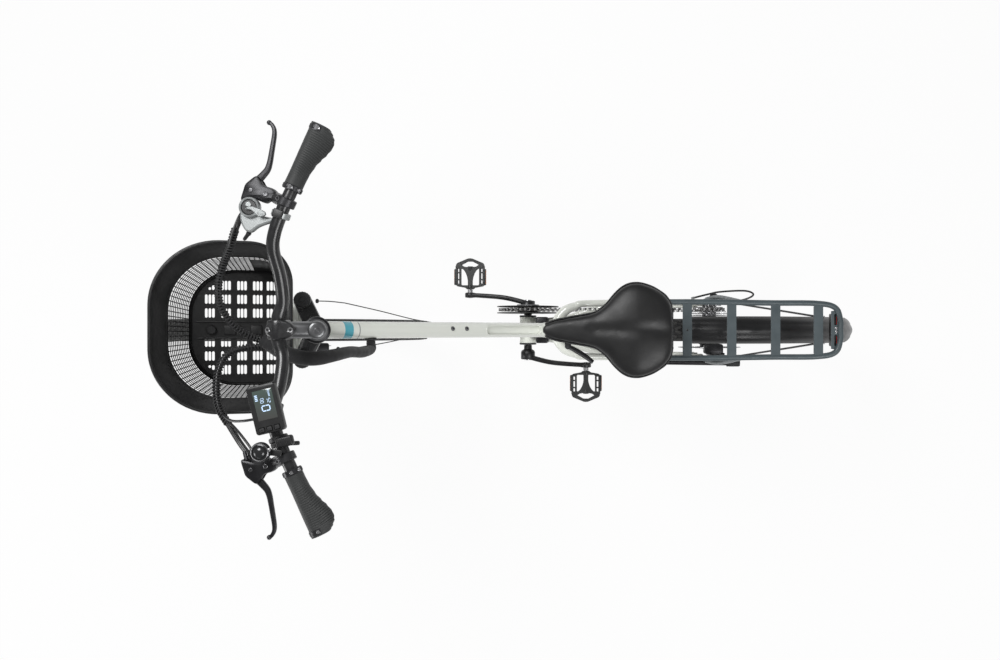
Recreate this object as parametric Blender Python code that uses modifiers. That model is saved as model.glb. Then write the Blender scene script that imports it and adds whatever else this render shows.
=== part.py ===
"""Electric bicycle with a step-through frame, a suspension fork, a basket on the fork and a rear rack.

Units are metres. +Z is up, +X points to the rear and +Y to the rider's right. The origin lies on the
ground under the middle of the bicycle's length.
"""

import math

import bmesh
import bpy
from mathutils import Matrix, Vector

# Clearances
GAP = 0.0003
RUNNING = 0.0004
CLAMP_GAP = 0.0008

# Driving geometry of the bicycle
WHEELBASE = 1.056
CHAINSTAY = 0.472
WHEEL_RADIUS = 0.335
BRACKET_HEIGHT = 0.290
HEAD_ANGLE = math.radians(72)
SEAT_ANGLE = math.radians(68.3)
FORK_RAKE = 0.042

# Frame tubes and the seat collar
HEAD_TUBE_RADIUS = 0.022
HEAD_TUBE_LOW = 0.457
HEAD_TUBE_LENGTH = 0.160
UPPER_TUBE_RADIUS = 0.0175
UPPER_TUBE_HEAD = 0.555
UPPER_TUBE_SEAT = 0.151
LOWER_TUBE_RADIUS = 0.0180
LOWER_TUBE_HEAD = 0.478
SEAT_TUBE_RADIUS = 0.0170
SEAT_TUBE_LENGTH = 0.320
SHELL_RADIUS = 0.0215
SHELL_WIDTH = 0.068
CUP_WIDTH = 0.0045
CHANNEL_WIDTH = 0.021
CHANNEL_DEPTH = 0.010
CHANNEL_LENGTH = 0.165
CHAINSTAY_RADIUS = 0.0095
SEATSTAY_RADIUS = 0.0080
SEATSTAY_JOIN = 0.214
DROPOUT_SPACING = 0.135
DROPOUT_THICKNESS = 0.006
HANGER_DROP = -0.030
COLLAR_RADIUS = 0.0215
COLLAR_HEIGHT = 0.016

# Steering column, measured along its axis from the foot of the front axle
STEERER_RADIUS = 0.0143
CROWN_LOW = 0.410
CROWN_HEIGHT = 0.034
CROWN_MIDDLE = 0.0284
CROWN_LENGTH = 0.038
CROWN_BOSS_RADIUS = 0.0185
HEADSET_CUP_HEIGHT = 0.011
HEADSET_RADIUS = 0.026
STEM_UP = 0.752
STEM_HEIGHT = 0.040
STEM_REACH = 0.063
STEM_RADIUS = 0.0205
STEM_CLAMP_WIDTH = 0.035
BAR_CLAMP_RADIUS = 0.0127
BAR_RADIUS = 0.0110
LEG_SPACING = 0.125
LEG_AHEAD = 0.028
LEG_RADIUS = 0.0175
LEG_TOP = 0.290
STANCHION_RADIUS = 0.0140
STANCHION_LOW = 0.120
KNOB_RADIUS = 0.0172
KNOB_TOP = 0.474

# Wheels
TYRE_WIDTH = 0.052
TYRE_HEIGHT = 0.050
RIM_DEPTH = 0.020
RIM_WIDTH = 0.030
FRONT_HUB_RADIUS = 0.0165
FRONT_FLANGE_RADIUS = 0.027
FRONT_FLANGE_SPACING = 0.058
FRONT_HUB_WIDTH = 0.098
MOTOR_RADIUS = 0.062
MOTOR_WIDTH = 0.062
MOTOR_OFFSET = -0.002
AXLE_RADIUS = 0.005
REAR_AXLE_RADIUS = 0.006
SPOKE_RADIUS = 0.0011
SPOKES_PER_FLANGE = 12
WHEEL_STEPS = 28
DISC_RADIUS = 0.080
DISC_THICKNESS = 0.002
DISC_BORE = 0.0117
DISC_ARMS = 5

# Drive
CRANK_LENGTH = 0.152
CHAINLINE = 0.053
CHAINRING_TEETH = 36
RING_ARMS = 5
RING_THICKNESS = 0.0030
GUARD_RADIUS = 0.0805
GUARD_SPACING = 0.0165
GUARD_THICKNESS = 0.0025
SPIDER_RADIUS = 0.0270
SPINDLE_RADIUS = 0.0085
BOSS_RADIUS = 0.0190
ARM_OUTER = 0.098
COGS = (14, 16, 18, 20, 22, 24, 28)
COG_IN_USE = COGS.index(18)
COG_PITCH = 0.0050
COG_THICKNESS = 0.0020
CHAIN_PITCH = 0.0127
CHAIN_WIDTH = 0.0072
CHAIN_HALF_HEIGHT = 0.0041
PULLEY_TEETH = 11
PULLEY_PIN_RADIUS = 0.0030
PEDAL_LENGTH = 0.082
PEDAL_WIDTH = 0.081
PEDAL_INNER = 0.107
PEDAL_THICKNESS = 0.013
PEDAL_PIN_RADIUS = 0.0048

# Rack, mudguard and basket
RACK_HEIGHT = 0.745
RACK_WIDTH = 0.130
RACK_END_WIDTH = 0.124
RACK_RAIL_RADIUS = 0.0060
RACK_LEG_RADIUS = 0.0050
RACK_FRONT = -0.155
RACK_REAR = 0.232
MUDGUARD_GAP = 0.017
MUDGUARD_WIDTH = 0.057
MUDGUARD_WALL = 0.0022
MUDGUARD_CURVE = math.radians(72)
MUDGUARD_DEPTH = 0.016
MUDGUARD_STAY_RADIUS = 0.0024
BASKET_LENGTH = 0.244
BASKET_WIDTH = 0.325
BASKET_DEPTH = 0.235
BASKET_WALL = 0.003
BASKET_AHEAD = 0.045
BASKET_LOW = 0.425

# Seat
SEATPOST_RADIUS = 0.0143
SEATPOST_BORE_DEPTH = 0.235
SEATPOST_INSERTED = 0.135
SADDLE_REACH = 0.571
SADDLE_HEIGHT = 0.0725
SADDLE_NOSE = 0.136
RAIL_RADIUS = 0.0035

# Power and kickstand
BATTERY_LOW = 0.262
BATTERY_HIGH = 0.455
BATTERY_DEPTH = 0.068
BATTERY_WIDTH = 0.068
CONTROLLER_SIZE = (0.030, 0.067, 0.0515)
KICKSTAND_PIN_RADIUS = 0.0050
KICKSTAND_LENGTH = 0.271

# Controls and wiring
GRIP_CLAMP_RADIUS = 0.0165
LEVER_PIN_RADIUS = 0.0026
LEVER_HALF = 0.0046
DISPLAY_SIZE = (0.0490, 0.0820, 0.0130)
DISPLAY_TURN = math.radians(13.6)
BUTTON_PITCH = 0.013
BUTTON_LENGTH = 0.0088
BUTTON_WIDTH = 0.0074
THROTTLE_RADIUS = 0.0160
HOSE_RADIUS = 0.0026
WRAP_RADIUS = 0.0050
SLEEVE_RADIUS = 0.0105
SLEEVE_ALONG = 0.120

# Overall length: front of the tyre to the back of the mudguard
REAR_FROM_BRACKET = math.sqrt(CHAINSTAY ** 2 - (WHEEL_RADIUS - BRACKET_HEIGHT) ** 2)
MUDGUARD_RADIUS = WHEEL_RADIUS + MUDGUARD_GAP
MUDGUARD_OUTER = MUDGUARD_RADIUS + MUDGUARD_WALL / 2
FRONT_END = REAR_FROM_BRACKET - WHEELBASE - WHEEL_RADIUS
REAR_END = REAR_FROM_BRACKET + MUDGUARD_OUTER
BRACKET = Vector((-(FRONT_END + REAR_END) / 2, 0, BRACKET_HEIGHT))
REAR_AXLE = Vector((BRACKET.x + REAR_FROM_BRACKET, 0, WHEEL_RADIUS))
FRONT_AXLE = Vector((REAR_AXLE.x - WHEELBASE, 0, WHEEL_RADIUS))
STEER_AXIS = Vector((math.cos(HEAD_ANGLE), 0, math.sin(HEAD_ANGLE)))
STEER_AHEAD = Vector((-math.sin(HEAD_ANGLE), 0, math.cos(HEAD_ANGLE)))
STEER_FOOT = FRONT_AXLE - STEER_AHEAD * FORK_RAKE
SEAT_AXIS = Vector((math.cos(SEAT_ANGLE), 0, math.sin(SEAT_ANGLE)))
RIGHT = Vector((0, 1, 0))
UP = Vector((0, 0, 1))
REARWARD = Vector((1, 0, 0))


def on_steering(up, ahead=0.0, side=0.0):
    """A point by its height along the steering axis, its distance ahead of it and its side."""
    return STEER_FOOT + STEER_AXIS * up + STEER_AHEAD * ahead + RIGHT * side


def on_seat_tube(up, behind=0.0, side=0.0):
    normal = Vector((SEAT_AXIS.z, 0, -SEAT_AXIS.x))
    return BRACKET + SEAT_AXIS * up + normal * behind + RIGHT * side


HEAD_TUBE_HIGH = HEAD_TUBE_LOW + HEAD_TUBE_LENGTH
UPPER_TUBE_START = on_steering(UPPER_TUBE_HEAD)
UPPER_TUBE_END = on_seat_tube(UPPER_TUBE_SEAT)
LOWER_TUBE_START = on_steering(LOWER_TUBE_HEAD)
UPPER_TUBE_AXIS = (UPPER_TUBE_END - UPPER_TUBE_START).normalized()
BAR_CLAMP = on_steering(STEM_UP + 0.006, STEM_REACH)
STEERING_CENTRE = on_steering(HEAD_TUBE_LOW)
ROOT_DROP = CHAIN_HALF_HEIGHT + 2 * GAP
GUIDE_PULLEY = REAR_AXLE + Vector((0.014, 0, -0.072))
TENSION_PULLEY = REAR_AXLE + Vector((0.000, 0, -0.126))
ARM_INNER = CHAINLINE + GUARD_SPACING / 2 + GUARD_THICKNESS / 2 + GAP

for old in list(bpy.data.objects):
    bpy.data.objects.remove(old, do_unlink=True)

PARTS = bpy.data.collections.new("electric_bicycle")
CUTTERS = bpy.data.collections.new("cutters")
bpy.context.scene.collection.children.link(PARTS)
bpy.context.scene.collection.children.link(CUTTERS)


def paint(name, colour, roughness, metallic=0.0):
    material = bpy.data.materials.new(name)
    material.use_nodes = True
    shader = material.node_tree.nodes["Principled BSDF"]
    shader.inputs["Base Color"].default_value = (*colour, 1)
    shader.inputs["Roughness"].default_value = roughness
    shader.inputs["Metallic"].default_value = metallic
    return material


WHITE = paint("frame_white", (0.78, 0.80, 0.72), 0.25)
BLACK = paint("black_plastic", (0.012, 0.013, 0.014), 0.45)
BLACK_METAL = paint("black_metal", (0.02, 0.02, 0.022), 0.35, 0.6)
RUBBER = paint("rubber", (0.018, 0.018, 0.019), 0.75)
SILVER = paint("silver", (0.62, 0.63, 0.64), 0.3, 1.0)
STEEL = paint("steel", (0.40, 0.41, 0.42), 0.35, 1.0)
RACK_GREY = paint("rack_grey", (0.075, 0.095, 0.105), 0.45)
LEATHER = paint("saddle_leather", (0.02, 0.02, 0.021), 0.4)
RED = paint("red", (0.6, 0.02, 0.02), 0.3)


def turn_to(axis):
    return Vector((0, 0, 1)).rotation_difference(Vector(axis)).to_matrix()


def stored(shape):
    mesh = bpy.data.meshes.new("shape")
    shape.to_mesh(mesh)
    shape.free()
    return mesh


def baked(helper, weld=1e-6):
    """The helper's shape with its modifiers as a closed mesh, in world space."""
    bpy.context.view_layer.update()
    graph = bpy.context.evaluated_depsgraph_get()
    mesh = bpy.data.meshes.new_from_object(helper.evaluated_get(graph))
    mesh.transform(helper.matrix_world)
    bpy.data.objects.remove(helper, do_unlink=True)
    shape = bmesh.new()
    shape.from_mesh(mesh)
    bmesh.ops.remove_doubles(shape, verts=shape.verts, dist=weld)
    bmesh.ops.recalc_face_normals(shape, faces=shape.faces)
    shape.to_mesh(mesh)
    shape.free()
    return mesh


def helper_object(data):
    helper = bpy.data.objects.new("helper", data)
    CUTTERS.objects.link(helper)
    return helper


def rod(start, end, radius, end_radius=None, sides=None):
    """A round bar. Its number of sides follows its radius unless it is given."""
    if sides is None:
        sides = 8 if radius < 0.005 else 10 if radius < 0.012 else 12
    shape = bmesh.new()
    length = (end - start).length
    wide = radius if end_radius is None else end_radius
    bmesh.ops.create_cone(
        shape, cap_ends=True, segments=sides, radius1=radius, radius2=wide, depth=length
    )
    shape.transform(Matrix.Translation((start + end) / 2) @ turn_to(end - start).to_4x4())
    return stored(shape)


def block(centre, size, rotation=None, bevel=0.0, segments=1):
    """A box whose size runs along its own X, Y and Z, turned by a 3 by 3 rotation."""
    shape = bmesh.new()
    bmesh.ops.create_cube(shape, size=1)
    bmesh.ops.scale(shape, vec=size, verts=shape.verts)
    if bevel:
        bmesh.ops.bevel(
            shape, geom=shape.edges[:], offset=bevel, segments=segments, affect="EDGES", profile=0.5
        )
    turned_by = rotation.to_4x4() if rotation else Matrix.Identity(4)
    shape.transform(Matrix.Translation(centre) @ turned_by)
    return stored(shape)


def ball(centre, radius, squash=1.0, axis=UP):
    shape = bmesh.new()
    bmesh.ops.create_uvsphere(shape, u_segments=8, v_segments=4, radius=radius)
    bmesh.ops.scale(shape, vec=(1, 1, squash), verts=shape.verts)
    shape.transform(Matrix.Translation(centre) @ turn_to(axis).to_4x4())
    return stored(shape)


def frame_of(along, side=RIGHT):
    """A rotation whose X runs along a direction and whose Y runs to a side."""
    first = Vector(along).normalized()
    third = first.cross(side).normalized()
    return Matrix((first, third.cross(first), third)).transposed()


def smooth_route(points, closed=False, steps=4):
    """Points read from a Catmull-Rom curve through the given points."""
    points = [Vector(point) for point in points]
    count = len(points)
    route = []
    for index in range(count if closed else count - 1):
        if closed:
            before, here, there, after = (points[(index + k) % count] for k in (-1, 0, 1, 2))
        else:
            here, there = points[index], points[index + 1]
            before = points[index - 1] if index else here * 2 - there
            after = points[index + 2] if index + 2 < count else there * 2 - here
        for step in range(steps):
            t = step / steps
            route.append(
                (
                    here * 2
                    + (there - before) * t
                    + (before * 2 - here * 5 + there * 4 - after) * t ** 2
                    + (here * 3 - before - there * 3 + after) * t ** 3
                )
                / 2
            )
    if not closed:
        route.append(points[-1])
    return route


def wire_curve(route, radius, resolution=2, closed=False, widths=None):
    curve = bpy.data.curves.new("wire", "CURVE")
    curve.dimensions = "3D"
    curve.bevel_depth = radius
    curve.bevel_resolution = resolution
    curve.use_fill_caps = True
    spline = curve.splines.new("POLY")
    spline.points.add(len(route) - 1)
    for index, (point, place) in enumerate(zip(spline.points, route)):
        point.co = (*place, 1)
        point.radius = widths[index] if widths else 1.0
    spline.use_cyclic_u = closed
    return curve


def bent_rod(points, radius, resolution=2, closed=False, steps=3, widths=None):
    """A closed tube through the points. The widths, one a point, multiply the radius."""
    route = smooth_route(points, closed, steps)
    shares = None
    if widths:
        shares = []
        for index in range(len(widths) - 1):
            for step in range(steps):
                shares.append(widths[index] + (widths[index + 1] - widths[index]) * step / steps)
        shares.append(widths[-1])
    return baked(helper_object(wire_curve(route, radius, resolution, closed, shares)))


def turned(profile, centre, axis, steps=18):
    """A solid of revolution. The profile is a list of (radius, height), from top to bottom outside."""
    mesh = bpy.data.meshes.new("profile")
    ring = profile[0][0] > 0
    edges = [(k, k + 1) for k in range(len(profile) - 1)]
    if ring:
        edges.append((len(profile) - 1, 0))
    mesh.from_pydata([(radius, 0, height) for radius, height in profile], edges, [])
    helper = helper_object(mesh)
    screw = helper.modifiers.new("turn", "SCREW")
    screw.steps = steps
    screw.render_steps = steps
    screw.use_merge_vertices = True
    screw.merge_threshold = 1e-5
    helper.matrix_world = Matrix.Translation(centre) @ turn_to(axis).to_4x4()
    return baked(helper)


def disc_profile(outer, low, high, inner=0.0):
    if inner:
        return [(inner, high), (outer, high), (outer, low), (inner, low)]
    return [(0, high), (outer, high), (outer, low), (0, low)]


def outlined(outline, thickness, origin, rotation, holes=()):
    """A flat plate of an outline in its own XY plane, with holes, centred on its thickness."""
    curve = bpy.data.curves.new("outline", "CURVE")
    curve.dimensions = "2D"
    curve.fill_mode = "BOTH"
    curve.extrude = thickness / 2
    for loop in (outline, *holes):
        spline = curve.splines.new("POLY")
        spline.points.add(len(loop) - 1)
        for point, place in zip(spline.points, loop):
            point.co = (place[0], place[1], 0, 1)
        spline.use_cyclic_u = True
    helper = helper_object(curve)
    helper.matrix_world = Matrix.Translation(origin) @ rotation.to_4x4()
    return baked(helper)


def arc(centre, radius, start, end, count):
    """Points on an arc in a plane, with its angles in degrees."""
    return [
        (
            centre[0] + radius * math.cos(math.radians(start + (end - start) * k / count)),
            centre[1] + radius * math.sin(math.radians(start + (end - start) * k / count)),
        )
        for k in range(count + 1)
    ]


def together(meshes):
    """Separate shapes as one mesh."""
    shape = bmesh.new()
    for mesh in meshes:
        shape.from_mesh(mesh)
    return stored(shape)


def mirrored(mesh):
    """The same shape on the other side of the bicycle's middle plane."""
    shape = bmesh.new()
    shape.from_mesh(mesh)
    shape.transform(Matrix.Scale(-1, 4, RIGHT))
    bmesh.ops.reverse_faces(shape, faces=shape.faces)
    return stored(shape)


BODIES = {}


def body(name, origin, parent=None):
    """An empty on the joint's axis that carries the pieces of one moving body."""
    empty = bpy.data.objects.new("body_" + name, None)
    PARTS.objects.link(empty)
    empty.parent = BODIES[parent][0] if parent else None
    empty.location = origin - (BODIES[parent][1] if parent else Vector((0, 0, 0)))
    BODIES[name] = (empty, Vector(origin))


def piece(name, body_name, material, shapes, cuts=(), angle=35):
    """One named piece: the union of its shapes, less its cuts, on the origin of its body."""
    empty, origin = BODIES[body_name]
    mesh = shapes[0].copy()
    mesh.transform(Matrix.Translation(-origin))
    mesh.name = name
    made = bpy.data.objects.new(name, mesh)
    PARTS.objects.link(made)
    made.parent = empty
    mesh.materials.clear()
    mesh.materials.append(material)
    for operation, group in (("UNION", shapes[1:]), ("DIFFERENCE", cuts)):
        for other in group:
            tool = helper_object(other.copy())
            tool.name = "cutter_" + name
            tool.hide_render = True
            tool.display_type = "WIRE"
            cut = made.modifiers.new(operation.lower(), "BOOLEAN")
            cut.operation = operation
            cut.object = tool
    mesh.shade_smooth()
    mesh.set_sharp_from_angle(angle=math.radians(angle))
    return made


def cable(name, body_name, material, points, radius, resolution=2, steps=3, closed=False):
    """A wire or hose that stays a curve object."""
    empty, origin = BODIES[body_name]
    route = [point - origin for point in smooth_route(points, closed, steps)]
    made = bpy.data.objects.new(name, wire_curve(route, radius, resolution, closed))
    PARTS.objects.link(made)
    made.parent = empty
    made.data.materials.append(material)
    return made


# Bodies, each on its own joint's axis
SEAT_LEVER_PIVOT = on_seat_tube(SEAT_TUBE_LENGTH - COLLAR_HEIGHT / 2, 0, -COLLAR_RADIUS - 0.016)
KICKSTAND_PIVOT = REAR_AXLE + Vector((-0.185, -0.0800, BRACKET_HEIGHT - WHEEL_RADIUS - 0.002))
RIGHT_PEDAL_AXLE = BRACKET + Vector((-CRANK_LENGTH, 0, -0.004))
LEFT_PEDAL_AXLE = BRACKET + Vector((CRANK_LENGTH, 0, 0.004))
LEVER_PIVOT = BAR_CLAMP + Vector((-0.034, 0.238, 0.030))
SHIFTER_CENTRE = BAR_CLAMP + Vector((-0.032, 0.2075, 0.046))
BELL_CENTRE = BAR_CLAMP + Vector((-0.004, -0.2030, 0.0710))

body("frame", Vector((0, 0, 0)))
body("steering", STEERING_CENTRE, "frame")
body("fork_lowers", on_steering(0, LEG_AHEAD), "steering")
body("front_wheel", FRONT_AXLE, "fork_lowers")
body("rear_wheel", REAR_AXLE, "frame")
body("freewheel", REAR_AXLE, "frame")
body("guide_pulley", GUIDE_PULLEY, "frame")
body("tension_pulley", TENSION_PULLEY, "frame")
body("crank", BRACKET, "frame")
body("pedal_right", RIGHT_PEDAL_AXLE, "crank")
body("pedal_left", LEFT_PEDAL_AXLE, "crank")
body("seatpost", on_seat_tube(SEAT_TUBE_LENGTH), "frame")
body("seat_lever", SEAT_LEVER_PIVOT, "frame")
body("kickstand", KICKSTAND_PIVOT, "frame")
body("brake_lever_right", LEVER_PIVOT, "steering")
body("brake_lever_left", Vector((LEVER_PIVOT.x, -LEVER_PIVOT.y, LEVER_PIVOT.z)), "steering")
body("shift_lever", SHIFTER_CENTRE, "steering")
body("bell_dome", BELL_CENTRE, "steering")


def main_frame():
    """The tubes from the head to the bracket shell, with the cups pressed into both."""
    half_shell = SHELL_WIDTH / 2
    half_cups = half_shell + CUP_WIDTH
    low_cup = on_steering(HEAD_TUBE_LOW - HEADSET_CUP_HEIGHT)
    high_cup = on_steering(HEAD_TUBE_HIGH + HEADSET_CUP_HEIGHT)
    shapes = [
        rod(on_steering(HEAD_TUBE_LOW), on_steering(HEAD_TUBE_HIGH), HEAD_TUBE_RADIUS, sides=16),
        rod(low_cup, on_steering(HEAD_TUBE_LOW + 0.003), HEADSET_RADIUS - 0.002, sides=16),
        rod(on_steering(HEAD_TUBE_HIGH - 0.003), high_cup, HEADSET_RADIUS, sides=16),
        rod(UPPER_TUBE_START, UPPER_TUBE_END, UPPER_TUBE_RADIUS, sides=14),
        rod(LOWER_TUBE_START, BRACKET, LOWER_TUBE_RADIUS, sides=14),
        rod(BRACKET, on_seat_tube(SEAT_TUBE_LENGTH), SEAT_TUBE_RADIUS, sides=16),
        rod(BRACKET - RIGHT * half_shell, BRACKET + RIGHT * half_shell, SHELL_RADIUS, sides=16),
    ]
    for side in (1, -1):
        start = BRACKET + RIGHT * side * (half_shell - 0.003)
        shapes.append(rod(start, BRACKET + RIGHT * side * half_cups, SHELL_RADIUS + 0.0008, sides=16))
    cuts = [
        rod(on_steering(HEAD_TUBE_LOW), on_steering(HEAD_TUBE_HIGH), STEERER_RADIUS + 0.0015),
        rod(low_cup - STEER_AXIS * 0.01, high_cup + STEER_AXIS * 0.01, STEERER_RADIUS + RUNNING, sides=16),
        rod(
            on_seat_tube(SEAT_TUBE_LENGTH - SEATPOST_BORE_DEPTH),
            on_seat_tube(SEAT_TUBE_LENGTH + 0.01),
            SEATPOST_RADIUS + RUNNING,
            sides=16,
        ),
        rod(BRACKET - RIGHT * half_shell * 0.8, BRACKET + RIGHT * half_shell * 0.8, SPINDLE_RADIUS + 0.004),
        rod(
            BRACKET - RIGHT * half_cups * 1.2,
            BRACKET + RIGHT * half_cups * 1.2,
            SPINDLE_RADIUS + RUNNING,
            sides=16,
        ),
        block(
            UPPER_TUBE_END
            - UPPER_TUBE_AXIS * (SEAT_TUBE_RADIUS + 0.012 + CHANNEL_LENGTH / 2)
            + Vector((-UPPER_TUBE_AXIS.z, 0, UPPER_TUBE_AXIS.x)) * UPPER_TUBE_RADIUS,
            (CHANNEL_LENGTH, CHANNEL_WIDTH, 2 * CHANNEL_DEPTH),
            frame_of(UPPER_TUBE_AXIS),
        ),
    ]
    piece("main_frame", "frame", WHITE, shapes, cuts)


def seatstay_route(side):
    """The broad yoke beside the seat tube and the stay down to the dropout."""
    join = on_seat_tube(SEATSTAY_JOIN)
    return [
        join + Vector((0.004, side * 0.0100, 0)),
        join + Vector((0.013, side * 0.0310, 0)),
        join + Vector((0.029, side * 0.0480, 0)),
        join + Vector((0.052, side * 0.0575, -0.001)),
        join + Vector((0.085, side * 0.0640, -0.004)),
        REAR_AXLE + Vector((-0.100, side * (DROPOUT_SPACING / 2 + 0.0005), 0.075)),
        REAR_AXLE + Vector((-0.022, side * (DROPOUT_SPACING / 2 + 0.0010), 0.020)),
    ]


def seatstay(side, clearance=0.0):
    widths = [radius + clearance for radius in (0.0128, 0.0124, 0.0116, 0.0096, *[SEATSTAY_RADIUS] * 3)]
    return bent_rod(seatstay_route(side), 1.0, resolution=1, steps=2, widths=widths)


def seat_tube_space(clearance=GAP):
    return rod(BRACKET, on_seat_tube(SEAT_TUBE_LENGTH + 0.05), SEAT_TUBE_RADIUS + clearance, sides=18)


def rear_triangle():
    """Chainstays and seat stays, coped to the shell and the seat tube, with their dropouts."""
    half = DROPOUT_SPACING / 2
    centre = half + DROPOUT_THICKNESS / 2
    for side, name in ((1, "right"), (-1, "left")):
        chainstay = bent_rod(
            [
                BRACKET + Vector((0.010, side * 0.021, 0.001)),
                BRACKET + Vector((0.070, side * 0.024, 0.006)),
                BRACKET + Vector((0.115, side * 0.033, 0.012)),
                BRACKET + Vector((0.160, side * 0.050, 0.018)),
                BRACKET + Vector((0.230, side * 0.060, 0.026)),
                REAR_AXLE + Vector((-0.030, side * half, -0.004)),
            ],
            CHAINSTAY_RADIUS,
            resolution=1,
            steps=2,
        )
        plate = outlined(
            arc((0, 0), 0.020, -100, 80, 8) + [(-0.012, 0.036), (-0.046, 0.010), (-0.046, -0.014)],
            DROPOUT_THICKNESS,
            REAR_AXLE + RIGHT * side * centre,
            frame_of(REARWARD, UP),
        )
        shapes = [chainstay, seatstay(side), plate]
        if side > 0:
            ear = REAR_AXLE + Vector((0.013, centre, HANGER_DROP * 0.72))
            shapes.append(block(ear, (0.020, DROPOUT_THICKNESS * 0.98, 0.034)))
        else:
            pivot = KICKSTAND_PIVOT
            shapes.append(block(pivot + Vector((0, 0.018, 0.009)), (0.034, 0.026, 0.038), bevel=0.002))
            shapes.append(rod(pivot + RIGHT * 0.010, pivot - RIGHT * 0.012, KICKSTAND_PIN_RADIUS, sides=12))
        cuts = [
            rod(REAR_AXLE, REAR_AXLE + RIGHT * side * DROPOUT_SPACING, REAR_AXLE_RADIUS + GAP, sides=16),
            rod(BRACKET - RIGHT * SHELL_WIDTH, BRACKET + RIGHT * SHELL_WIDTH, SHELL_RADIUS + GAP, sides=16),
            seat_tube_space(),
        ]
        piece(f"rear_stays_{name}", "frame", WHITE, shapes, cuts)


def wheel(prefix, body_name, centre):
    """Tyre and rim of one wheel."""
    half = TYRE_WIDTH / 2
    inner = WHEEL_RADIUS - TYRE_HEIGHT
    middle = inner + TYRE_HEIGHT * 0.55
    tall = WHEEL_RADIUS - middle
    outside = [
        (middle + tall * math.sin(math.radians(a)), half * math.cos(math.radians(a)))
        for a in range(0, 181, 45)
    ]
    bead = RIM_WIDTH / 2 - 0.002
    profile = [(inner, bead)] + outside + [(inner, -bead)]
    tyre = turned(profile, centre, RIGHT, steps=WHEEL_STEPS)
    piece(prefix + "_tyre", body_name, RUBBER, [tyre], angle=50)
    high = inner - GAP * 2
    rim = turned(
        [
            (high, RIM_WIDTH / 2),
            (high, -RIM_WIDTH / 2),
            (high - 0.010, -RIM_WIDTH / 2 + 0.002),
            (high - RIM_DEPTH, -0.006),
            (high - RIM_DEPTH, 0.006),
            (high - 0.010, RIM_WIDTH / 2 - 0.002),
        ],
        centre,
        RIGHT,
        steps=WHEEL_STEPS,
    )
    piece(prefix + "_rim", body_name, BLACK_METAL, [rim])
    return high - RIM_DEPTH


def spokes(centre, rim_radius, flange_radius, flange_offsets):
    """Spokes laced in crossing pairs from two flanges towards the rim, clear of each other."""
    made = []
    pitch = 2 * math.pi / SPOKES_PER_FLANGE
    for side, offset in enumerate(flange_offsets):
        for number in range(SPOKES_PER_FLANGE):
            leading = number % 2
            angle = number * pitch + side * pitch / 2
            swing = (1 if leading else -1) * math.radians(42 if flange_radius < 0.04 else 22)
            start_angle = angle + swing
            across = offset + (0.0022 if leading else -0.0022)
            start = Vector(
                (flange_radius * math.cos(start_angle), across, flange_radius * math.sin(start_angle))
            )
            reach = rim_radius * math.cos(math.pi / WHEEL_STEPS) - 0.0008
            end = Vector((reach * math.cos(angle), 0.003 if side else -0.003, reach * math.sin(angle)))
            made.append(rod(centre + start, centre + end, SPOKE_RADIUS, sides=3))
    return together(made)


def brake_disc(prefix, body_name, centre, side_offset, bore):
    """A vented rotor: a ring and its carrier cut from one plate."""
    slots = []
    for number in range(DISC_ARMS):
        start = number * 360 / DISC_ARMS + 14
        inner = arc((0, 0), 0.030, start + 44, start, 2)
        outer = arc((0, 0), DISC_RADIUS - 0.017, start, start + 44, 3)
        slots.append(outer + inner)
    plate = outlined(
        arc((0, 0), DISC_RADIUS, 0, 345, 23),
        DISC_THICKNESS,
        centre + RIGHT * side_offset,
        frame_of(REARWARD, UP),
        slots + [arc((0, 0), bore, 0, 330, 11)],
    )
    piece(prefix + "_brake_disc", body_name, STEEL, [plate])


def front_wheel():
    rim_radius = wheel("front", "front_wheel", FRONT_AXLE)
    flange = FRONT_FLANGE_SPACING / 2
    half = FRONT_HUB_WIDTH / 2
    bore = AXLE_RADIUS + RUNNING
    hub = turned(
        [
            (bore, half),
            (0.011, half),
            (0.011, flange + 0.004),
            (FRONT_FLANGE_RADIUS, flange + 0.004),
            (FRONT_FLANGE_RADIUS, flange - 0.004),
            (FRONT_HUB_RADIUS, flange - 0.010),
            (FRONT_HUB_RADIUS, -flange + 0.010),
            (FRONT_FLANGE_RADIUS, -flange + 0.004),
            (FRONT_FLANGE_RADIUS, -flange - 0.004),
            (0.011, -flange - 0.004),
            (0.011, -half),
            (bore, -half),
        ],
        FRONT_AXLE,
        RIGHT,
        steps=12,
    )
    laced = spokes(FRONT_AXLE, rim_radius, FRONT_FLANGE_RADIUS - 0.003, (-flange, flange))
    piece("front_hub", "front_wheel", BLACK_METAL, [hub, laced])
    brake_disc("front", "front_wheel", FRONT_AXLE, -half + 0.008, DISC_BORE)


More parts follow.
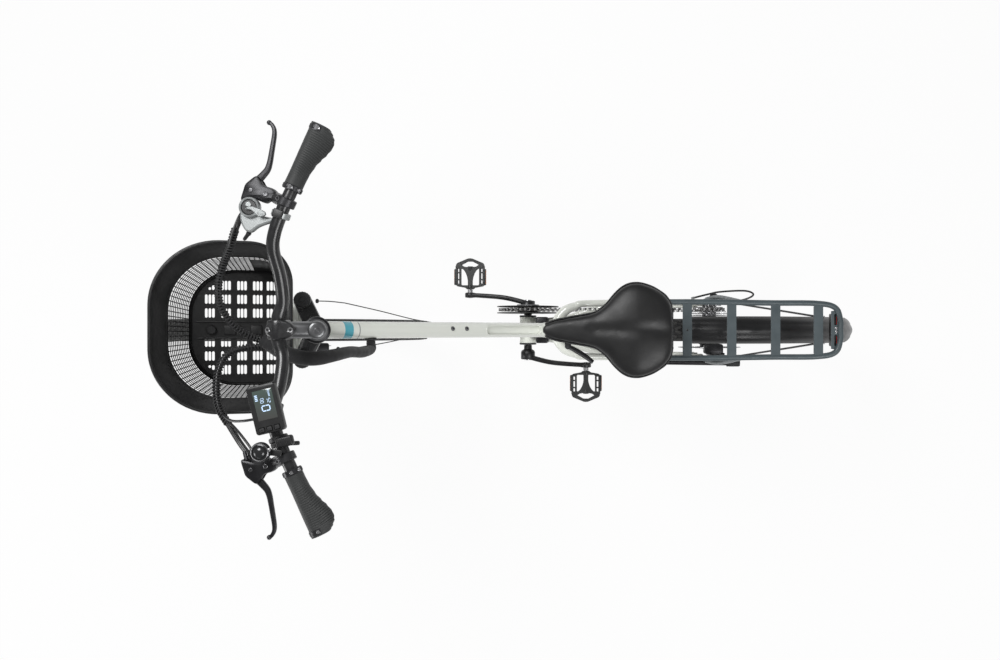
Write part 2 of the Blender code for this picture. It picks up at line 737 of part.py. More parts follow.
def rear_wheel():
    rim_radius = wheel("rear", "rear_wheel", REAR_AXLE)
    bore = REAR_AXLE_RADIUS + RUNNING
    right = MOTOR_OFFSET + MOTOR_WIDTH / 2
    left = MOTOR_OFFSET - MOTOR_WIDTH / 2
    rim_of_motor = MOTOR_RADIUS + 0.008
    hub = turned(
        [
            (bore, right + 0.002),
            (MOTOR_RADIUS - 0.012, right),
            (rim_of_motor, right - 0.010),
            (rim_of_motor, right - 0.016),
            (MOTOR_RADIUS, right - 0.018),
            (MOTOR_RADIUS, left + 0.018),
            (rim_of_motor, left + 0.016),
            (rim_of_motor, left + 0.010),
            (MOTOR_RADIUS - 0.012, left),
            (0.024, left - 0.004),
            (0.024, left - 0.010),
            (bore, left - 0.010),
        ],
        REAR_AXLE,
        RIGHT,
        steps=16,
    )
    laced = spokes(REAR_AXLE, rim_radius, rim_of_motor - 0.003, (left + 0.013, right - 0.013))
    piece("rear_motor_hub", "rear_wheel", BLACK_METAL, [hub, laced])
    brake_disc("rear", "rear_wheel", REAR_AXLE, left - 0.010 - GAP - DISC_THICKNESS / 2, DISC_BORE)
    ends = RIGHT * (DROPOUT_SPACING / 2 + 0.018)
    shaft = rod(REAR_AXLE - ends, REAR_AXLE + ends, REAR_AXLE_RADIUS)
    nuts = [
        rod(
            REAR_AXLE + RIGHT * side * (DROPOUT_SPACING / 2 + DROPOUT_THICKNESS + GAP),
            REAR_AXLE + RIGHT * side * (DROPOUT_SPACING / 2 + DROPOUT_THICKNESS + 0.010),
            0.0100,
            sides=6,
        )
        for side in (1, -1)
    ]
    piece("rear_axle", "frame", SILVER, [shaft, *nuts])


def cog_radius(teeth):
    """The radius that the chain's pins run on."""
    return CHAIN_PITCH / (2 * math.sin(math.pi / teeth))


def freewheel():
    """Seven cogs on one carrier, to the right of the motor, with the cog in use on the chain's line."""
    inner = REAR_AXLE_RADIUS + RUNNING
    carrier = 0.0180
    levels = [CHAINLINE + (COG_IN_USE - number) * COG_PITCH for number in range(len(COGS))]
    high = levels[0] + COG_THICKNESS / 2 + 0.002
    profile = [(inner, high), (carrier, high)]
    for teeth, level in zip(COGS, levels):
        radius = cog_radius(teeth) - ROOT_DROP
        profile.append((carrier, level + COG_THICKNESS / 2))
        profile.append((radius, level + COG_THICKNESS / 2))
        profile.append((radius, level - COG_THICKNESS / 2))
    low = levels[-1] - COG_THICKNESS / 2 - 0.0005
    profile += [(carrier, low), (inner, low)]
    piece("freewheel", "freewheel", STEEL, [turned(profile, REAR_AXLE, RIGHT, steps=12)])


def front_steering():
    """Crown with its steerer, stanchions and knobs."""
    top = STEM_UP + STEM_HEIGHT / 2 - 0.002
    shapes = [
        block(
            on_steering(CROWN_LOW + CROWN_HEIGHT / 2, CROWN_MIDDLE),
            (CROWN_LENGTH, LEG_SPACING, CROWN_HEIGHT),
            frame_of(-STEER_AHEAD),
            bevel=0.010,
            segments=1,
        ),
        rod(on_steering(CROWN_LOW), on_steering(CROWN_LOW + CROWN_HEIGHT), CROWN_BOSS_RADIUS, sides=16),
        rod(on_steering(CROWN_LOW + 0.01), on_steering(top), STEERER_RADIUS, sides=16),
    ]
    for side in (1, -1):
        offset = side * LEG_SPACING / 2
        low, high = on_steering(STANCHION_LOW, LEG_AHEAD, offset), on_steering(KNOB_TOP, LEG_AHEAD, offset)
        shapes.append(rod(low, high - STEER_AXIS * 0.008, STANCHION_RADIUS))
        shapes.append(rod(on_steering(CROWN_LOW, LEG_AHEAD, offset), high, KNOB_RADIUS))
    piece("fork_crown", "steering", BLACK_METAL, shapes)


def stem():
    """Spacer, tower, arm and bar clamp, with the cap's bolts."""
    low, high = STEM_UP - STEM_HEIGHT / 2, STEM_UP + STEM_HEIGHT / 2
    spacer_low = HEAD_TUBE_HIGH + HEADSET_CUP_HEIGHT + GAP
    half_clamp = RIGHT * STEM_CLAMP_WIDTH / 2
    shapes = [
        rod(on_steering(low), on_steering(high), STEM_RADIUS, sides=16),
        rod(on_steering(spacer_low), on_steering(low + 0.004), STEM_RADIUS - 0.0025, sides=16),
        block(
            on_steering(STEM_UP, STEM_REACH / 2),
            (STEM_REACH, 0.030, STEM_HEIGHT * 0.8),
            frame_of(-STEER_AHEAD),
            bevel=0.004,
            segments=1,
        ),
        rod(BAR_CLAMP - half_clamp, BAR_CLAMP + half_clamp, STEM_RADIUS - 0.001, sides=16),
        rod(on_steering(high - 0.001), on_steering(high + 0.006), 0.0075, sides=6),
    ]
    for offset in (-0.0165, 0.0165):
        foot = BAR_CLAMP + REARWARD * offset
        shapes.append(rod(foot, foot + UP * (STEM_RADIUS + 0.001), 0.0035, sides=6))
    cuts = [
        rod(on_steering(spacer_low - 0.01), on_steering(high - 0.0015), STEERER_RADIUS + RUNNING, sides=16),
        rod(
            BAR_CLAMP - half_clamp * 2,
            BAR_CLAMP + half_clamp * 2,
            BAR_CLAMP_RADIUS + RUNNING + GAP,
            sides=16,
        ),
    ]
    piece("stem", "steering", BLACK_METAL, shapes, cuts)


BAR_POINTS = [
    (0.0000, 0.0000, 0.000),
    (0.0016, 0.0280, 0.001),
    (0.0087, 0.0514, 0.006),
    (0.0085, 0.0941, 0.020),
    (0.0025, 0.1360, 0.034),
    (0.0072, 0.1662, 0.040),
    (0.0236, 0.2084, 0.043),
    (0.0359, 0.2338, 0.044),
    (0.0860, 0.3480, 0.040),
]


def bar_point(index, share=0.0, side=1):
    """A point on the bar's centreline, a share of the way to the next listed point."""
    here = Vector(BAR_POINTS[index])
    there = Vector(BAR_POINTS[min(index + 1, len(BAR_POINTS) - 1)])
    place = here.lerp(there, share)
    return BAR_CLAMP + Vector((place.x, side * place.y, place.z))


GRIP_START = bar_point(7, 0.02)
GRIP_END = bar_point(8)
GRIP_AXIS = (GRIP_END - GRIP_START).normalized()


def handlebar():
    left = [bar_point(index, side=-1) for index in range(len(BAR_POINTS) - 1, 0, -1)]
    right = [bar_point(index) for index in range(len(BAR_POINTS))]
    clamped = [BAR_CLAMP + RIGHT * side * (STEM_CLAMP_WIDTH / 2 + 0.001) for side in (-1, 1)]
    route = smooth_route([*left, clamped[0], right[0], clamped[1], *right[1:]], steps=2)
    cable_object = bpy.data.objects.new(
        "handlebar",
        wire_curve(
            [point - BODIES["steering"][1] for point in route],
            BAR_RADIUS,
            1,
            widths=[
                BAR_CLAMP_RADIUS / BAR_RADIUS if abs(point.y) < 0.030 else 1.0 for point in route
            ],
        ),
    )
    PARTS.objects.link(cable_object)
    cable_object.parent = BODIES["steering"][0]
    cable_object.data.materials.append(BLACK_METAL)


def grips():
    """Shaped grips with a palm rest to the rear, and a clamp ring at each end."""
    along = GRIP_AXIS
    rearward = along.cross(UP).normalized()
    rearward = rearward if rearward.x > 0 else -rearward
    upward = along.cross(rearward).normalized()
    upward = upward if upward.z > 0 else -upward
    length = (GRIP_END - GRIP_START).length - 0.002
    stations = [
        (0.000, *[GRIP_CLAMP_RADIUS] * 3),
        (0.012, 0.0158, 0.0158, 0.0158),
        (0.030, 0.0155, 0.0165, 0.0158),
        (0.055, 0.0155, 0.0200, 0.0162),
        (0.080, 0.0158, 0.0300, 0.0160),
        (0.100, 0.0160, 0.0340, 0.0150),
        (0.114, 0.0160, 0.0270, 0.0150),
        (0.121, *[GRIP_CLAMP_RADIUS] * 3),
        (length, *[GRIP_CLAMP_RADIUS] * 3),
    ]
    sides = 12
    shape = bmesh.new()
    rings = []
    for distance, front, rear, tall in stations:
        ring = []
        for number in range(sides):
            angle = 2 * math.pi * number / sides
            across, height = math.cos(angle), math.sin(angle)
            reach = rear if across > 0 else front
            ring.append(
                shape.verts.new(
                    GRIP_START + along * distance + rearward * across * reach + upward * height * tall
                )
            )
        rings.append(ring)
    for first, second in zip(rings, rings[1:]):
        for k in range(sides):
            shape.faces.new((first[k], first[(k + 1) % sides], second[(k + 1) % sides], second[k]))
    shape.faces.new(rings[0])
    shape.faces.new(rings[-1])
    bmesh.ops.recalc_face_normals(shape, faces=shape.faces)
    right = stored(shape)
    bore_end = GRIP_START + along * (length + 0.004)
    bore = rod(GRIP_START - along * 0.01, bore_end, BAR_RADIUS + RUNNING, sides=14)
    piece("grip_right", "steering", RUBBER, [right], [bore])
    piece("grip_left", "steering", RUBBER, [mirrored(right)], [mirrored(bore)])


HOSE_WAY = Vector((-0.43, -0.86, -0.28)).normalized()
HOSE_START = LEVER_PIVOT + HOSE_WAY * 0.024


def brake_controls():
    """Lever bodies with the pin that each lever turns on and a nipple for the hose, and the levers."""
    clamp_middle = bar_point(6, 0.35)
    clamp_axis = (bar_point(7) - bar_point(6)).normalized()
    arm_end = LEVER_PIVOT + Vector((0.002, -0.004, 0))
    housing = [
        rod(clamp_middle - clamp_axis * 0.007, clamp_middle + clamp_axis * 0.007, 0.0165, sides=14),
        block(
            (clamp_middle + arm_end) / 2 + Vector((-0.004, 0, -0.001)),
            ((arm_end - clamp_middle).length * 0.95, 0.021, 0.020),
            frame_of(arm_end - clamp_middle),
            bevel=0.005,
            segments=1,
        ),
        rod(LEVER_PIVOT - UP * 0.0105, LEVER_PIVOT + UP * 0.0105, 0.0125, sides=14),
    ]
    nipple = rod(LEVER_PIVOT + HOSE_WAY * 0.008, HOSE_START, 0.0042, sides=8)
    bar_space = rod(
        clamp_middle - clamp_axis * 0.02, clamp_middle + clamp_axis * 0.02, BAR_RADIUS + CLAMP_GAP, sides=16
    )
    slot_half = LEVER_HALF + 0.0006
    slot = turned(disc_profile(0.030, -slot_half, slot_half, LEVER_PIN_RADIUS), LEVER_PIVOT, UP, 12)
    blade_route = [
        LEVER_PIVOT,
        LEVER_PIVOT + Vector((0.020, 0.022, 0.000)),
        LEVER_PIVOT + Vector((0.034, 0.040, 0.000)),
        LEVER_PIVOT + Vector((0.042, 0.070, 0.000)),
        LEVER_PIVOT + Vector((0.043, 0.098, 0.000)),
        LEVER_PIVOT + Vector((0.036, 0.114, 0.000)),
    ]
    lever = [
        rod(LEVER_PIVOT - UP * LEVER_HALF, LEVER_PIVOT + UP * LEVER_HALF, 0.0095, sides=12),
        bent_rod(blade_route, LEVER_HALF - 0.0002, resolution=1, steps=2),
        ball(blade_route[-1], 0.0066),
    ]
    pin_hole = rod(LEVER_PIVOT - UP * 0.02, LEVER_PIVOT + UP * 0.02, LEVER_PIN_RADIUS + RUNNING, sides=12)
    for name, change in (("right", lambda mesh: mesh), ("left", mirrored)):
        piece(
            f"brake_housing_{name}",
            "steering",
            BLACK_METAL,
            [change(mesh) for mesh in housing + [nipple]],
            [change(bar_space), change(slot)],
        )
        piece(
            f"brake_lever_{name}",
            f"brake_lever_{name}",
            BLACK_METAL,
            [change(mesh) for mesh in lever],
            [change(pin_hole)],
        )


def fork_lowers():
    """White lower legs with their arch, dropouts, front axle and caliper."""
    shapes = []
    cuts = []
    half_hub = FRONT_HUB_WIDTH / 2
    for side in (1, -1):
        offset = side * LEG_SPACING / 2
        shapes.append(
            rod(on_steering(0.016, LEG_AHEAD, offset), on_steering(LEG_TOP, LEG_AHEAD, offset), LEG_RADIUS)
        )
        shapes.append(
            block(
                on_steering(0.018, (LEG_AHEAD + FORK_RAKE) / 2, side * (half_hub + 0.0045)),
                (0.032, 0.007, 0.070),
                frame_of(-STEER_AHEAD),
                bevel=0.0015,
            )
        )
        cuts.append(
            rod(
                on_steering(0.060, LEG_AHEAD, offset),
                on_steering(LEG_TOP + 0.01, LEG_AHEAD, offset),
                STANCHION_RADIUS + RUNNING,
            )
        )
    arch_points = [
        on_steering(0.255, LEG_AHEAD + 0.010, -0.060),
        on_steering(0.300, LEG_AHEAD + 0.024, -0.057),
        on_steering(0.338, LEG_AHEAD + 0.024, -0.038),
        on_steering(0.350, LEG_AHEAD + 0.024, 0.0),
        on_steering(0.338, LEG_AHEAD + 0.024, 0.038),
        on_steering(0.300, LEG_AHEAD + 0.024, 0.057),
        on_steering(0.255, LEG_AHEAD + 0.010, 0.060),
    ]
    shapes.append(bent_rod(arch_points, 0.0058, resolution=1, steps=2))
    ends = RIGHT * (half_hub + 0.016)
    cuts.append(rod(FRONT_AXLE - ends, FRONT_AXLE + ends, AXLE_RADIUS + GAP, sides=16))
    cuts.append(
        rod(FRONT_AXLE - RIGHT * (half_hub + GAP), FRONT_AXLE + RIGHT * (half_hub + GAP), 0.016)
    )
    piece("fork_lower_legs", "fork_lowers", WHITE, shapes, cuts)
    shaft = rod(FRONT_AXLE - ends, FRONT_AXLE + ends, AXLE_RADIUS)
    nuts = [
        rod(
            FRONT_AXLE + RIGHT * side * (half_hub + 0.008 + GAP),
            FRONT_AXLE + RIGHT * side * (half_hub + 0.015),
            0.0090,
            sides=6,
        )
        for side in (1, -1)
    ]
    piece("front_axle", "fork_lowers", SILVER, [shaft, *nuts])
    disc_side = -half_hub + 0.008
    slot = rod(
        FRONT_AXLE + RIGHT * (disc_side - 0.0022),
        FRONT_AXLE + RIGHT * (disc_side + 0.0022),
        DISC_RADIUS + 0.004,
        sides=28,
    )
    caliper = block(
        on_steering(0.060, -0.012, disc_side - 0.0035),
        (0.040, 0.0240, 0.046),
        frame_of(-STEER_AHEAD),
        bevel=0.003,
    )
    left = RIGHT * -LEG_SPACING / 2
    lug_centre = on_steering(0.060, 0.008, disc_side - 0.0125)
    lug = block(lug_centre, (0.016, 0.0130, 0.030), frame_of(-STEER_AHEAD))
    leg_space = rod(
        on_steering(0.016, LEG_AHEAD) + left, on_steering(LEG_TOP, LEG_AHEAD) + left, LEG_RADIUS + GAP
    )
    piece("front_caliper", "fork_lowers", BLACK_METAL, [caliper, lug], [slot, leg_space])


def rear_caliper():
    disc_side = MOTOR_OFFSET - MOTOR_WIDTH / 2 - 0.010 - GAP - DISC_THICKNESS / 2
    slot = rod(
        REAR_AXLE + RIGHT * (disc_side - 0.0022),
        REAR_AXLE + RIGHT * (disc_side + 0.0022),
        DISC_RADIUS + 0.004,
        sides=28,
    )
    caliper = block(REAR_AXLE + Vector((0, disc_side - 0.0025, 0.080)), (0.048, 0.0250, 0.034), bevel=0.003)
    outer = DROPOUT_SPACING / 2 - GAP
    inner = -disc_side + 0.0125
    bracket = block(
        REAR_AXLE + Vector((0.002, -(outer + inner) / 2, 0.056)),
        (0.022, outer - inner, 0.062),
    )
    piece("rear_caliper", "frame", BLACK_METAL, [caliper, bracket], [slot])


def crankset():
    """Two arms with their pedal pins, the spindle on the right one, and the chainring with its guards."""
    plates = [
        rod(
            BRACKET + RIGHT * (CHAINLINE - GUARD_SPACING / 2),
            BRACKET + RIGHT * (CHAINLINE + GUARD_SPACING / 2),
            SPIDER_RADIUS,
            sides=14,
        )
    ]
    ring_radius = cog_radius(CHAINRING_TEETH) - ROOT_DROP
    windows = []
    for number in range(RING_ARMS):
        start = number * 360 / RING_ARMS + 14
        outer = arc((0, 0), ring_radius - 0.017, start, start + 44, 3)
        inner = arc((0, 0), SPIDER_RADIUS + 0.005, start + 44, start, 2)
        windows.append(outer + inner)
    for radius, middle, thickness, holes in (
        (ring_radius, CHAINLINE, RING_THICKNESS, windows),
        (GUARD_RADIUS, CHAINLINE - GUARD_SPACING / 2, GUARD_THICKNESS, ()),
        (GUARD_RADIUS, CHAINLINE + GUARD_SPACING / 2, GUARD_THICKNESS, ()),
    ):
        plates.append(
            outlined(
                arc((0, 0), radius, 0, 345, 23),
                thickness,
                BRACKET + RIGHT * middle,
                frame_of(REARWARD, UP),
                holes,
            )
        )
    bore = rod(BRACKET, BRACKET + RIGHT * 2 * CHAINLINE, BOSS_RADIUS + RUNNING, sides=24)
    piece("chainring", "crank", BLACK_METAL, plates, [bore])
    half = SHELL_WIDTH / 2 + CUP_WIDTH + 0.001
    for side, name, axle in ((1, "right", RIGHT_PEDAL_AXLE), (-1, "left", LEFT_PEDAL_AXLE)):
        across = RIGHT * side
        start = BRACKET + across * (ARM_INNER + 0.007)
        end = axle + across * (ARM_OUTER - 0.006)
        bend = start.lerp(end, 0.42) + across * 0.006
        shapes = [
            rod(BRACKET + across * (half + GAP), BRACKET + across * (ARM_INNER + 0.014), BOSS_RADIUS),
            block(
                (start + bend) / 2,
                ((bend - start).length + 0.012, 0.013, 0.026),
                frame_of(bend - start),
                0.003,
            ),
            block(
                (bend + end) / 2,
                ((end - bend).length + 0.014, 0.011, 0.022),
                frame_of(end - bend),
                0.003,
            ),
            rod(axle + across * (ARM_OUTER - 0.012), axle + across * ARM_OUTER, 0.0135),
            rod(
                axle + across * (ARM_OUTER - 0.004),
                axle + across * (PEDAL_INNER + 0.070),
                PEDAL_PIN_RADIUS,
            ),
        ]
        if side > 0:
            shapes.append(rod(BRACKET - across * half, BRACKET + across * (half + 0.01), SPINDLE_RADIUS))
            flange = BRACKET + across * ARM_INNER
            shapes.append(rod(flange, flange + across * 0.004, SPIDER_RADIUS + 0.002, sides=14))
        piece(f"crank_arm_{name}", "crank", BLACK_METAL, shapes)


def pedals():
    """Cage pedals with a forked spine, a sleeve on the crank's pin and a reflector at each edge."""
    half = PEDAL_LENGTH / 2 - 0.002
    shoulder = PEDAL_WIDTH - 0.016
    outline = [
        (-half, 0.008),
        (-half + 0.006, 0),
        (half - 0.006, 0),
        (half, 0.008),
        (half, shoulder),
        (0.012, PEDAL_WIDTH),
        (-0.012, PEDAL_WIDTH),
        (-half, shoulder),
    ]
    inside = half - 0.0075
    windows = [
        [(-inside, 0.008), (-0.0125, 0.012), (-0.0125, 0.044), (-inside, 0.056)],
        [(0.0125, 0.012), (inside, 0.008), (inside, 0.056), (0.0125, 0.044)],
        [
            (0, 0.050),
            (inside - 0.003, shoulder - 0.002),
            (0.009, 0.074),
            (-0.009, 0.074),
            (0.003 - inside, shoulder - 0.002),
        ],
    ]
    for side, name, axle in ((1, "right", RIGHT_PEDAL_AXLE), (-1, "left", LEFT_PEDAL_AXLE)):
        across = RIGHT * side
        origin = axle + across * PEDAL_INNER
        lie = Matrix((REARWARD, across, UP)).transposed()
        shapes = [
            outlined(outline, PEDAL_THICKNESS, origin, lie, windows),
            rod(origin + across * 0.0004, origin + across * 0.074, 0.0095),
        ]
        for edge in (1, -1):
            place = origin + Vector((edge * half, side * 0.032, 0))
            shapes.append(block(place, (0.004, 0.040, PEDAL_THICKNESS - 0.002)))
        bore = rod(origin - across * 0.01, origin + across * 0.0715, PEDAL_PIN_RADIUS + RUNNING)
        piece(f"pedal_{name}", f"pedal_{name}", BLACK, shapes, [bore])


def belt(circles, offset, per_turn=24):
    """Points of a band round circles in a plane, moved outwards by an offset.

    Each circle is its centre's two coordinates, its radius and the way the band passes it: 1 with
    the circle on the band's left, -1 on its right.
    """
    loop = []
    count = len(circles)
    tangents = []
    for index in range(count):
        (x1, y1, r1, s1), (x2, y2, r2, s2) = circles[index], circles[(index + 1) % count]
        first, second = r1 * s1 + offset, r2 * s2 + offset
        distance = math.hypot(x2 - x1, y2 - y1)
        lean = math.atan2(y2 - y1, x2 - x1) - math.pi / 2
        swing = math.asin((first - second) / distance)
        tangents.append(lean + swing)
    for index in range(count):
        x, y, radius, way = circles[index]
        reach = radius * way + offset
        start, end = tangents[index - 1], tangents[index]
        turn = (end - start) % (2 * math.pi)
        if way < 0:
            turn -= 2 * math.pi
        steps = max(2, round(abs(turn) / (2 * math.pi) * per_turn))
        for step in range(steps + 1):
            angle = start + turn * step / steps
            loop.append((x + reach * math.cos(angle), y + reach * math.sin(angle)))
    return loop


def chain_and_derailleur():
    """The chain as one band round the chainring, the cog in use and the derailleur's two pulleys."""
    pulley_radius = cog_radius(PULLEY_TEETH)
    circles = [
        (REAR_AXLE.x, REAR_AXLE.z, cog_radius(COGS[COG_IN_USE]), 1),
        (BRACKET.x, BRACKET.z, cog_radius(CHAINRING_TEETH), 1),
        (TENSION_PULLEY.x, TENSION_PULLEY.z, pulley_radius, 1),
        (GUIDE_PULLEY.x, GUIDE_PULLEY.z, pulley_radius, -1),
    ]
    band = outlined(
        belt(circles, CHAIN_HALF_HEIGHT),
        CHAIN_WIDTH,
        RIGHT * CHAINLINE,
        frame_of(REARWARD, UP),
        [belt(circles, -CHAIN_HALF_HEIGHT)],
    )
    piece("chain", "frame", STEEL, [band])
    side_gap = CHAIN_WIDTH / 2 + 0.0012
    direction = (GUIDE_PULLEY - TENSION_PULLEY).normalized()
    middle = (GUIDE_PULLEY + TENSION_PULLEY) / 2
    reach = (GUIDE_PULLEY - TENSION_PULLEY).length
    shapes = []
    for side in (1, -1):
        plate = middle + RIGHT * (CHAINLINE + side * (side_gap + 0.001))
        shapes.append(block(plate, (reach + 0.014, 0.002, 0.020), frame_of(direction), 0.0006))
    for name, centre in (("guide_pulley", GUIDE_PULLEY), ("tension_pulley", TENSION_PULLEY)):
        profile = disc_profile(pulley_radius - ROOT_DROP, -0.0025, 0.0025, PULLEY_PIN_RADIUS + RUNNING)
        piece(name, name, BLACK, [turned(profile, centre + RIGHT * CHAINLINE, RIGHT, 14)])
        near, far = CHAINLINE - side_gap - 0.0015, CHAINLINE + side_gap + 0.0015
        shapes.append(rod(centre + RIGHT * near, centre + RIGHT * far, PULLEY_PIN_RADIUS, sides=8))
    outside = DROPOUT_SPACING / 2 + DROPOUT_THICKNESS + GAP
    knuckle = GUIDE_PULLEY + RIGHT * (CHAINLINE + side_gap)
    hanger = REAR_AXLE + Vector((0.016, outside + 0.012, HANGER_DROP))
    link = hanger - (knuckle + RIGHT * 0.018)
    shapes += [
        rod(knuckle, knuckle + RIGHT * 0.022, 0.0110, sides=12),
        block(hanger - link / 2, (link.length + 0.012, 0.022, 0.014), frame_of(link, REARWARD), 0.003),
        rod(hanger - RIGHT * 0.012, hanger + RIGHT * 0.008, 0.0085, sides=12),
        bent_rod(
            [
                REAR_AXLE + Vector((-0.045, outside + 0.0078, -0.006)),
                REAR_AXLE + Vector((0.000, outside + 0.0190, -0.012)),
                REAR_AXLE + Vector((0.035, outside + 0.0260, -0.030)),
                REAR_AXLE + Vector((0.100, outside + 0.0290, -0.045)),
                REAR_AXLE + Vector((0.124, outside + 0.0200, -0.058)),
                REAR_AXLE + Vector((0.105, outside + 0.0080, -0.066)),
                REAR_AXLE + Vector((0.060, outside - 0.0010, -0.070)),
                GUIDE_PULLEY + RIGHT * (outside - 0.003),
            ],
            0.0025,
            resolution=1,
            steps=1,
        ),
    ]
    piece("derailleur", "frame", BLACK_METAL, shapes)


def rear_rack():
    """A tube bent round the rear, four slats, an end plate, two legs and two front struts."""
    high = RACK_HEIGHT - WHEEL_RADIUS
    half, end_half = RACK_WIDTH / 2 - RACK_RAIL_RADIUS, RACK_END_WIDTH / 2 - RACK_RAIL_RADIUS
    rear = RACK_REAR - RACK_RAIL_RADIUS
    route = [
        (RACK_FRONT, half),
        (-0.05, half),
        (0.08, half - 0.002),
        (rear - 0.050, end_half),
        (rear - 0.011, end_half - 0.009),
        (rear, end_half - 0.036),
        (rear, 0),
    ]
    left = [(x, -y) for x, y in reversed(route[:-1])]
    shapes = [
        bent_rod(
            [REAR_AXLE + Vector((x, y, high)) for x, y in route + left], RACK_RAIL_RADIUS, 1, steps=2
        ),
        block(REAR_AXLE + Vector((rear - 0.0085, 0, high - 0.0032)), (0.021, 0.086, 0.0036)),
    ]
    for x in (-0.097, -0.0035, 0.089, 0.179):
        shapes.append(block(REAR_AXLE + Vector((x, 0, high + 0.003)), (0.0195, 2 * half, 0.0032)))
    front = REAR_AXLE + Vector((RACK_FRONT + 0.006, 0, high))
    shapes.append(rod(front - RIGHT * (half - 0.002), front + RIGHT * (half - 0.002), 0.0048, sides=14))
    leg_level = DROPOUT_SPACING / 2 + DROPOUT_THICKNESS + GAP + RACK_LEG_RADIUS
    cuts = []
    for side in (1, -1):
        leg_route = [
            REAR_AXLE + Vector((0.0200, side * (half - 0.0015), high - 0.0010)),
            REAR_AXLE + Vector((0.0160, side * (half + 0.0040), high - 0.0500)),
            REAR_AXLE + Vector((0.000, side * (leg_level - 0.001), high * 0.45)),
            REAR_AXLE + Vector((-0.008, side * leg_level, 0.060)),
            REAR_AXLE + Vector((-0.008, side * leg_level, 0.016)),
        ]
        shapes.append(bent_rod(leg_route, RACK_LEG_RADIUS, resolution=1, steps=1))
        stay = seatstay_route(side)
        foot = stay[-3].lerp(stay[-2], 0.55)
        head = front + Vector((0.006, side * (half - 0.0007), -0.0012))
        shapes.append(rod(head, foot, 0.0042, sides=11))
        cuts.append(seatstay(side, GAP))
    piece("rear_rack", "frame", RACK_GREY, shapes, cuts)
    lamp = REAR_AXLE + Vector((rear - 0.006, 0, high - RACK_RAIL_RADIUS * 0.92 - GAP - 0.0150))
    piece("tail_lamp", "frame", RED, [block(lamp, (0.020, 0.070, 0.0300), None, 0.004)])


def mudguard():
    """A curved guard over the rear wheel, from ahead of its top to below the axle, with a stay a side."""
    half = MUDGUARD_WIDTH / 2
    fall = 1 - math.cos(MUDGUARD_CURVE)
    points = []
    for number in range(7):
        angle = MUDGUARD_CURVE * (number / 3 - 1)
        radius = MUDGUARD_RADIUS - MUDGUARD_DEPTH * (1 - math.cos(angle)) / fall
        points.append((radius, 0, half * math.sin(angle) / math.sin(MUDGUARD_CURVE)))
    mesh = bpy.data.meshes.new("profile")
    mesh.from_pydata(points, [(k, k + 1) for k in range(len(points) - 1)], [])
    helper = helper_object(mesh)
    screw = helper.modifiers.new("turn", "SCREW")
    screw.angle = math.radians(126)
    screw.steps = 15
    screw.render_steps = 15
    wall = helper.modifiers.new("wall", "SOLIDIFY")
    wall.thickness = MUDGUARD_WALL
    wall.offset = 0
    start = Matrix.Rotation(math.radians(-106), 4, "Z")
    helper.matrix_world = Matrix.Translation(REAR_AXLE) @ turn_to(RIGHT).to_4x4() @ start
    shapes = [baked(helper)]
    level = DROPOUT_SPACING / 2 + DROPOUT_THICKNESS + GAP + MUDGUARD_STAY_RADIUS
    reach = MUDGUARD_RADIUS - MUDGUARD_DEPTH + 0.003
    bearing = math.radians(43)
    for side in (1, -1):
        foot = REAR_AXLE + Vector((0.014, side * level, 0.013))
        end = REAR_AXLE + Vector((reach * math.sin(bearing), side * half, reach * math.cos(bearing)))
        shapes.append(rod(foot, end, MUDGUARD_STAY_RADIUS, sides=10))
    piece("rear_mudguard", "frame", BLACK, shapes)


def basket():
    """A rounded basket whose mouth flares outwards, square to the steering column."""
    def ring(inset, height, points_per_corner=4):
        length = BASKET_LENGTH
        half = BASKET_WIDTH / 2
        loop = []
        for ahead, side, radius, start in (
            (length, half, 0.118, 0),
            (length, -half, 0.118, -90),
            (0, -half, 0.052, -180),
            (0, half, 0.052, -270),
        ):
            small = max(radius - inset, 0.012)
            centre_ahead = ahead - math.copysign(inset + small, ahead - length / 2)
            centre_side = side - math.copysign(inset + small, side)
            for step in range(points_per_corner + 1):
                angle = math.radians(start + 90 - 90 * step / points_per_corner)
                loop.append(
                    on_steering(
                        BASKET_LOW + height,
                        BASKET_AHEAD + centre_ahead + small * math.cos(angle),
                        centre_side + small * math.sin(angle),
                    )
                )
        return loop

    profile = ((0.050, 0.0), (0.040, 0.008), (0.022, 0.195), (0.012, 0.222), (0.0, BASKET_DEPTH))
    shape = bmesh.new()
    rings = [[shape.verts.new(point) for point in ring(inset, height)] for inset, height in profile]
    count = len(rings[0])
    for low, high in zip(rings, rings[1:]):
        for k in range(count):
            shape.faces.new((low[k], low[(k + 1) % count], high[(k + 1) % count], high[k]))
    shape.faces.new(rings[0])
    bmesh.ops.recalc_face_normals(shape, faces=shape.faces)
    helper = helper_object(stored(shape))
    wall = helper.modifiers.new("wall", "SOLIDIFY")
    wall.thickness = BASKET_WALL
    wall.offset = 0
    shell = baked(helper)
    cuts = []
    for row in range(5):
        offset = (row - 2) * 0.0400
        for column in range(3):
            ahead = 0.080 + column * 0.048
            cuts.append(
                block(
                    on_steering(BASKET_LOW, BASKET_AHEAD + ahead, offset),
                    (0.026, 0.0150, 0.02),
                    frame_of(-STEER_AHEAD),
                )
            )
    piece("basket", "steering", BLACK, [shell], [together(cuts)])
    crown_front = CROWN_MIDDLE + CROWN_LENGTH / 2
    plate_low = BASKET_LOW - BASKET_WALL / 2 - GAP - 0.004
    square = frame_of(-STEER_AHEAD)
    plate = block(on_steering(plate_low + 0.002, crown_front + GAP + 0.085), (0.170, 0.030, 0.004), square)
    ear = block(on_steering(plate_low - 0.002, crown_front + GAP + 0.002), (0.004, 0.030, 0.012), square)
    piece("basket_bracket", "steering", BLACK_METAL, [plate, ear])


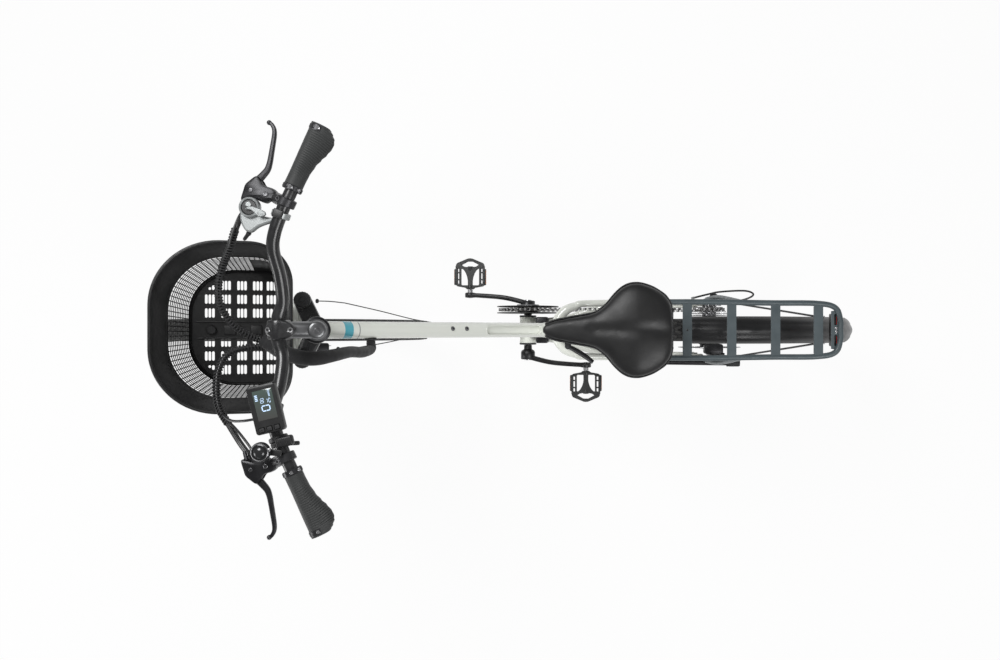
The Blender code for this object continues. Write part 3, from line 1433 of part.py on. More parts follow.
SADDLE_STATIONS = (
    (0.000, 0.0080, 0.0170, 0.014),
    (0.006, 0.0139, 0.0145, 0.022),
    (0.026, 0.0218, 0.0120, 0.030),
    (0.058, 0.0283, 0.0110, 0.034),
    (0.103, 0.0368, 0.0090, 0.040),
    (0.126, 0.0536, 0.0070, 0.045),
    (0.143, 0.0744, 0.0050, 0.050),
    (0.158, 0.0877, 0.0030, 0.054),
    (0.188, 0.0961, 0.0000, 0.058),
    (0.217, 0.0881, 0.0020, 0.056),
    (0.242, 0.0721, 0.0070, 0.050),
    (0.2545, 0.0536, 0.0130, 0.038),
    (0.2580, 0.0360, 0.0190, 0.026),
)


def saddle():
    """A cushion through stations of (distance, half width, fall, depth), on its rails, clamp and post."""
    clamp = on_seat_tube(SADDLE_REACH)
    nose = clamp.x - SADDLE_NOSE
    top = clamp.z + SADDLE_HEIGHT
    length = SADDLE_STATIONS[-1][0]
    sides = 20
    shape = bmesh.new()
    rings = []
    for distance, half, drop, depth in SADDLE_STATIONS:
        ring = []
        for number in range(sides):
            angle = 2 * math.pi * number / sides
            across, height = math.cos(angle), math.sin(angle)
            reach = half * math.copysign(abs(across) ** 0.75, across)
            share = min(distance / 0.10, 1) * min((length - distance) / 0.03, 1)
            if height >= 0:
                groove = 0.0045 * share * math.exp(-((reach / 0.010) ** 2))
                rise = depth * 0.45 * height ** 0.8 - groove
            else:
                rise = -depth * 0.55 * (-height) ** 0.7
                reach *= 1 + 0.35 * height
            ring.append(shape.verts.new((nose + distance, reach, top - drop - depth * 0.45 + rise)))
        rings.append(ring)
    for first, second in zip(rings, rings[1:]):
        for k in range(sides):
            shape.faces.new((first[k], first[(k + 1) % sides], second[(k + 1) % sides], second[k]))
    shape.faces.new(rings[0])
    shape.faces.new(rings[-1])
    bmesh.ops.recalc_face_normals(shape, faces=shape.faces)
    level = clamp.z + 0.006

    def rail(side, radius, extra=0.0):
        return bent_rod(
            [
                Vector((nose + 0.048, side * 0.0090, top - 0.0410 + extra)),
                Vector((nose + 0.056, side * 0.0110, top - 0.0500)),
                Vector((nose + 0.070, side * 0.0150, level + 0.004)),
                Vector((nose + 0.100, side * 0.0220, level)),
                Vector((nose + 0.180, side * 0.0220, level)),
                Vector((nose + 0.205, side * 0.0300, level + 0.003)),
                Vector((nose + 0.222, side * 0.0360, top - 0.0580)),
                Vector((nose + 0.227, side * 0.0375, top - 0.0500 + extra)),
            ],
            radius,
            resolution=1,
            steps=1,
        )

    sockets = [rail(side, RAIL_RADIUS + GAP, GAP) for side in (1, -1)]
    piece("saddle", "seatpost", LEATHER, [stored(shape)], sockets, angle=60)
    bridge = Vector((nose + 0.068, 0.0145, level + 0.0055))
    shapes = [
        rod(
            on_seat_tube(SEAT_TUBE_LENGTH - SEATPOST_INSERTED),
            on_seat_tube(SADDLE_REACH - 0.011),
            SEATPOST_RADIUS,
            sides=16,
        ),
        block(Vector((clamp.x, 0, level - 0.007)), (0.036, 0.056, 0.012), None, 0.002),
        rod(Vector((clamp.x, -0.024, level)), Vector((clamp.x, 0.024, level)), 0.0060, sides=8),
        rod(bridge, Vector((bridge.x, -bridge.y, bridge.z)), RAIL_RADIUS * 0.95, sides=8),
        rail(1, RAIL_RADIUS),
        rail(-1, RAIL_RADIUS),
    ]
    piece("seatpost", "seatpost", BLACK_METAL, shapes)


def seat_collar():
    """Collar at the top of the seat tube with two ears and the pin of its quick-release lever."""
    low = SEAT_TUBE_LENGTH - COLLAR_HEIGHT
    pivot = SEAT_LEVER_PIVOT
    ring = rod(on_seat_tube(low), on_seat_tube(SEAT_TUBE_LENGTH), COLLAR_RADIUS, sides=16)
    ears = block(pivot + RIGHT * 0.009, (COLLAR_HEIGHT * 0.9, 0.028, 0.012), frame_of(SEAT_AXIS), 0.002)
    slot = turned(disc_profile(0.0145, -0.0036, 0.0036, 0.0020), pivot, SEAT_AXIS, 12)
    bore = rod(
        on_seat_tube(low - 0.01),
        on_seat_tube(SEAT_TUBE_LENGTH + 0.01),
        SEAT_TUBE_RADIUS + RUNNING,
        sides=16,
    )
    piece("seat_collar", "frame", BLACK_METAL, [ring, ears], [bore, slot])
    reach = Vector((0.066, -0.037, 0.0))
    reach -= SEAT_AXIS * reach.dot(SEAT_AXIS)
    lie = frame_of(reach, SEAT_AXIS.cross(reach))
    arm = block(pivot + reach / 2, (reach.length, 0.0110, 0.0060), lie, 0.002)
    hub = rod(pivot - SEAT_AXIS * 0.0030, pivot + SEAT_AXIS * 0.0030, 0.0070, sides=12)
    hole = rod(pivot - SEAT_AXIS * 0.01, pivot + SEAT_AXIS * 0.01, 0.0020 + RUNNING, sides=12)
    piece("seat_lever", "seat_lever", BLACK_METAL, [hub, arm], [hole])


def power():
    """Battery behind the seat tube, hollowed for the wheel and docked by a tongue, and the controller."""
    middle = (BATTERY_LOW + BATTERY_HIGH) / 2
    front = COLLAR_RADIUS + 0.0013
    case = block(
        on_seat_tube(middle, front + BATTERY_DEPTH / 2),
        (BATTERY_HIGH - BATTERY_LOW, BATTERY_WIDTH, BATTERY_DEPTH),
        frame_of(SEAT_AXIS),
        0.010,
        2,
    )
    tongue_length = SEAT_TUBE_LENGTH - COLLAR_HEIGHT - BATTERY_LOW - 0.008
    tongue_reach = front + 0.010 - SEAT_TUBE_RADIUS - GAP
    tongue = block(
        on_seat_tube(BATTERY_LOW + 0.002 + tongue_length / 2, front + 0.010 - tongue_reach / 2),
        (tongue_length, 0.016, tongue_reach),
        frame_of(SEAT_AXIS),
    )
    side = RIGHT * BATTERY_WIDTH
    wheel_space = rod(REAR_AXLE - side, REAR_AXLE + side, WHEEL_RADIUS + 0.012, sides=96)
    piece("battery_case", "frame", BLACK, [case, tongue], [wheel_space])
    controller = block(BRACKET + Vector((0.0405, 0, 0.0410)), CONTROLLER_SIZE, None, 0.003)
    piece("controller_case", "frame", BLACK, [controller], [seat_tube_space()])


def kickstand():
    """The leg, folded along the left chainstay, with its rubber foot moulded on."""
    pivot = KICKSTAND_PIVOT
    start = pivot - RIGHT * 0.0025
    end = pivot + Vector((KICKSTAND_LENGTH, -0.0070, 0.004))
    shapes = [
        rod(pivot + RIGHT * 0.0045, pivot - RIGHT * 0.0090, 0.0110, sides=12),
        rod(start, end, 0.0075, sides=10),
        rod(end - (end - start).normalized() * 0.036, end, 0.0095, 0.0088, sides=10),
    ]
    bore = rod(pivot + RIGHT * 0.02, pivot - RIGHT * 0.02, KICKSTAND_PIN_RADIUS + RUNNING, sides=12)
    piece("kickstand_leg", "kickstand", BLACK_METAL, shapes, [bore])


def left_controls():
    """Display with its buttons, throttle with its paddle, and the bell."""
    tilt = Matrix.Rotation(DISPLAY_TURN, 3, "Z")
    centre = BAR_CLAMP + Vector((0.0022, -0.1316, 0.0630))
    length, width, height = DISPLAY_SIZE
    foot = bar_point(3, 0.88, -1)
    along = (bar_point(4, 0, -1) - bar_point(3, 0, -1)).normalized()
    foot_height = centre.z - foot.z
    button_places = [
        centre + tilt @ Vector((x, 0.0075 - width / 2, height / 2))
        for x in (-BUTTON_PITCH, 0, BUTTON_PITCH)
    ]
    pocket_size = (BUTTON_LENGTH + 0.0008, BUTTON_WIDTH + 0.0008, 0.0060)
    pockets = [block(place, pocket_size, tilt) for place in button_places]
    piece(
        "display",
        "steering",
        BLACK,
        [
            block(centre, DISPLAY_SIZE, tilt, 0.004),
            rod(foot - along * 0.006, foot + along * 0.006, BAR_RADIUS + 0.004),
            block(foot + UP * foot_height * 0.6, (0.018, 0.014, foot_height * 0.75)),
        ],
        [rod(foot - along * 0.03, foot + along * 0.03, BAR_RADIUS + CLAMP_GAP, sides=20), *pockets],
    )
    for number, place in enumerate(button_places, 1):
        body(f"button_{number}", place, "steering")
        cap = block(place, (BUTTON_LENGTH, BUTTON_WIDTH, 0.0042), tilt, 0.0008)
        piece(f"display_button_{number}", f"button_{number}", BLACK, [cap])
    middle = bar_point(5, 0.55, -1)
    outward = (bar_point(6, 0, -1) - bar_point(5, 0, -1)).normalized()
    body("throttle", middle, "steering")
    turning = THROTTLE_RADIUS - 0.0005
    piece(
        "throttle_housing",
        "steering",
        BLACK,
        [
            rod(middle - outward * 0.0090, middle - outward * 0.0003, THROTTLE_RADIUS, sides=16),
            block(middle + Vector((0.0142, 0.0020, 0.0150)), (0.030, 0.018, 0.012), tilt, 0.003),
        ],
        [
            rod(middle - outward * 0.03, middle + outward * 0.03, BAR_RADIUS + CLAMP_GAP, sides=18),
            rod(middle, middle + outward * 0.03, turning + 0.0006, sides=16),
        ],
    )
    paddle_place = middle + outward * 0.0042 + Vector((0.0190, 0, -0.0070))
    piece(
        "throttle_paddle",
        "throttle",
        BLACK,
        [
            rod(middle + outward * 0.0003, middle + outward * 0.0080, turning, sides=16),
            block(paddle_place, (0.022, 0.0070, 0.0065), Matrix.Rotation(math.radians(25), 3, "Y"), 0.0015),
        ],
        [rod(middle - outward * 0.03, middle + outward * 0.03, BAR_RADIUS + CLAMP_GAP, sides=18)],
    )
    foot = bar_point(5, 0.936, -1)
    plate = Vector((foot.x, foot.y, BELL_CENTRE.z - 0.0050))
    arm = Vector((BELL_CENTRE.x, BELL_CENTRE.y, plate.z)) - plate
    bar_space = rod(bar_point(5, 0.5, -1), bar_point(6, 0.1, -1), BAR_RADIUS + CLAMP_GAP, sides=18)
    piece(
        "bell_base",
        "steering",
        BLACK,
        [
            rod(foot, plate, 0.0040, sides=12),
            block(plate + arm / 2, (arm.length + 0.010, 0.010, 0.0040), frame_of(arm), 0.001),
            rod(plate + arm, BELL_CENTRE - UP * 0.0020, 0.0060, sides=12),
        ],
        [bar_space],
    )
    dome = [
        (0.0, 0.0120),
        (0.0080, 0.0105),
        (0.0130, 0.0065),
        (0.0162, 0.0010),
        (0.0164, -0.0010),
        (0.0, -0.0016),
    ]
    piece("bell_dome", "bell_dome", BLACK, [turned(dome, BELL_CENTRE, UP, 16)])


def shifter():
    """The shifter's clamp and base on the right of the bar, and the dial with its thumb tab."""
    middle = bar_point(5, 0.70)
    along = (bar_point(6) - bar_point(5)).normalized()
    arm_start = SHIFTER_CENTRE - UP * 0.0050
    arm_end = middle + Vector((-0.010, 0, -0.0015))
    arm = arm_end - arm_start
    piece(
        "shifter_housing",
        "steering",
        SILVER,
        [
            rod(middle - along * 0.0050, middle + along * 0.0050, BAR_RADIUS + 0.005),
            turned(disc_profile(0.0150, -0.0060, -GAP), SHIFTER_CENTRE, UP, 14),
            block((arm_start + arm_end) / 2, (arm.length + 0.006, 0.014, 0.008), frame_of(arm), 0.002),
        ],
        [rod(middle - along * 0.03, middle + along * 0.03, BAR_RADIUS + CLAMP_GAP, sides=18)],
    )
    dial = [(0.0, 0.0090), (0.0120, 0.0085), (0.0160, 0.0040), (0.0166, 0.0), (0.0, 0.0)]
    tab = block(
        SHIFTER_CENTRE + Vector((0.019, -0.010, 0.0040)),
        (0.020, 0.009, 0.005),
        Matrix.Rotation(math.radians(-28), 3, "Z"),
        0.0015,
    )
    piece("shift_lever", "shift_lever", SILVER, [turned(dial, SHIFTER_CENTRE, UP, 16), tab])


def cables():
    """Two wrapped bundles from the controls, meeting in one sleeve that runs to the upper tube."""
    sleeve_start = BAR_CLAMP + Vector((-0.033, -0.034, -0.080))
    sleeve_way = Vector((0.85, -0.52, -0.05)).normalized()
    aside = sleeve_way.cross(UP).normalized() * (WRAP_RADIUS + 0.0004)

    def at(*places):
        return [BAR_CLAMP + Vector(place) for place in places]

    def bundle(name, start, way, middle, end, branch):
        trunk = [start + way * GAP, start + way * 0.008, *middle, end - sleeve_way * 0.012, end]
        wide = WRAP_RADIUS / HOSE_RADIUS
        widths = [1.0, 1.0, 1.0, *[wide] * (len(trunk) - 3)]
        shapes = [
            bent_rod(trunk, HOSE_RADIUS, steps=1, widths=widths),
            bent_rod(branch, HOSE_RADIUS * 0.85, resolution=1, steps=2),
        ]
        piece(name, "steering", RUBBER, shapes)

    bundle(
        "cable_bundle_right",
        HOSE_START,
        HOSE_WAY,
        at(
            (-0.0605, 0.1943, 0.0176),
            (-0.0780, 0.1680, 0.0020),
            (-0.0905, 0.1453, -0.0120),
            (-0.1110, 0.1168, -0.0320),
            (-0.1250, 0.0800, -0.0440),
            (-0.1240, 0.0400, -0.0540),
            (-0.1020, 0.0040, -0.0660),
            (-0.0740, -0.0140, -0.0760),
        ),
        sleeve_start - aside - sleeve_way * GAP,
        at(
            (-0.0455, 0.1996, 0.0428),
            (-0.0620, 0.1860, 0.0340),
            (-0.0780, 0.1640, 0.0100),
            (-0.0930, 0.1420, -0.0140),
        ),
    )
    bundle(
        "cable_bundle_left",
        Vector((HOSE_START.x, -HOSE_START.y, HOSE_START.z)),
        Vector((HOSE_WAY.x, -HOSE_WAY.y, HOSE_WAY.z)),
        at(
            (-0.0620, -0.1943, 0.0160),
            (-0.0880, -0.1650, 0.0000),
            (-0.1110, -0.1380, -0.0150),
            (-0.1210, -0.1080, -0.0270),
            (-0.1230, -0.0740, -0.0390),
            (-0.1140, -0.0470, -0.0500),
            (-0.0950, -0.0350, -0.0620),
            (-0.0690, -0.0310, -0.0730),
        ),
        sleeve_start + aside - sleeve_way * GAP,
        at(
            (-0.0194, -0.1500, 0.0610),
            (-0.0450, -0.1540, 0.0500),
            (-0.0746, -0.1560, 0.0220),
            (-0.0990, -0.1490, -0.0040),
            (-0.1130, -0.1350, -0.0170),
        ),
    )
    tube_at = UPPER_TUBE_START + UPPER_TUBE_AXIS * SLEEVE_ALONG - RIGHT * (UPPER_TUBE_RADIUS + 0.0006)
    cable(
        "wiring_sleeve",
        "steering",
        RUBBER,
        [
            sleeve_start,
            sleeve_start + sleeve_way * 0.006,
            sleeve_start + sleeve_way * 0.012,
            *at(
                (0.0050, -0.0500, -0.0840),
                (0.0330, -0.0530, -0.0980),
                (0.0560, -0.0480, -0.1350),
                (0.0700, -0.0430, -0.1900),
            ),
            tube_at + Vector((-0.004, -0.0270, 0.0500)),
            tube_at - RIGHT * 0.0220,
            tube_at - RIGHT * 0.0110,
            tube_at,
        ],
        SLEEVE_RADIUS,
        resolution=2,
        steps=2,
    )


main_frame()
rear_triangle()
front_wheel()
rear_wheel()
freewheel()
front_steering()
stem()
handlebar()
grips()
brake_controls()
fork_lowers()
rear_caliper()
crankset()
pedals()
chain_and_derailleur()
rear_rack()
mudguard()
basket()
saddle()
seat_collar()
power()
kickstand()
left_controls()
shifter()
cables()
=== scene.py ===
import math

import bmesh
import bpy
from mathutils import Matrix, Vector


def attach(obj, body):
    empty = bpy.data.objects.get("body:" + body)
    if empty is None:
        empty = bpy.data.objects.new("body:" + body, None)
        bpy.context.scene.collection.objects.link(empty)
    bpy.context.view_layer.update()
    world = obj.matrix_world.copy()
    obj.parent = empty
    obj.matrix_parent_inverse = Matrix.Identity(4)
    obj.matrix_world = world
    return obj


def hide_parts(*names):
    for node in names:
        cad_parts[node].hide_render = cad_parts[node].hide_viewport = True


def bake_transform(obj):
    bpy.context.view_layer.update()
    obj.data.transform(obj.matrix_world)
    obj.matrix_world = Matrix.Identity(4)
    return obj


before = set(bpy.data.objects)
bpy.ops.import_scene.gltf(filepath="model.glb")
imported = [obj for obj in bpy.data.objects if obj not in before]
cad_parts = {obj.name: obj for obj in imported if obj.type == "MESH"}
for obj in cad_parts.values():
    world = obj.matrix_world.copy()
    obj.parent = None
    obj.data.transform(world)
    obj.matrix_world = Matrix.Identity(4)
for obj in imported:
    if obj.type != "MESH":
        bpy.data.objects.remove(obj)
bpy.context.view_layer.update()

scene = bpy.context.scene

RIGHT = Vector((0, 1, 0))
UP = Vector((0, 0, 1))
REARWARD = Vector((1, 0, 0))
BRACKET = Vector((0.0491, 0, 0.290))
REAR_AXLE = Vector((0.51895, 0, 0.335))
FRONT_AXLE = Vector((-0.53705, 0, 0.335))
STEER_AXIS = Vector((0.309017, 0, 0.951057))
STEER_AHEAD = Vector((-0.951057, 0, 0.309017))
STEER_FOOT = Vector((-0.497106, 0, 0.322021))
SEAT_AXIS = Vector((0.369747, 0, 0.929133))
SEAT_BEHIND = Vector((0.929133, 0, -0.369747))
GUIDE_PULLEY = Vector((0.53295, 0, 0.263))
TENSION_PULLEY = Vector((0.51895, 0, 0.209))
CHAINLINE = 0.053
WHEEL_RADIUS = 0.335


def on_steering(up, ahead=0.0, side=0.0):
    return STEER_FOOT + STEER_AXIS * up + STEER_AHEAD * ahead + RIGHT * side


def on_seat_tube(up, behind=0.0, side=0.0):
    return BRACKET + SEAT_AXIS * up + SEAT_BEHIND * behind + RIGHT * side


BAR_CLAMP = on_steering(0.758, 0.063)
UPPER_START = on_steering(0.555)
UPPER_END = on_seat_tube(0.151)
LOWER_START = on_steering(0.478)
UPPER_AXIS = (UPPER_END - UPPER_START).normalized()
LOWER_AXIS = (BRACKET - LOWER_START).normalized()
UPPER_RADIUS = 0.0175
LOWER_RADIUS = 0.018
SEAT_TUBE_RADIUS = 0.017
SEAT_TUBE_LENGTH = 0.320
COLLAR_HEIGHT = 0.016
HEAD_RADIUS = 0.022
SHELL_RADIUS = 0.0215
CHANNEL_MIDDLE = UPPER_END - UPPER_AXIS * 0.1115
SIDES = ((1, "right"), (-1, "left"))
LEG_AHEAD = 0.028
LEG_SIDE = 0.0625
KICKSTAND_X = 0.33395
FRONT_DISC = -0.041
REAR_DISC = -0.0443
DROPOUT_OUTSIDE = 0.0738

# The camera looks straight down over the saddle, its lens shifted to the left, as in the photograph
CAMERA_HEIGHT = 2.6
CAMERA_BEHIND_BRACKET = 0.189
eye = bpy.data.cameras.new("camera")
eye.sensor_width = 36
eye.lens = 31.68
eye.shift_x = -0.1
camera = bpy.data.objects.new("camera", eye)
camera.location = (BRACKET.x + CAMERA_BEHIND_BRACKET, 0, CAMERA_HEIGHT)
scene.collection.objects.link(camera)
scene.camera = camera
scene.view_settings.view_transform = "Standard"


# Shapes

def turn_to(axis):
    return UP.rotation_difference(Vector(axis)).to_matrix()


def frame_of(along, side=RIGHT):
    """A rotation whose X runs along a direction and whose Y runs to a side."""
    first = Vector(along).normalized()
    third = first.cross(side).normalized()
    return Matrix((first, third.cross(first), third)).transposed()


# Square to the steering axis, along the seat tube, and lying as the fork crown does
SQUARE_TO_FORK = frame_of(-STEER_AHEAD)
ALONG_SEAT_TUBE = frame_of(SEAT_AXIS)
CROWN_LEVEL = Matrix((STEER_AHEAD, RIGHT, STEER_AHEAD.cross(RIGHT))).transposed()


def stored(shape):
    mesh = bpy.data.meshes.new("shape")
    shape.to_mesh(mesh)
    shape.free()
    return mesh


def helper_object(data):
    helper = bpy.data.objects.new("helper", data)
    scene.collection.objects.link(helper)
    return helper


def baked(helper):
    """The helper's shape with its modifiers as a mesh in world space."""
    bpy.context.view_layer.update()
    graph = bpy.context.evaluated_depsgraph_get()
    mesh = bpy.data.meshes.new_from_object(helper.evaluated_get(graph))
    mesh.transform(helper.matrix_world)
    bpy.data.objects.remove(helper, do_unlink=True)
    return mesh


def smooth_route(points, steps=6, closed=False):
    """Points of a Catmull-Rom curve through the given points."""
    points = [Vector(point) for point in points]
    count = len(points)
    route = []
    for index in range(count if closed else count - 1):
        if closed:
            before, here, there, after = (points[(index + k) % count] for k in (-1, 0, 1, 2))
        else:
            here, there = points[index], points[index + 1]
            before = points[index - 1] if index else here * 2 - there
            after = points[index + 2] if index + 2 < count else there * 2 - here
        for step in range(steps):
            t = step / steps
            route.append(
                (
                    here * 2
                    + (there - before) * t
                    + (before * 2 - here * 5 + there * 4 - after) * t ** 2
                    + (here * 3 - before - there * 3 + after) * t ** 3
                )
                / 2
            )
    if not closed:
        route.append(points[-1])
    return route


def frames_along(route, closed=False, side=None):
    """Two directions square to the route at each of its points, which never twist suddenly."""
    count = len(route)
    tangents = []
    for index in range(count):
        if closed:
            tangent = route[(index + 1) % count] - route[index - 1]
        else:
            tangent = route[min(index + 1, count - 1)] - route[max(index - 1, 0)]
        tangents.append(tangent.normalized())
    first = side or (UP if abs(tangents[0].z) < 0.8 else RIGHT)
    normal = (first - tangents[0] * first.dot(tangents[0])).normalized()
    pairs = []
    for index, tangent in enumerate(tangents):
        if index:
            normal = tangents[index - 1].rotation_difference(tangent) @ normal
        normal = (normal - tangent * normal.dot(tangent)).normalized()
        pairs.append((normal, tangent.cross(normal)))
    return pairs


def sweep(route, section, closed=False, caps=True, side=None):
    """A skin of rings along a route; section(index, share) gives each ring's flat points."""
    shape = bmesh.new()
    count = len(route)
    rings = []
    pairs = frames_along(route, closed, side)
    for index, (point, (normal, binormal)) in enumerate(zip(route, pairs)):
        share = index / (count if closed else max(count - 1, 1))
        rings.append([shape.verts.new(point + normal * a + binormal * b) for a, b in section(index, share)])
    around = len(rings[0])
    joins = list(zip(rings, rings[1:]))
    if closed:
        joins.append((rings[-1], rings[0]))
    for near, far in joins:
        for k in range(around):
            shape.faces.new((near[k], near[(k + 1) % around], far[(k + 1) % around], far[k]))
    if caps and not closed:
        shape.faces.new(rings[0])
        shape.faces.new(rings[-1])
    bmesh.ops.recalc_face_normals(shape, faces=shape.faces)
    return stored(shape)


def circle(radius, sides, stretch=1.0):
    return [
        (radius * math.cos(2 * math.pi * k / sides), radius * stretch * math.sin(2 * math.pi * k / sides))
        for k in range(sides)
    ]


def squarish(tall, wide, power, sides):
    """An oval section with flattened sides. A power of 1 gives a plain oval."""
    return [
        (
            tall * math.copysign(abs(math.cos(a)) ** power, math.cos(a)),
            wide * math.copysign(abs(math.sin(a)) ** power, math.sin(a)),
        )
        for a in (2 * math.pi * k / sides + 0.001 for k in range(sides))
    ]


def between(values, place):
    """The value at a fractional place in a list of values."""
    low = int(place)
    return values[low] + (values[low + 1] - values[low]) * (place - low)


def tube(points, radius, sides=20, steps=6, closed=False, end_radius=None, stretch=1.0, side=None):
    """A round tube on a smooth curve through the points."""
    route = smooth_route(points, steps, closed) if len(points) > 2 else [Vector(p) for p in points]
    last = radius if end_radius is None else end_radius
    return sweep(
        route,
        lambda index, share: circle(radius + (last - radius) * share, sides, stretch),
        closed,
        side=side,
    )


def lathe(profile, centre, axis, steps=48, start=0.0, turn=360.0):
    """A turned shape. An entry is (radius, height), or (radius, height, corners) for flats there."""
    shape = bmesh.new()
    rotation = turn_to(axis)
    full = turn >= 360
    count = steps if full else steps + 1
    rings = []
    for k in range(count):
        angle = math.radians(start + turn * k / steps)
        ring = []
        for entry in profile:
            radius, height = entry[0], entry[1]
            if len(entry) > 2:
                span = 2 * math.pi / entry[2]
                radius = radius / math.cos((angle + span / 2) % span - span / 2)
            flat = Vector((radius * math.cos(angle), radius * math.sin(angle), height))
            ring.append(shape.verts.new(Vector(centre) + rotation @ flat))
        rings.append(ring)
    joins = list(zip(rings, rings[1:]))
    if full:
        joins.append((rings[-1], rings[0]))
    for near, far in joins:
        for k in range(len(profile) - 1):
            shape.faces.new((near[k], near[k + 1], far[k + 1], far[k]))
    bmesh.ops.remove_doubles(shape, verts=shape.verts, dist=1e-6)
    bmesh.ops.recalc_face_normals(shape, faces=shape.faces)
    return stored(shape)


def loft(rings, caps=True):
    """A skin over rings of points, all with the same number of them."""
    shape = bmesh.new()
    made = [[shape.verts.new(point) for point in ring] for ring in rings]
    count = len(made[0])
    for near, far in zip(made, made[1:]):
        for k in range(count):
            shape.faces.new((near[k], near[(k + 1) % count], far[(k + 1) % count], far[k]))
    if caps:
        shape.faces.new(made[0])
        shape.faces.new(made[-1])
    bmesh.ops.recalc_face_normals(shape, faces=shape.faces)
    return stored(shape)


def box(centre, size, rotation=None, bevel=0.001, segments=3):
    shape = bmesh.new()
    bmesh.ops.create_cube(shape, size=1)
    bmesh.ops.scale(shape, vec=size, verts=shape.verts)
    if bevel:
        bmesh.ops.bevel(
            shape, geom=shape.edges[:], offset=bevel, segments=segments, affect="EDGES", profile=0.5
        )
    turned_by = rotation.to_4x4() if rotation else Matrix.Identity(4)
    shape.transform(Matrix.Translation(centre) @ turned_by)
    return stored(shape)


def plate(outline, thickness, origin, rotation, holes=(), bevel=0.0003):
    """A flat plate of an outline in its own XY plane, with holes and softened edges."""
    curve = bpy.data.curves.new("outline", "CURVE")
    curve.dimensions = "2D"
    curve.fill_mode = "BOTH"
    curve.extrude = thickness / 2 - bevel
    curve.bevel_depth = bevel
    curve.bevel_resolution = 1
    curve.offset = -bevel
    for loop in (outline, *holes):
        spline = curve.splines.new("POLY")
        spline.points.add(len(loop) - 1)
        for point, place in zip(spline.points, loop):
            point.co = (place[0], place[1], 0, 1)
        spline.use_cyclic_u = True
    helper = helper_object(curve)
    helper.matrix_world = Matrix.Translation(origin) @ rotation.to_4x4()
    return baked(helper)


def arc(centre, radius, start, end, count):
    """Points on an arc in a plane, with its angles in degrees."""
    return [
        (
            centre[0] + radius * math.cos(math.radians(start + (end - start) * k / count)),
            centre[1] + radius * math.sin(math.radians(start + (end - start) * k / count)),
        )
        for k in range(count + 1)
    ]


def soft_rectangle(x, y, radius, count):
    """A rectangle with round corners, whose centres lie at x and y."""
    loop = []
    for a, b, start in ((x, y, 0), (-x, y, 90), (-x, -y, 180), (x, -y, 270)):
        loop += arc((a, b), radius, start, start + 90, count)
    return loop


def around(radius, level, angle):
    """A place at an angle round an axis that runs across the bicycle."""
    return Vector((radius * math.cos(angle), level, radius * math.sin(angle)))


def round_hole(x, y, radius, count=16):
    return arc((x, y), radius, 0, 360 - 360 / count, count - 1)


def slot_hole(x, y, length, width, turn=0.0, count=6):
    """A stadium-shaped hole whose long side runs along X, turned by an angle."""
    reach = max(length - width, 0.0001) / 2
    loop = arc((reach, 0), width / 2, -90, 90, count) + arc((-reach, 0), width / 2, 90, 270, count)
    cosine, sine = math.cos(turn), math.sin(turn)
    return [(x + a * cosine - b * sine, y + a * sine + b * cosine) for a, b in loop]


def mirrored(mesh):
    """The same shape on the other side of the bicycle's middle plane."""
    shape = bmesh.new()
    shape.from_mesh(mesh)
    shape.transform(Matrix.Scale(-1, 4, RIGHT))
    bmesh.ops.reverse_faces(shape, faces=shape.faces)
    return stored(shape)


def joined(meshes):
    shape = bmesh.new()
    for mesh in meshes:
        shape.from_mesh(mesh)
    return stored(shape)


def cut_by(mesh, cutters, operation="DIFFERENCE"):
    """The mesh less its cutters."""
    target = helper_object(mesh)
    tools = []
    for cutter in cutters:
        tool = helper_object(cutter)
        change = target.modifiers.new("cut", "BOOLEAN")
        change.operation = operation
        change.object = tool
        tools.append(tool)
    result = baked(target)
    for tool in tools:
        bpy.data.objects.remove(tool, do_unlink=True)
    return result


def bolt(centre, axis, radius=0.004, height=0.003, socket=True):
    """A screw head: a domed cap with a six-sided socket, or a hexagon."""
    way = Vector(axis).normalized()
    if socket:
        profile = [
            (0.0, height * 0.35), (radius * 0.46, height * 0.35, 6), (radius * 0.50, height * 0.96, 6),
            (radius * 0.80, height), (radius * 0.97, height * 0.82), (radius, height * 0.55),
            (radius, -0.0005),
        ]
    else:
        profile = [
            (0.0, height), (radius * 0.80, height), (radius * 0.97, height * 0.86, 6),
            (radius, height * 0.2, 6), (radius * 1.1, height * 0.15), (radius * 1.1, -0.0005),
        ]
    return lathe(profile, centre, way, 36)


def weld_bead(branch_at, branch_axis, branch_radius, main_at, main_axis, main_radius, thick=0.0017):
    """A rippled bead where a branch tube meets a main tube; branch_axis points away from the main."""
    branch_axis, main_axis = branch_axis.normalized(), main_axis.normalized()
    normal, other = frames_along([branch_at, branch_at + branch_axis])[0]
    route = []
    for k in range(96):
        angle = 2 * math.pi * k / 96
        start = branch_at + (normal * math.cos(angle) + other * math.sin(angle)) * branch_radius
        gap = start - main_at
        gap_flat = gap - main_axis * gap.dot(main_axis)
        way_flat = branch_axis - main_axis * branch_axis.dot(main_axis)
        a = way_flat.dot(way_flat)
        b = 2 * gap_flat.dot(way_flat)
        c = gap_flat.dot(gap_flat) - main_radius ** 2
        root = b * b - 4 * a * c
        if root < 0:
            root = 0
        route.append(start + branch_axis * ((-b + math.sqrt(root)) / (2 * a)))
    return sweep(
        route,
        lambda index, share: circle(thick * (1 + 0.16 * math.cos(2 * math.pi * index / 3)), 10),
        closed=True,
    )


def piece(name, shapes, body, material, replaces=(), angle=32):
    """One object of the scene, made of shapes, on a body."""
    mesh = joined(shapes) if len(shapes) > 1 else shapes[0]
    mesh.name = name
    mesh.materials.clear()
    mesh.materials.append(material)
    mesh.shade_smooth()
    mesh.set_sharp_from_angle(angle=math.radians(angle))
    made = bpy.data.objects.new(name, mesh)
    scene.collection.objects.link(made)
    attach(made, body)
    if replaces:
        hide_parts(*replaces)
    return made


# Finishes

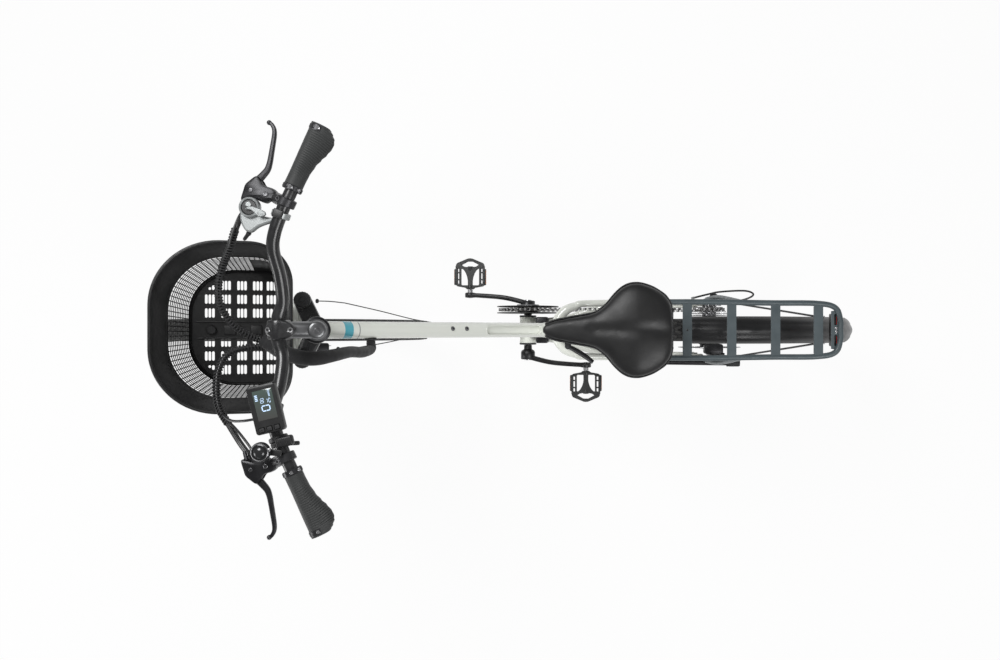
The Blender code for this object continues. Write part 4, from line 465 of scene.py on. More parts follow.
class Wiring:
    """Adds and joins nodes of one material."""

    def __init__(self, name):
        self.material = bpy.data.materials.new(name)
        self.material.use_nodes = True
        self.tree = self.material.node_tree
        self.shader = self.tree.nodes["Principled BSDF"]
        self.place = self.add("ShaderNodeTexCoord").outputs["Object"]
        self.normal = None

    def add(self, kind, **values):
        node = self.tree.nodes.new(kind)
        for key, value in values.items():
            setattr(node, key, value)
        return node

    def join(self, source, target):
        self.tree.links.new(source, target)

    def noise(self, scale, detail=4.0, rough=0.55, stretch=None):
        node = self.add("ShaderNodeTexNoise")
        node.inputs["Scale"].default_value = scale
        node.inputs["Detail"].default_value = detail
        node.inputs["Roughness"].default_value = rough
        source = self.place
        if stretch:
            mapping = self.add("ShaderNodeMapping")
            mapping.inputs["Scale"].default_value = stretch
            self.join(self.place, mapping.inputs["Vector"])
            source = mapping.outputs["Vector"]
        self.join(source, node.inputs["Vector"])
        return node.outputs["Fac"]

    def spread(self, value, low, high, from_low=0.3, from_high=0.7):
        node = self.add("ShaderNodeMapRange")
        node.inputs["From Min"].default_value = from_low
        node.inputs["From Max"].default_value = from_high
        node.inputs["To Min"].default_value = low
        node.inputs["To Max"].default_value = high
        self.join(value, node.inputs["Value"])
        return node.outputs["Result"]

    def mix(self, share, first, second):
        node = self.add("ShaderNodeMix", data_type="RGBA")
        for socket, value in ((node.inputs[6], first), (node.inputs[7], second)):
            if isinstance(value, (tuple, list)):
                socket.default_value = (*value[:3], 1)
            else:
                self.join(value, socket)
        if isinstance(share, float):
            node.inputs[0].default_value = share
        else:
            self.join(share, node.inputs[0])
        return node.outputs[2]

    def bump(self, height, strength, distance):
        node = self.add("ShaderNodeBump")
        node.inputs["Strength"].default_value = strength
        node.inputs["Distance"].default_value = distance
        self.join(height, node.inputs["Height"])
        if self.normal:
            self.join(self.normal, node.inputs["Normal"])
        self.normal = node.outputs["Normal"]
        self.join(self.normal, self.shader.inputs["Normal"])

    def wear_and_highlight_share(self, low, high):
        """A share that rises along sharp outer edges, for paler edges that are partly wear and partly a
        painted highlight.
        """
        edge = self.add("ShaderNodeNewGeometry").outputs["Pointiness"]
        return self.spread(edge, 0.0, 1.0, low, high)


def surface(
    name,
    colour,
    rough,
    metal=0.0,
    tint=0.10,
    tint_scale=30.0,
    rough_spread=0.06,
    rough_scale=60.0,
    grain=None,
    cells=None,
    coat=0.0,
    edge_wear_and_highlight=None,
    sheen=0.0,
    specular=0.5,
):
    """A finish with a drifting colour and gloss, a fine bump, and paler sharp edges that are partly wear and
    partly a painted highlight.
    """
    w = Wiring(name)
    dark = tuple(max(c * (1 - tint), 0) for c in colour)
    pale = tuple(min(c * (1 + tint), 1) for c in colour)
    shade = w.mix(w.spread(w.noise(tint_scale), 0.0, 1.0), dark, pale)
    if edge_wear_and_highlight:
        # Sharp edges turn paler: partly wear, partly a painted highlight along the edges.
        shade = w.mix(w.wear_and_highlight_share(*edge_wear_and_highlight[1:]), shade, edge_wear_and_highlight[0])
    w.join(shade, w.shader.inputs["Base Color"])
    gloss = w.spread(w.noise(rough_scale, 5.0), max(rough - rough_spread, 0.02), rough + rough_spread)
    w.join(gloss, w.shader.inputs["Roughness"])
    w.shader.inputs["Metallic"].default_value = metal
    w.shader.inputs["Coat Weight"].default_value = coat
    w.shader.inputs["Coat Roughness"].default_value = 0.08
    w.shader.inputs["Sheen Weight"].default_value = sheen
    w.shader.inputs["Specular IOR Level"].default_value = specular
    if grain:
        scale, strength, distance = grain
        w.bump(w.noise(scale, 3.0), strength, distance)
    if cells:
        scale, strength, distance = cells
        cell = w.add("ShaderNodeTexVoronoi", feature="SMOOTH_F1")
        cell.inputs["Scale"].default_value = scale
        w.join(w.place, cell.inputs["Vector"])
        w.bump(cell.outputs["Distance"], strength, distance)
    return w.material


FRAME_PAINT = surface(
    "frame_paint", (0.80, 0.82, 0.76), 0.22, tint=0.02, tint_scale=9, rough_spread=0.05,
    grain=(420, 0.06, 0.0004), coat=0.6,
)
TEAL_PAINT = surface("teal_paint", (0.10, 0.42, 0.52), 0.24, tint=0.05, grain=(420, 0.06, 0.0004), coat=0.5)
GREY_PAINT = surface("grey_paint", (0.30, 0.31, 0.31), 0.3, tint=0.05, grain=(420, 0.06, 0.0004), coat=0.4)
# The pale edge colours given below are partly wear and partly a painted highlight on sharp edges.
BLACK_PAINT = surface(
    "black_paint", (0.012, 0.012, 0.013), 0.30, tint=0.20, rough_spread=0.08, grain=(900, 0.10, 0.0003),
    coat=0.25, edge_wear_and_highlight=((0.05, 0.05, 0.052), 0.54, 0.64),
)
BLACK_ALLOY = surface(
    "black_alloy", (0.020, 0.020, 0.022), 0.34, metal=0.55, tint=0.25, rough_spread=0.08,
    grain=(1400, 0.12, 0.0002), edge_wear_and_highlight=((0.12, 0.12, 0.125), 0.55, 0.66),
)
CRANK_ALLOY = surface(
    "crank_alloy", (0.014, 0.014, 0.015), 0.36, metal=0.3, tint=0.2, rough_spread=0.10,
    grain=(700, 0.14, 0.0003), edge_wear_and_highlight=((0.10, 0.10, 0.105), 0.55, 0.66),
)
BLACK_PLASTIC = surface(
    "black_plastic", (0.0095, 0.0095, 0.0100), 0.42, tint=0.18, rough_spread=0.06,
    grain=(1600, 0.22, 0.0003), edge_wear_and_highlight=((0.03, 0.03, 0.032), 0.55, 0.66),
)
BASKET_PLASTIC = surface(
    "basket_plastic", (0.0080, 0.0080, 0.0084), 0.38, tint=0.16, tint_scale=22, rough_spread=0.08,
    rough_scale=35, grain=(900, 0.30, 0.0004), edge_wear_and_highlight=((0.026, 0.026, 0.027), 0.54, 0.64),
)
GUARD_PLASTIC = surface(
    "guard_plastic", (0.014, 0.014, 0.015), 0.36, tint=0.14, tint_scale=14, rough_spread=0.09,
    rough_scale=24, grain=(1100, 0.20, 0.0003),
)
GRIP_RUBBER = surface(
    "grip_rubber", (0.021, 0.0225, 0.0225), 0.62, tint=0.14, rough_spread=0.06, grain=(2400, 0.30, 0.0003),
    sheen=0.12,
)
SOFT_RUBBER = surface("soft_rubber", (0.016, 0.016, 0.017), 0.60, tint=0.15, grain=(1300, 0.25, 0.0003))
TYRE_RUBBER = surface(
    "tyre_rubber", (0.020, 0.020, 0.0205), 0.72, tint=0.30, tint_scale=18, rough_spread=0.10,
    grain=(900, 0.35, 0.0004), edge_wear_and_highlight=((0.040, 0.039, 0.038), 0.54, 0.64),
)
STEEL = surface(
    "steel", (0.46, 0.46, 0.47), 0.32, metal=1.0, tint=0.12, rough_spread=0.10, grain=(1500, 0.10, 0.0002)
)
DARK_STEEL = surface(
    "dark_steel", (0.10, 0.10, 0.105), 0.36, metal=0.9, tint=0.30, rough_spread=0.10,
    grain=(1100, 0.15, 0.0002), edge_wear_and_highlight=((0.40, 0.40, 0.41), 0.54, 0.62),
)
CHROME = surface(
    "chrome", (0.46, 0.46, 0.47), 0.26, metal=1.0, tint=0.05, rough_spread=0.05, grain=(600, 0.04, 0.0002)
)
SILVER_PAINT = surface(
    "silver_paint", (0.30, 0.315, 0.315), 0.36, metal=0.45, tint=0.05, rough_spread=0.06,
    grain=(1800, 0.14, 0.0002), coat=0.4,
)
RACK_PAINT = surface(
    "rack_paint", (0.060, 0.078, 0.086), 0.42, tint=0.14, tint_scale=20, rough_spread=0.09,
    grain=(1200, 0.24, 0.0003), edge_wear_and_highlight=((0.16, 0.18, 0.19), 0.55, 0.66),
)
AMBER_LENS = surface("amber_lens", (0.85, 0.24, 0.02), 0.16, tint=0.12, cells=(900, 0.5, 0.0008), coat=0.5)
RED_LENS = surface("red_lens", (0.62, 0.014, 0.012), 0.16, tint=0.12, cells=(700, 0.5, 0.0008), coat=0.6)
STEM_METAL = surface(
    "stem_metal", (0.16, 0.162, 0.166), 0.34, metal=0.85, tint=0.14, rough_spread=0.07,
    grain=(1600, 0.10, 0.0002), edge_wear_and_highlight=((0.25, 0.25, 0.26), 0.55, 0.64),
)
BELL_METAL = surface(
    "bell_metal", (0.035, 0.036, 0.038), 0.22, metal=0.7, tint=0.12, rough_spread=0.06,
    grain=(1200, 0.10, 0.0002), coat=0.5, edge_wear_and_highlight=((0.16, 0.16, 0.17), 0.55, 0.66),
)
PEDAL_PLASTIC = surface(
    "pedal_plastic", (0.020, 0.021, 0.0215), 0.44, tint=0.15, rough_spread=0.07, grain=(1500, 0.25, 0.0003),
    edge_wear_and_highlight=((0.07, 0.07, 0.072), 0.55, 0.66),
)
CHAIN_STEEL = surface(
    "chain_steel", (0.13, 0.125, 0.12), 0.34, metal=0.95, tint=0.22, tint_scale=80, rough_spread=0.10,
    grain=(1100, 0.15, 0.0002), edge_wear_and_highlight=((0.42, 0.42, 0.42), 0.53, 0.60),
)
CABLE_JACKET = surface(
    "cable_jacket", (0.014, 0.014, 0.015), 0.36, tint=0.15, grain=(1400, 0.10, 0.0002), coat=0.2
)
CASE_PLASTIC = surface(
    "case_plastic", (0.013, 0.013, 0.0135), 0.36, tint=0.10, rough_spread=0.05, grain=(2200, 0.12, 0.0002)
)


def leather():
    """Black vinyl with a fine pebbled grain, with painted shade darkening the hollows of the grain."""
    w = Wiring("saddle_leather")
    cell = w.add("ShaderNodeTexVoronoi", feature="SMOOTH_F1")
    cell.inputs["Scale"].default_value = 900
    w.join(w.place, cell.inputs["Vector"])
    shade = w.mix(w.spread(w.noise(12), 0.0, 1.0), (0.0085, 0.0085, 0.009), (0.0130, 0.0130, 0.0135))
    # Painted shade: the grain cells darken towards their borders, meant as the hollows of the grain.
    shade = w.mix(w.spread(cell.outputs["Distance"], 0.0, 0.5, 0.1, 0.8), shade, (0.004, 0.004, 0.004))
    w.join(shade, w.shader.inputs["Base Color"])
    w.join(w.spread(w.noise(26, 5.0), 0.36, 0.50), w.shader.inputs["Roughness"])
    w.bump(cell.outputs["Distance"], 0.30, 0.0003)
    w.bump(w.noise(90, 4.0), 0.10, 0.0012)
    w.shader.inputs["Coat Weight"].default_value = 0.05
    w.shader.inputs["Coat Roughness"].default_value = 0.30
    w.shader.inputs["Specular IOR Level"].default_value = 0.38
    return w.material


def woven(name, colour, scale, rough=0.75):
    """A woven cloth: two crossing rows of threads."""
    w = Wiring(name)
    waves = []
    for direction in ("X", "Y"):
        wave = w.add("ShaderNodeTexWave", wave_type="BANDS", bands_direction=direction)
        wave.inputs["Scale"].default_value = scale
        wave.inputs["Distortion"].default_value = 0.4
        w.join(w.place, wave.inputs["Vector"])
        waves.append(wave.outputs["Fac"])
    weave = w.add("ShaderNodeMath", operation="MULTIPLY")
    w.join(waves[0], weave.inputs[0])
    w.join(waves[1], weave.inputs[1])
    pale = tuple(c * 1.7 for c in colour)
    w.join(w.mix(weave.outputs[0], colour, pale), w.shader.inputs["Base Color"])
    w.join(w.spread(w.noise(60), rough - 0.08, rough + 0.08), w.shader.inputs["Roughness"])
    w.bump(weave.outputs[0], 0.5, 0.0004)
    w.shader.inputs["Sheen Weight"].default_value = 0.15
    return w.material


def spun(name, colour, rough, scale=700.0):
    """Metal with turning marks that run round its axis, across the bicycle."""
    w = Wiring(name)
    marks = w.noise(1.0, 3.0, stretch=(6, scale, 6))
    w.join(
        w.mix(w.spread(marks, 0.0, 1.0), tuple(c * 0.86 for c in colour), tuple(c * 1.1 for c in colour)),
        w.shader.inputs["Base Color"],
    )
    w.join(w.spread(marks, rough - 0.06, rough + 0.08), w.shader.inputs["Roughness"])
    w.shader.inputs["Metallic"].default_value = 1.0
    w.bump(marks, 0.12, 0.0002)
    return w.material


def glass_screen():
    """A dark display with a faint green and brown cast."""
    w = Wiring("display_screen")
    along = w.add("ShaderNodeSeparateXYZ")
    w.join(w.place, along.inputs["Vector"])
    share = w.spread(along.outputs["Y"], 0.0, 1.0, -0.160, -0.105)
    base = w.mix(share, (0.055, 0.047, 0.046), (0.060, 0.090, 0.078))
    w.join(w.mix(w.spread(w.noise(30), 0.0, 0.25), base, (0.03, 0.034, 0.036)), w.shader.inputs["Base Color"])
    w.join(w.spread(w.noise(80), 0.07, 0.14), w.shader.inputs["Roughness"])
    w.shader.inputs["Coat Weight"].default_value = 1.0
    w.shader.inputs["Coat Roughness"].default_value = 0.03
    return w.material


def glowing(name, colour, strength):
    w = Wiring(name)
    shade = w.mix(w.spread(w.noise(300), 0.0, 1.0), tuple(c * 0.85 for c in colour), colour)
    w.join(shade, w.shader.inputs["Base Color"])
    w.join(shade, w.shader.inputs["Emission Color"])
    w.shader.inputs["Emission Strength"].default_value = strength
    w.shader.inputs["Roughness"].default_value = 0.2
    return w.material


LEATHER = leather()
NEOPRENE = woven("neoprene", (0.010, 0.010, 0.011), 320, 0.82)
HUB_METAL = spun("hub_metal", (0.05, 0.05, 0.053), 0.34)
DISC_STEEL = spun("disc_steel", (0.55, 0.55, 0.56), 0.26)
SCREEN = glass_screen()
DIGITS = glowing("digits", (0.55, 0.72, 0.95), 0.35)


# Floor, light and the white surround

def backdrop():
    """White where the camera or a mirror sees it, and a plain pale diffuse floor for light."""
    w = Wiring("floor")
    w.shader.inputs["Roughness"].default_value = 0.9
    shade = w.mix(w.spread(w.noise(2.0), 0.0, 1.0), (0.86, 0.86, 0.86), (0.88, 0.88, 0.88))
    w.join(shade, w.shader.inputs["Base Color"])
    path = w.add("ShaderNodeLightPath")
    seen = w.add("ShaderNodeMath", operation="MAXIMUM")
    w.join(path.outputs["Is Camera Ray"], seen.inputs[0])
    w.join(path.outputs["Is Glossy Ray"], seen.inputs[1])
    either = w.add("ShaderNodeMath", operation="MAXIMUM")
    w.join(seen.outputs[0], either.inputs[0])
    w.join(path.outputs["Is Transmission Ray"], either.inputs[1])
    share = w.add("ShaderNodeMath", operation="MULTIPLY")
    share.inputs[1].default_value = 0.93
    w.join(either.outputs[0], share.inputs[0])
    white = w.add("ShaderNodeEmission")
    white.inputs["Color"].default_value = (1, 1, 1, 1)
    white.inputs["Strength"].default_value = 1.0
    both = w.add("ShaderNodeMixShader")
    w.join(share.outputs[0], both.inputs[0])
    w.join(w.shader.outputs[0], both.inputs[1])
    w.join(white.outputs[0], both.inputs[2])
    w.join(both.outputs[0], w.tree.nodes["Material Output"].inputs["Surface"])
    return w.material


def studio():
    shape = bmesh.new()
    bmesh.ops.create_grid(shape, x_segments=1, y_segments=1, size=12)
    floor = bpy.data.objects.new("floor", stored(shape))
    floor.data.materials.append(backdrop())
    scene.collection.objects.link(floor)
    world = bpy.data.worlds.new("surround")
    scene.world = world
    world.use_nodes = True
    tree = world.node_tree
    plain = tree.nodes["Background"]
    plain.inputs["Color"].default_value = (1, 1, 1, 1)
    plain.inputs["Strength"].default_value = 0.28
    seen = tree.nodes.new("ShaderNodeBackground")
    seen.inputs["Color"].default_value = (1, 1, 1, 1)
    seen.inputs["Strength"].default_value = 1.0
    path = tree.nodes.new("ShaderNodeLightPath")
    both = tree.nodes.new("ShaderNodeMixShader")
    tree.links.new(path.outputs["Is Camera Ray"], both.inputs[0])
    tree.links.new(plain.outputs[0], both.inputs[1])
    tree.links.new(seen.outputs[0], both.inputs[2])
    tree.links.new(both.outputs[0], tree.nodes["World Output"].inputs["Surface"])
    for name, place, size, power in (
        ("key_light", (-0.9, 1.2, 3.1), 1.3, 52),
        ("fill_light", (1.5, -1.4, 3.0), 1.6, 39),
        ("low_light", (-2.6, -1.2, 1.3), 1.2, 18),
    ):
        lamp = bpy.data.lights.new(name, "AREA")
        lamp.shape = "DISK"
        lamp.size = size
        lamp.energy = power
        made = bpy.data.objects.new(name, lamp)
        made.location = place
        way = Vector((0.0, 0, 0.5)) - Vector(place)
        made.rotation_euler = way.to_track_quat("-Z", "Y").to_euler()
        scene.collection.objects.link(made)


studio()


# Frame tubes

def tapered(points, radii, sides=28, steps=8, stretch=1.0, side=None):
    """A round tube through points, with a radius at each."""
    route = smooth_route(points, steps)

    def ring(index, share):
        place = min(index / steps, len(radii) - 1)
        low = min(int(place), len(radii) - 2)
        radius = radii[low] + (radii[low + 1] - radii[low]) * (place - low)
        return circle(radius, sides, stretch)

    return sweep(route, ring, side=side)


def ring_on(centre, axis, outer, low, high, soft=0.0006, inner=None, steps=48):
    """A turned ring with softened edges."""
    inside = outer - 0.003 if inner is None else inner
    return lathe(
        [
            (inside, high), (outer - soft, high), (outer, high - soft), (outer, low + soft),
            (outer - soft, low), (inside, low), (inside, high),
        ],
        centre,
        axis,
        steps,
    )


def main_frame():
    normal = Vector((-UPPER_AXIS.z, 0, UPPER_AXIS.x))
    lie = frame_of(UPPER_AXIS)
    channel_at = CHANNEL_MIDDLE + normal * UPPER_RADIUS
    channel = plate(slot_hole(0, 0, 0.165, 0.021, count=12), 0.020, channel_at, lie, bevel=0.0006)
    bore = tube([BRACKET + SEAT_AXIS * 0.18, BRACKET + SEAT_AXIS * 0.37], 0.0152, 40)
    upper = cut_by(tube([UPPER_START, UPPER_END], UPPER_RADIUS, 64), [channel, bore])
    piece("upper_tube", [upper], "frame", FRAME_PAINT, ["main_frame"])
    lip = []
    for x, y in smooth_flat(slot_hole(0, 0, 0.166, 0.0222, count=12)):
        rise = math.sqrt(max(UPPER_RADIUS ** 2 - y ** 2, 0))
        lip.append(CHANNEL_MIDDLE + UPPER_AXIS * x + RIGHT * y + normal * rise)
    piece(
        "channel_lip",
        [sweep(lip, lambda index, share: circle(0.0009, 8), closed=True)],
        "frame",
        FRAME_PAINT,
    )
    piece(
        "lower_tube",
        [tube([LOWER_START, BRACKET], LOWER_RADIUS, 56)],
        "frame",
        FRAME_PAINT,
    )
    seat_tube = lathe(
        [
            (0.0, 0.0), (0.0170, 0.0), (0.0170, 0.3192), (0.0164, 0.3200), (0.0150, 0.3200), (0.0147, 0.3192),
            (0.0147, 0.2900), (0.0, 0.2900),
        ],
        BRACKET,
        SEAT_AXIS,
        56,
    )
    piece("seat_tube", [seat_tube], "frame", FRAME_PAINT)
    head_tube = lathe(
        [
            (0.0150, 0.160), (0.0222, 0.160), (0.0230, 0.1585), (0.0230, 0.1500), (0.0220, 0.1480),
            (0.0220, 0.0120), (0.0230, 0.0100), (0.0230, 0.0015), (0.0222, 0.0), (0.0150, 0.0),
        ],
        on_steering(0.457),
        STEER_AXIS,
        64,
    )
    piece("head_tube", [head_tube], "frame", FRAME_PAINT)
    shell = lathe(
        [
            (0.0180, 0.034), (0.0207, 0.034), (0.0215, 0.0332), (0.0215, -0.0332), (0.0207, -0.034),
            (0.018, -0.034),
        ],
        BRACKET,
        RIGHT,
        56,
    )
    piece("bracket_shell", [shell], "frame", FRAME_PAINT)
    beads = [
        weld_bead(UPPER_START, UPPER_AXIS, UPPER_RADIUS, on_steering(0.5), STEER_AXIS, HEAD_RADIUS),
        weld_bead(LOWER_START, LOWER_AXIS, LOWER_RADIUS, on_steering(0.5), STEER_AXIS, HEAD_RADIUS),
        weld_bead(UPPER_END, -UPPER_AXIS, UPPER_RADIUS, BRACKET, SEAT_AXIS, SEAT_TUBE_RADIUS),
        weld_bead(BRACKET, -LOWER_AXIS, LOWER_RADIUS, BRACKET, RIGHT, SHELL_RADIUS),
        weld_bead(BRACKET, SEAT_AXIS, SEAT_TUBE_RADIUS, BRACKET, RIGHT, SHELL_RADIUS),
    ]
    piece("frame_welds", beads, "frame", FRAME_PAINT, angle=60)
    low, high = on_steering(0.446), on_steering(0.628)
    cups = [
        lathe(
            [
                (0.0152, 0.0), (0.0232, 0.0), (0.0240, 0.0008), (0.0240, 0.0046), (0.0231, 0.0051),
                (0.0231, 0.0061), (0.0240, 0.0066), (0.0240, 0.0102), (0.0232, 0.0110),
            ],
            low,
            STEER_AXIS,
            64,
        ),
        lathe(
            [
                (0.0150, 0.0), (0.0225, 0.0), (0.0250, -0.0012), (0.0260, -0.0030), (0.0260, -0.0068),
                (0.0250, -0.0073), (0.0250, -0.0082), (0.0260, -0.0087), (0.0260, -0.0106), (0.0242, -0.0110),
            ],
            high,
            STEER_AXIS,
            64,
        ),
    ]
    piece("headset_cups", cups, "frame", BLACK_ALLOY)
    cups = []
    for side in (1, -1):
        profile = [
            (0.0088, 0.0040), (0.0150, 0.0044), (0.0205, 0.0044), (0.0222, 0.0034), (0.0222, 0.0002),
            (0.0200, 0.0),
        ]
        cups.append(lathe(profile, BRACKET + RIGHT * side * 0.034, RIGHT * side, 56))
        for k in range(12):
            angle = math.radians(30 * k)
            spot = around(0.0216, side * 0.0362, angle)
            cups.append(
                box(BRACKET + spot, (0.0012, 0.0034, 0.0022), Matrix.Rotation(-angle, 3, "Y"), 0.0004, 2)
            )
    piece("bracket_cups", cups, "frame", BLACK_ALLOY)
    band = lathe(
        [(0.0174, 0.0), (0.01765, 0.0002), (0.01765, 0.0190), (0.0174, 0.0192)],
        UPPER_START + UPPER_AXIS * 0.0530,
        UPPER_AXIS,
        64,
    )
    piece("frame_band", [band], "frame", TEAL_PAINT)
    thin = lathe(
        [(0.0174, 0.0), (0.01765, 0.0002), (0.01765, 0.0022), (0.0174, 0.0024)],
        UPPER_START + UPPER_AXIS * 0.0850,
        UPPER_AXIS,
        64,
    )
    piece("frame_band_thin", [thin], "frame", GREY_PAINT)
    bolts = []
    for distance in (0.3137, 0.3516):
        foot = UPPER_START + UPPER_AXIS * distance
        bolts.append(bolt(foot + normal * 0.0176 + RIGHT * 0.003, normal + RIGHT * 0.17, 0.0036, 0.0022))
        bolts.append(
            lathe(
                [(0.0, 0.0006), (0.0050, 0.0006), (0.0052, -0.001)],
                foot + normal * 0.0173 + RIGHT * 0.003,
                normal + RIGHT * 0.17,
                32,
            )
        )
    for distance in (0.16, 0.225):
        foot = BRACKET - LOWER_AXIS * (0.30 + distance)
        away = Vector((-LOWER_AXIS.z, 0, LOWER_AXIS.x))
        bolts.append(bolt(foot + away * 0.0180, away, 0.0036, 0.0022))
    piece("frame_bolts", bolts, "frame", DARK_STEEL)


def smooth_flat(loop):
    """The points of a flat closed loop, with more between them."""
    route = []
    count = len(loop)
    for index, (x, y) in enumerate(loop):
        then = loop[(index + 1) % count]
        pieces_between = max(1, int(math.hypot(then[0] - x, then[1] - y) / 0.004))
        for step in range(pieces_between):
            share = step / pieces_between
            route.append((x + (then[0] - x) * share, y + (then[1] - y) * share))
    return route


SEATSTAY_JOIN = on_seat_tube(0.214)


def seatstay_points(side):
    return [
        SEATSTAY_JOIN + Vector((0.004, side * 0.0100, 0)),
        SEATSTAY_JOIN + Vector((0.013, side * 0.0310, 0)),
        SEATSTAY_JOIN + Vector((0.029, side * 0.0480, 0)),
        SEATSTAY_JOIN + Vector((0.052, side * 0.0575, -0.001)),
        SEATSTAY_JOIN + Vector((0.085, side * 0.0640, -0.004)),
        REAR_AXLE + Vector((-0.100, side * 0.0680, 0.075)),
        REAR_AXLE + Vector((-0.022, side * 0.0685, 0.020)),
    ]


def rear_triangle():
    for side, name in SIDES:
        stay = tapered(seatstay_points(side), [0.0128, 0.0124, 0.0116, 0.0096, 0.008, 0.008, 0.008], 40, 10)
        chainstay = tapered(
            [
                BRACKET + Vector((0.010, side * 0.021, 0.001)),
                BRACKET + Vector((0.070, side * 0.024, 0.006)),
                BRACKET + Vector((0.115, side * 0.033, 0.012)),
                BRACKET + Vector((0.160, side * 0.050, 0.018)),
                BRACKET + Vector((0.230, side * 0.060, 0.026)),
                REAR_AXLE + Vector((-0.030, side * 0.0675, -0.004)),
            ],
            [0.0095] * 6,
            36,
            10,
        )
        outline = arc((0, 0), 0.020, -100, 80, 24) + [
            (-0.006, 0.0300), (-0.0120, 0.0360), (-0.0180, 0.0350), (-0.0460, 0.0120), (-0.0480, 0.0060),
            (-0.0480, -0.0090), (-0.0440, -0.0140),
        ]
        dropout = plate(
            outline,
            0.006,
            REAR_AXLE + RIGHT * side * 0.0705,
            frame_of(REARWARD, UP),
            [round_hole(0, 0, 0.0063, 32)],
            bevel=0.0007,
        )
        shapes = [stay, chainstay, dropout]
        if side > 0:
            shapes.append(
                box(REAR_AXLE + Vector((0.013, 0.0705, -0.0216)), (0.020, 0.0058, 0.034), None, 0.0022)
            )
        else:
            mount = Vector((KICKSTAND_X, -0.062, 0.297))
            shapes.append(box(mount, (0.034, 0.026, 0.038), None, 0.004, 4))
        piece(f"rear_stay_{name}", shapes, "frame", FRAME_PAINT, [f"rear_stays_{name}"], 40)
    welds = []
    for side in (1, -1):
        flat = RIGHT * side
        welds.append(
            sweep(
                [
                    BRACKET
                    + Vector((0.020 + 0.0009 * math.cos(6.283 * k / 3), side * 0.022, 0.001))
                    + Vector((0, math.cos(6.283 * k / 60), math.sin(6.283 * k / 60))) * 0.0100
                    for k in range(60)
                ],
                lambda index, share: circle(0.0016, 8),
                closed=True,
            )
        )
        welds.append(
            sweep(
                [
                    REAR_AXLE + Vector((-0.041, 0, -0.002)) + flat * 0.0672
                    + Vector((0, math.cos(6.283 * k / 60), math.sin(6.283 * k / 60))) * 0.0098
                    for k in range(60)
                ],
                lambda index, share: circle(0.0015 * (1 + 0.15 * math.cos(2.1 * index)), 8),
                closed=True,
            )
        )
    piece("stay_welds", welds, "frame", FRAME_PAINT, angle=60)
    stand_bolts = [
        bolt(Vector((KICKSTAND_X, -0.0465, 0.297)) + Vector((x, 0, 0)), RIGHT, 0.0040, 0.0026)
        for x in (-0.008, 0.008)
    ]
    pin = lathe(
        [(0.0, 0.0), (0.0042, 0.0), (0.0049, -0.0006), (0.0049, -0.0160)],
        Vector((KICKSTAND_X, -0.0922, 0.288)),
        -RIGHT,
        32,
    )
    piece("kickstand_pin", [*stand_bolts, pin], "frame", DARK_STEEL)


main_frame()
rear_triangle()


# Fork

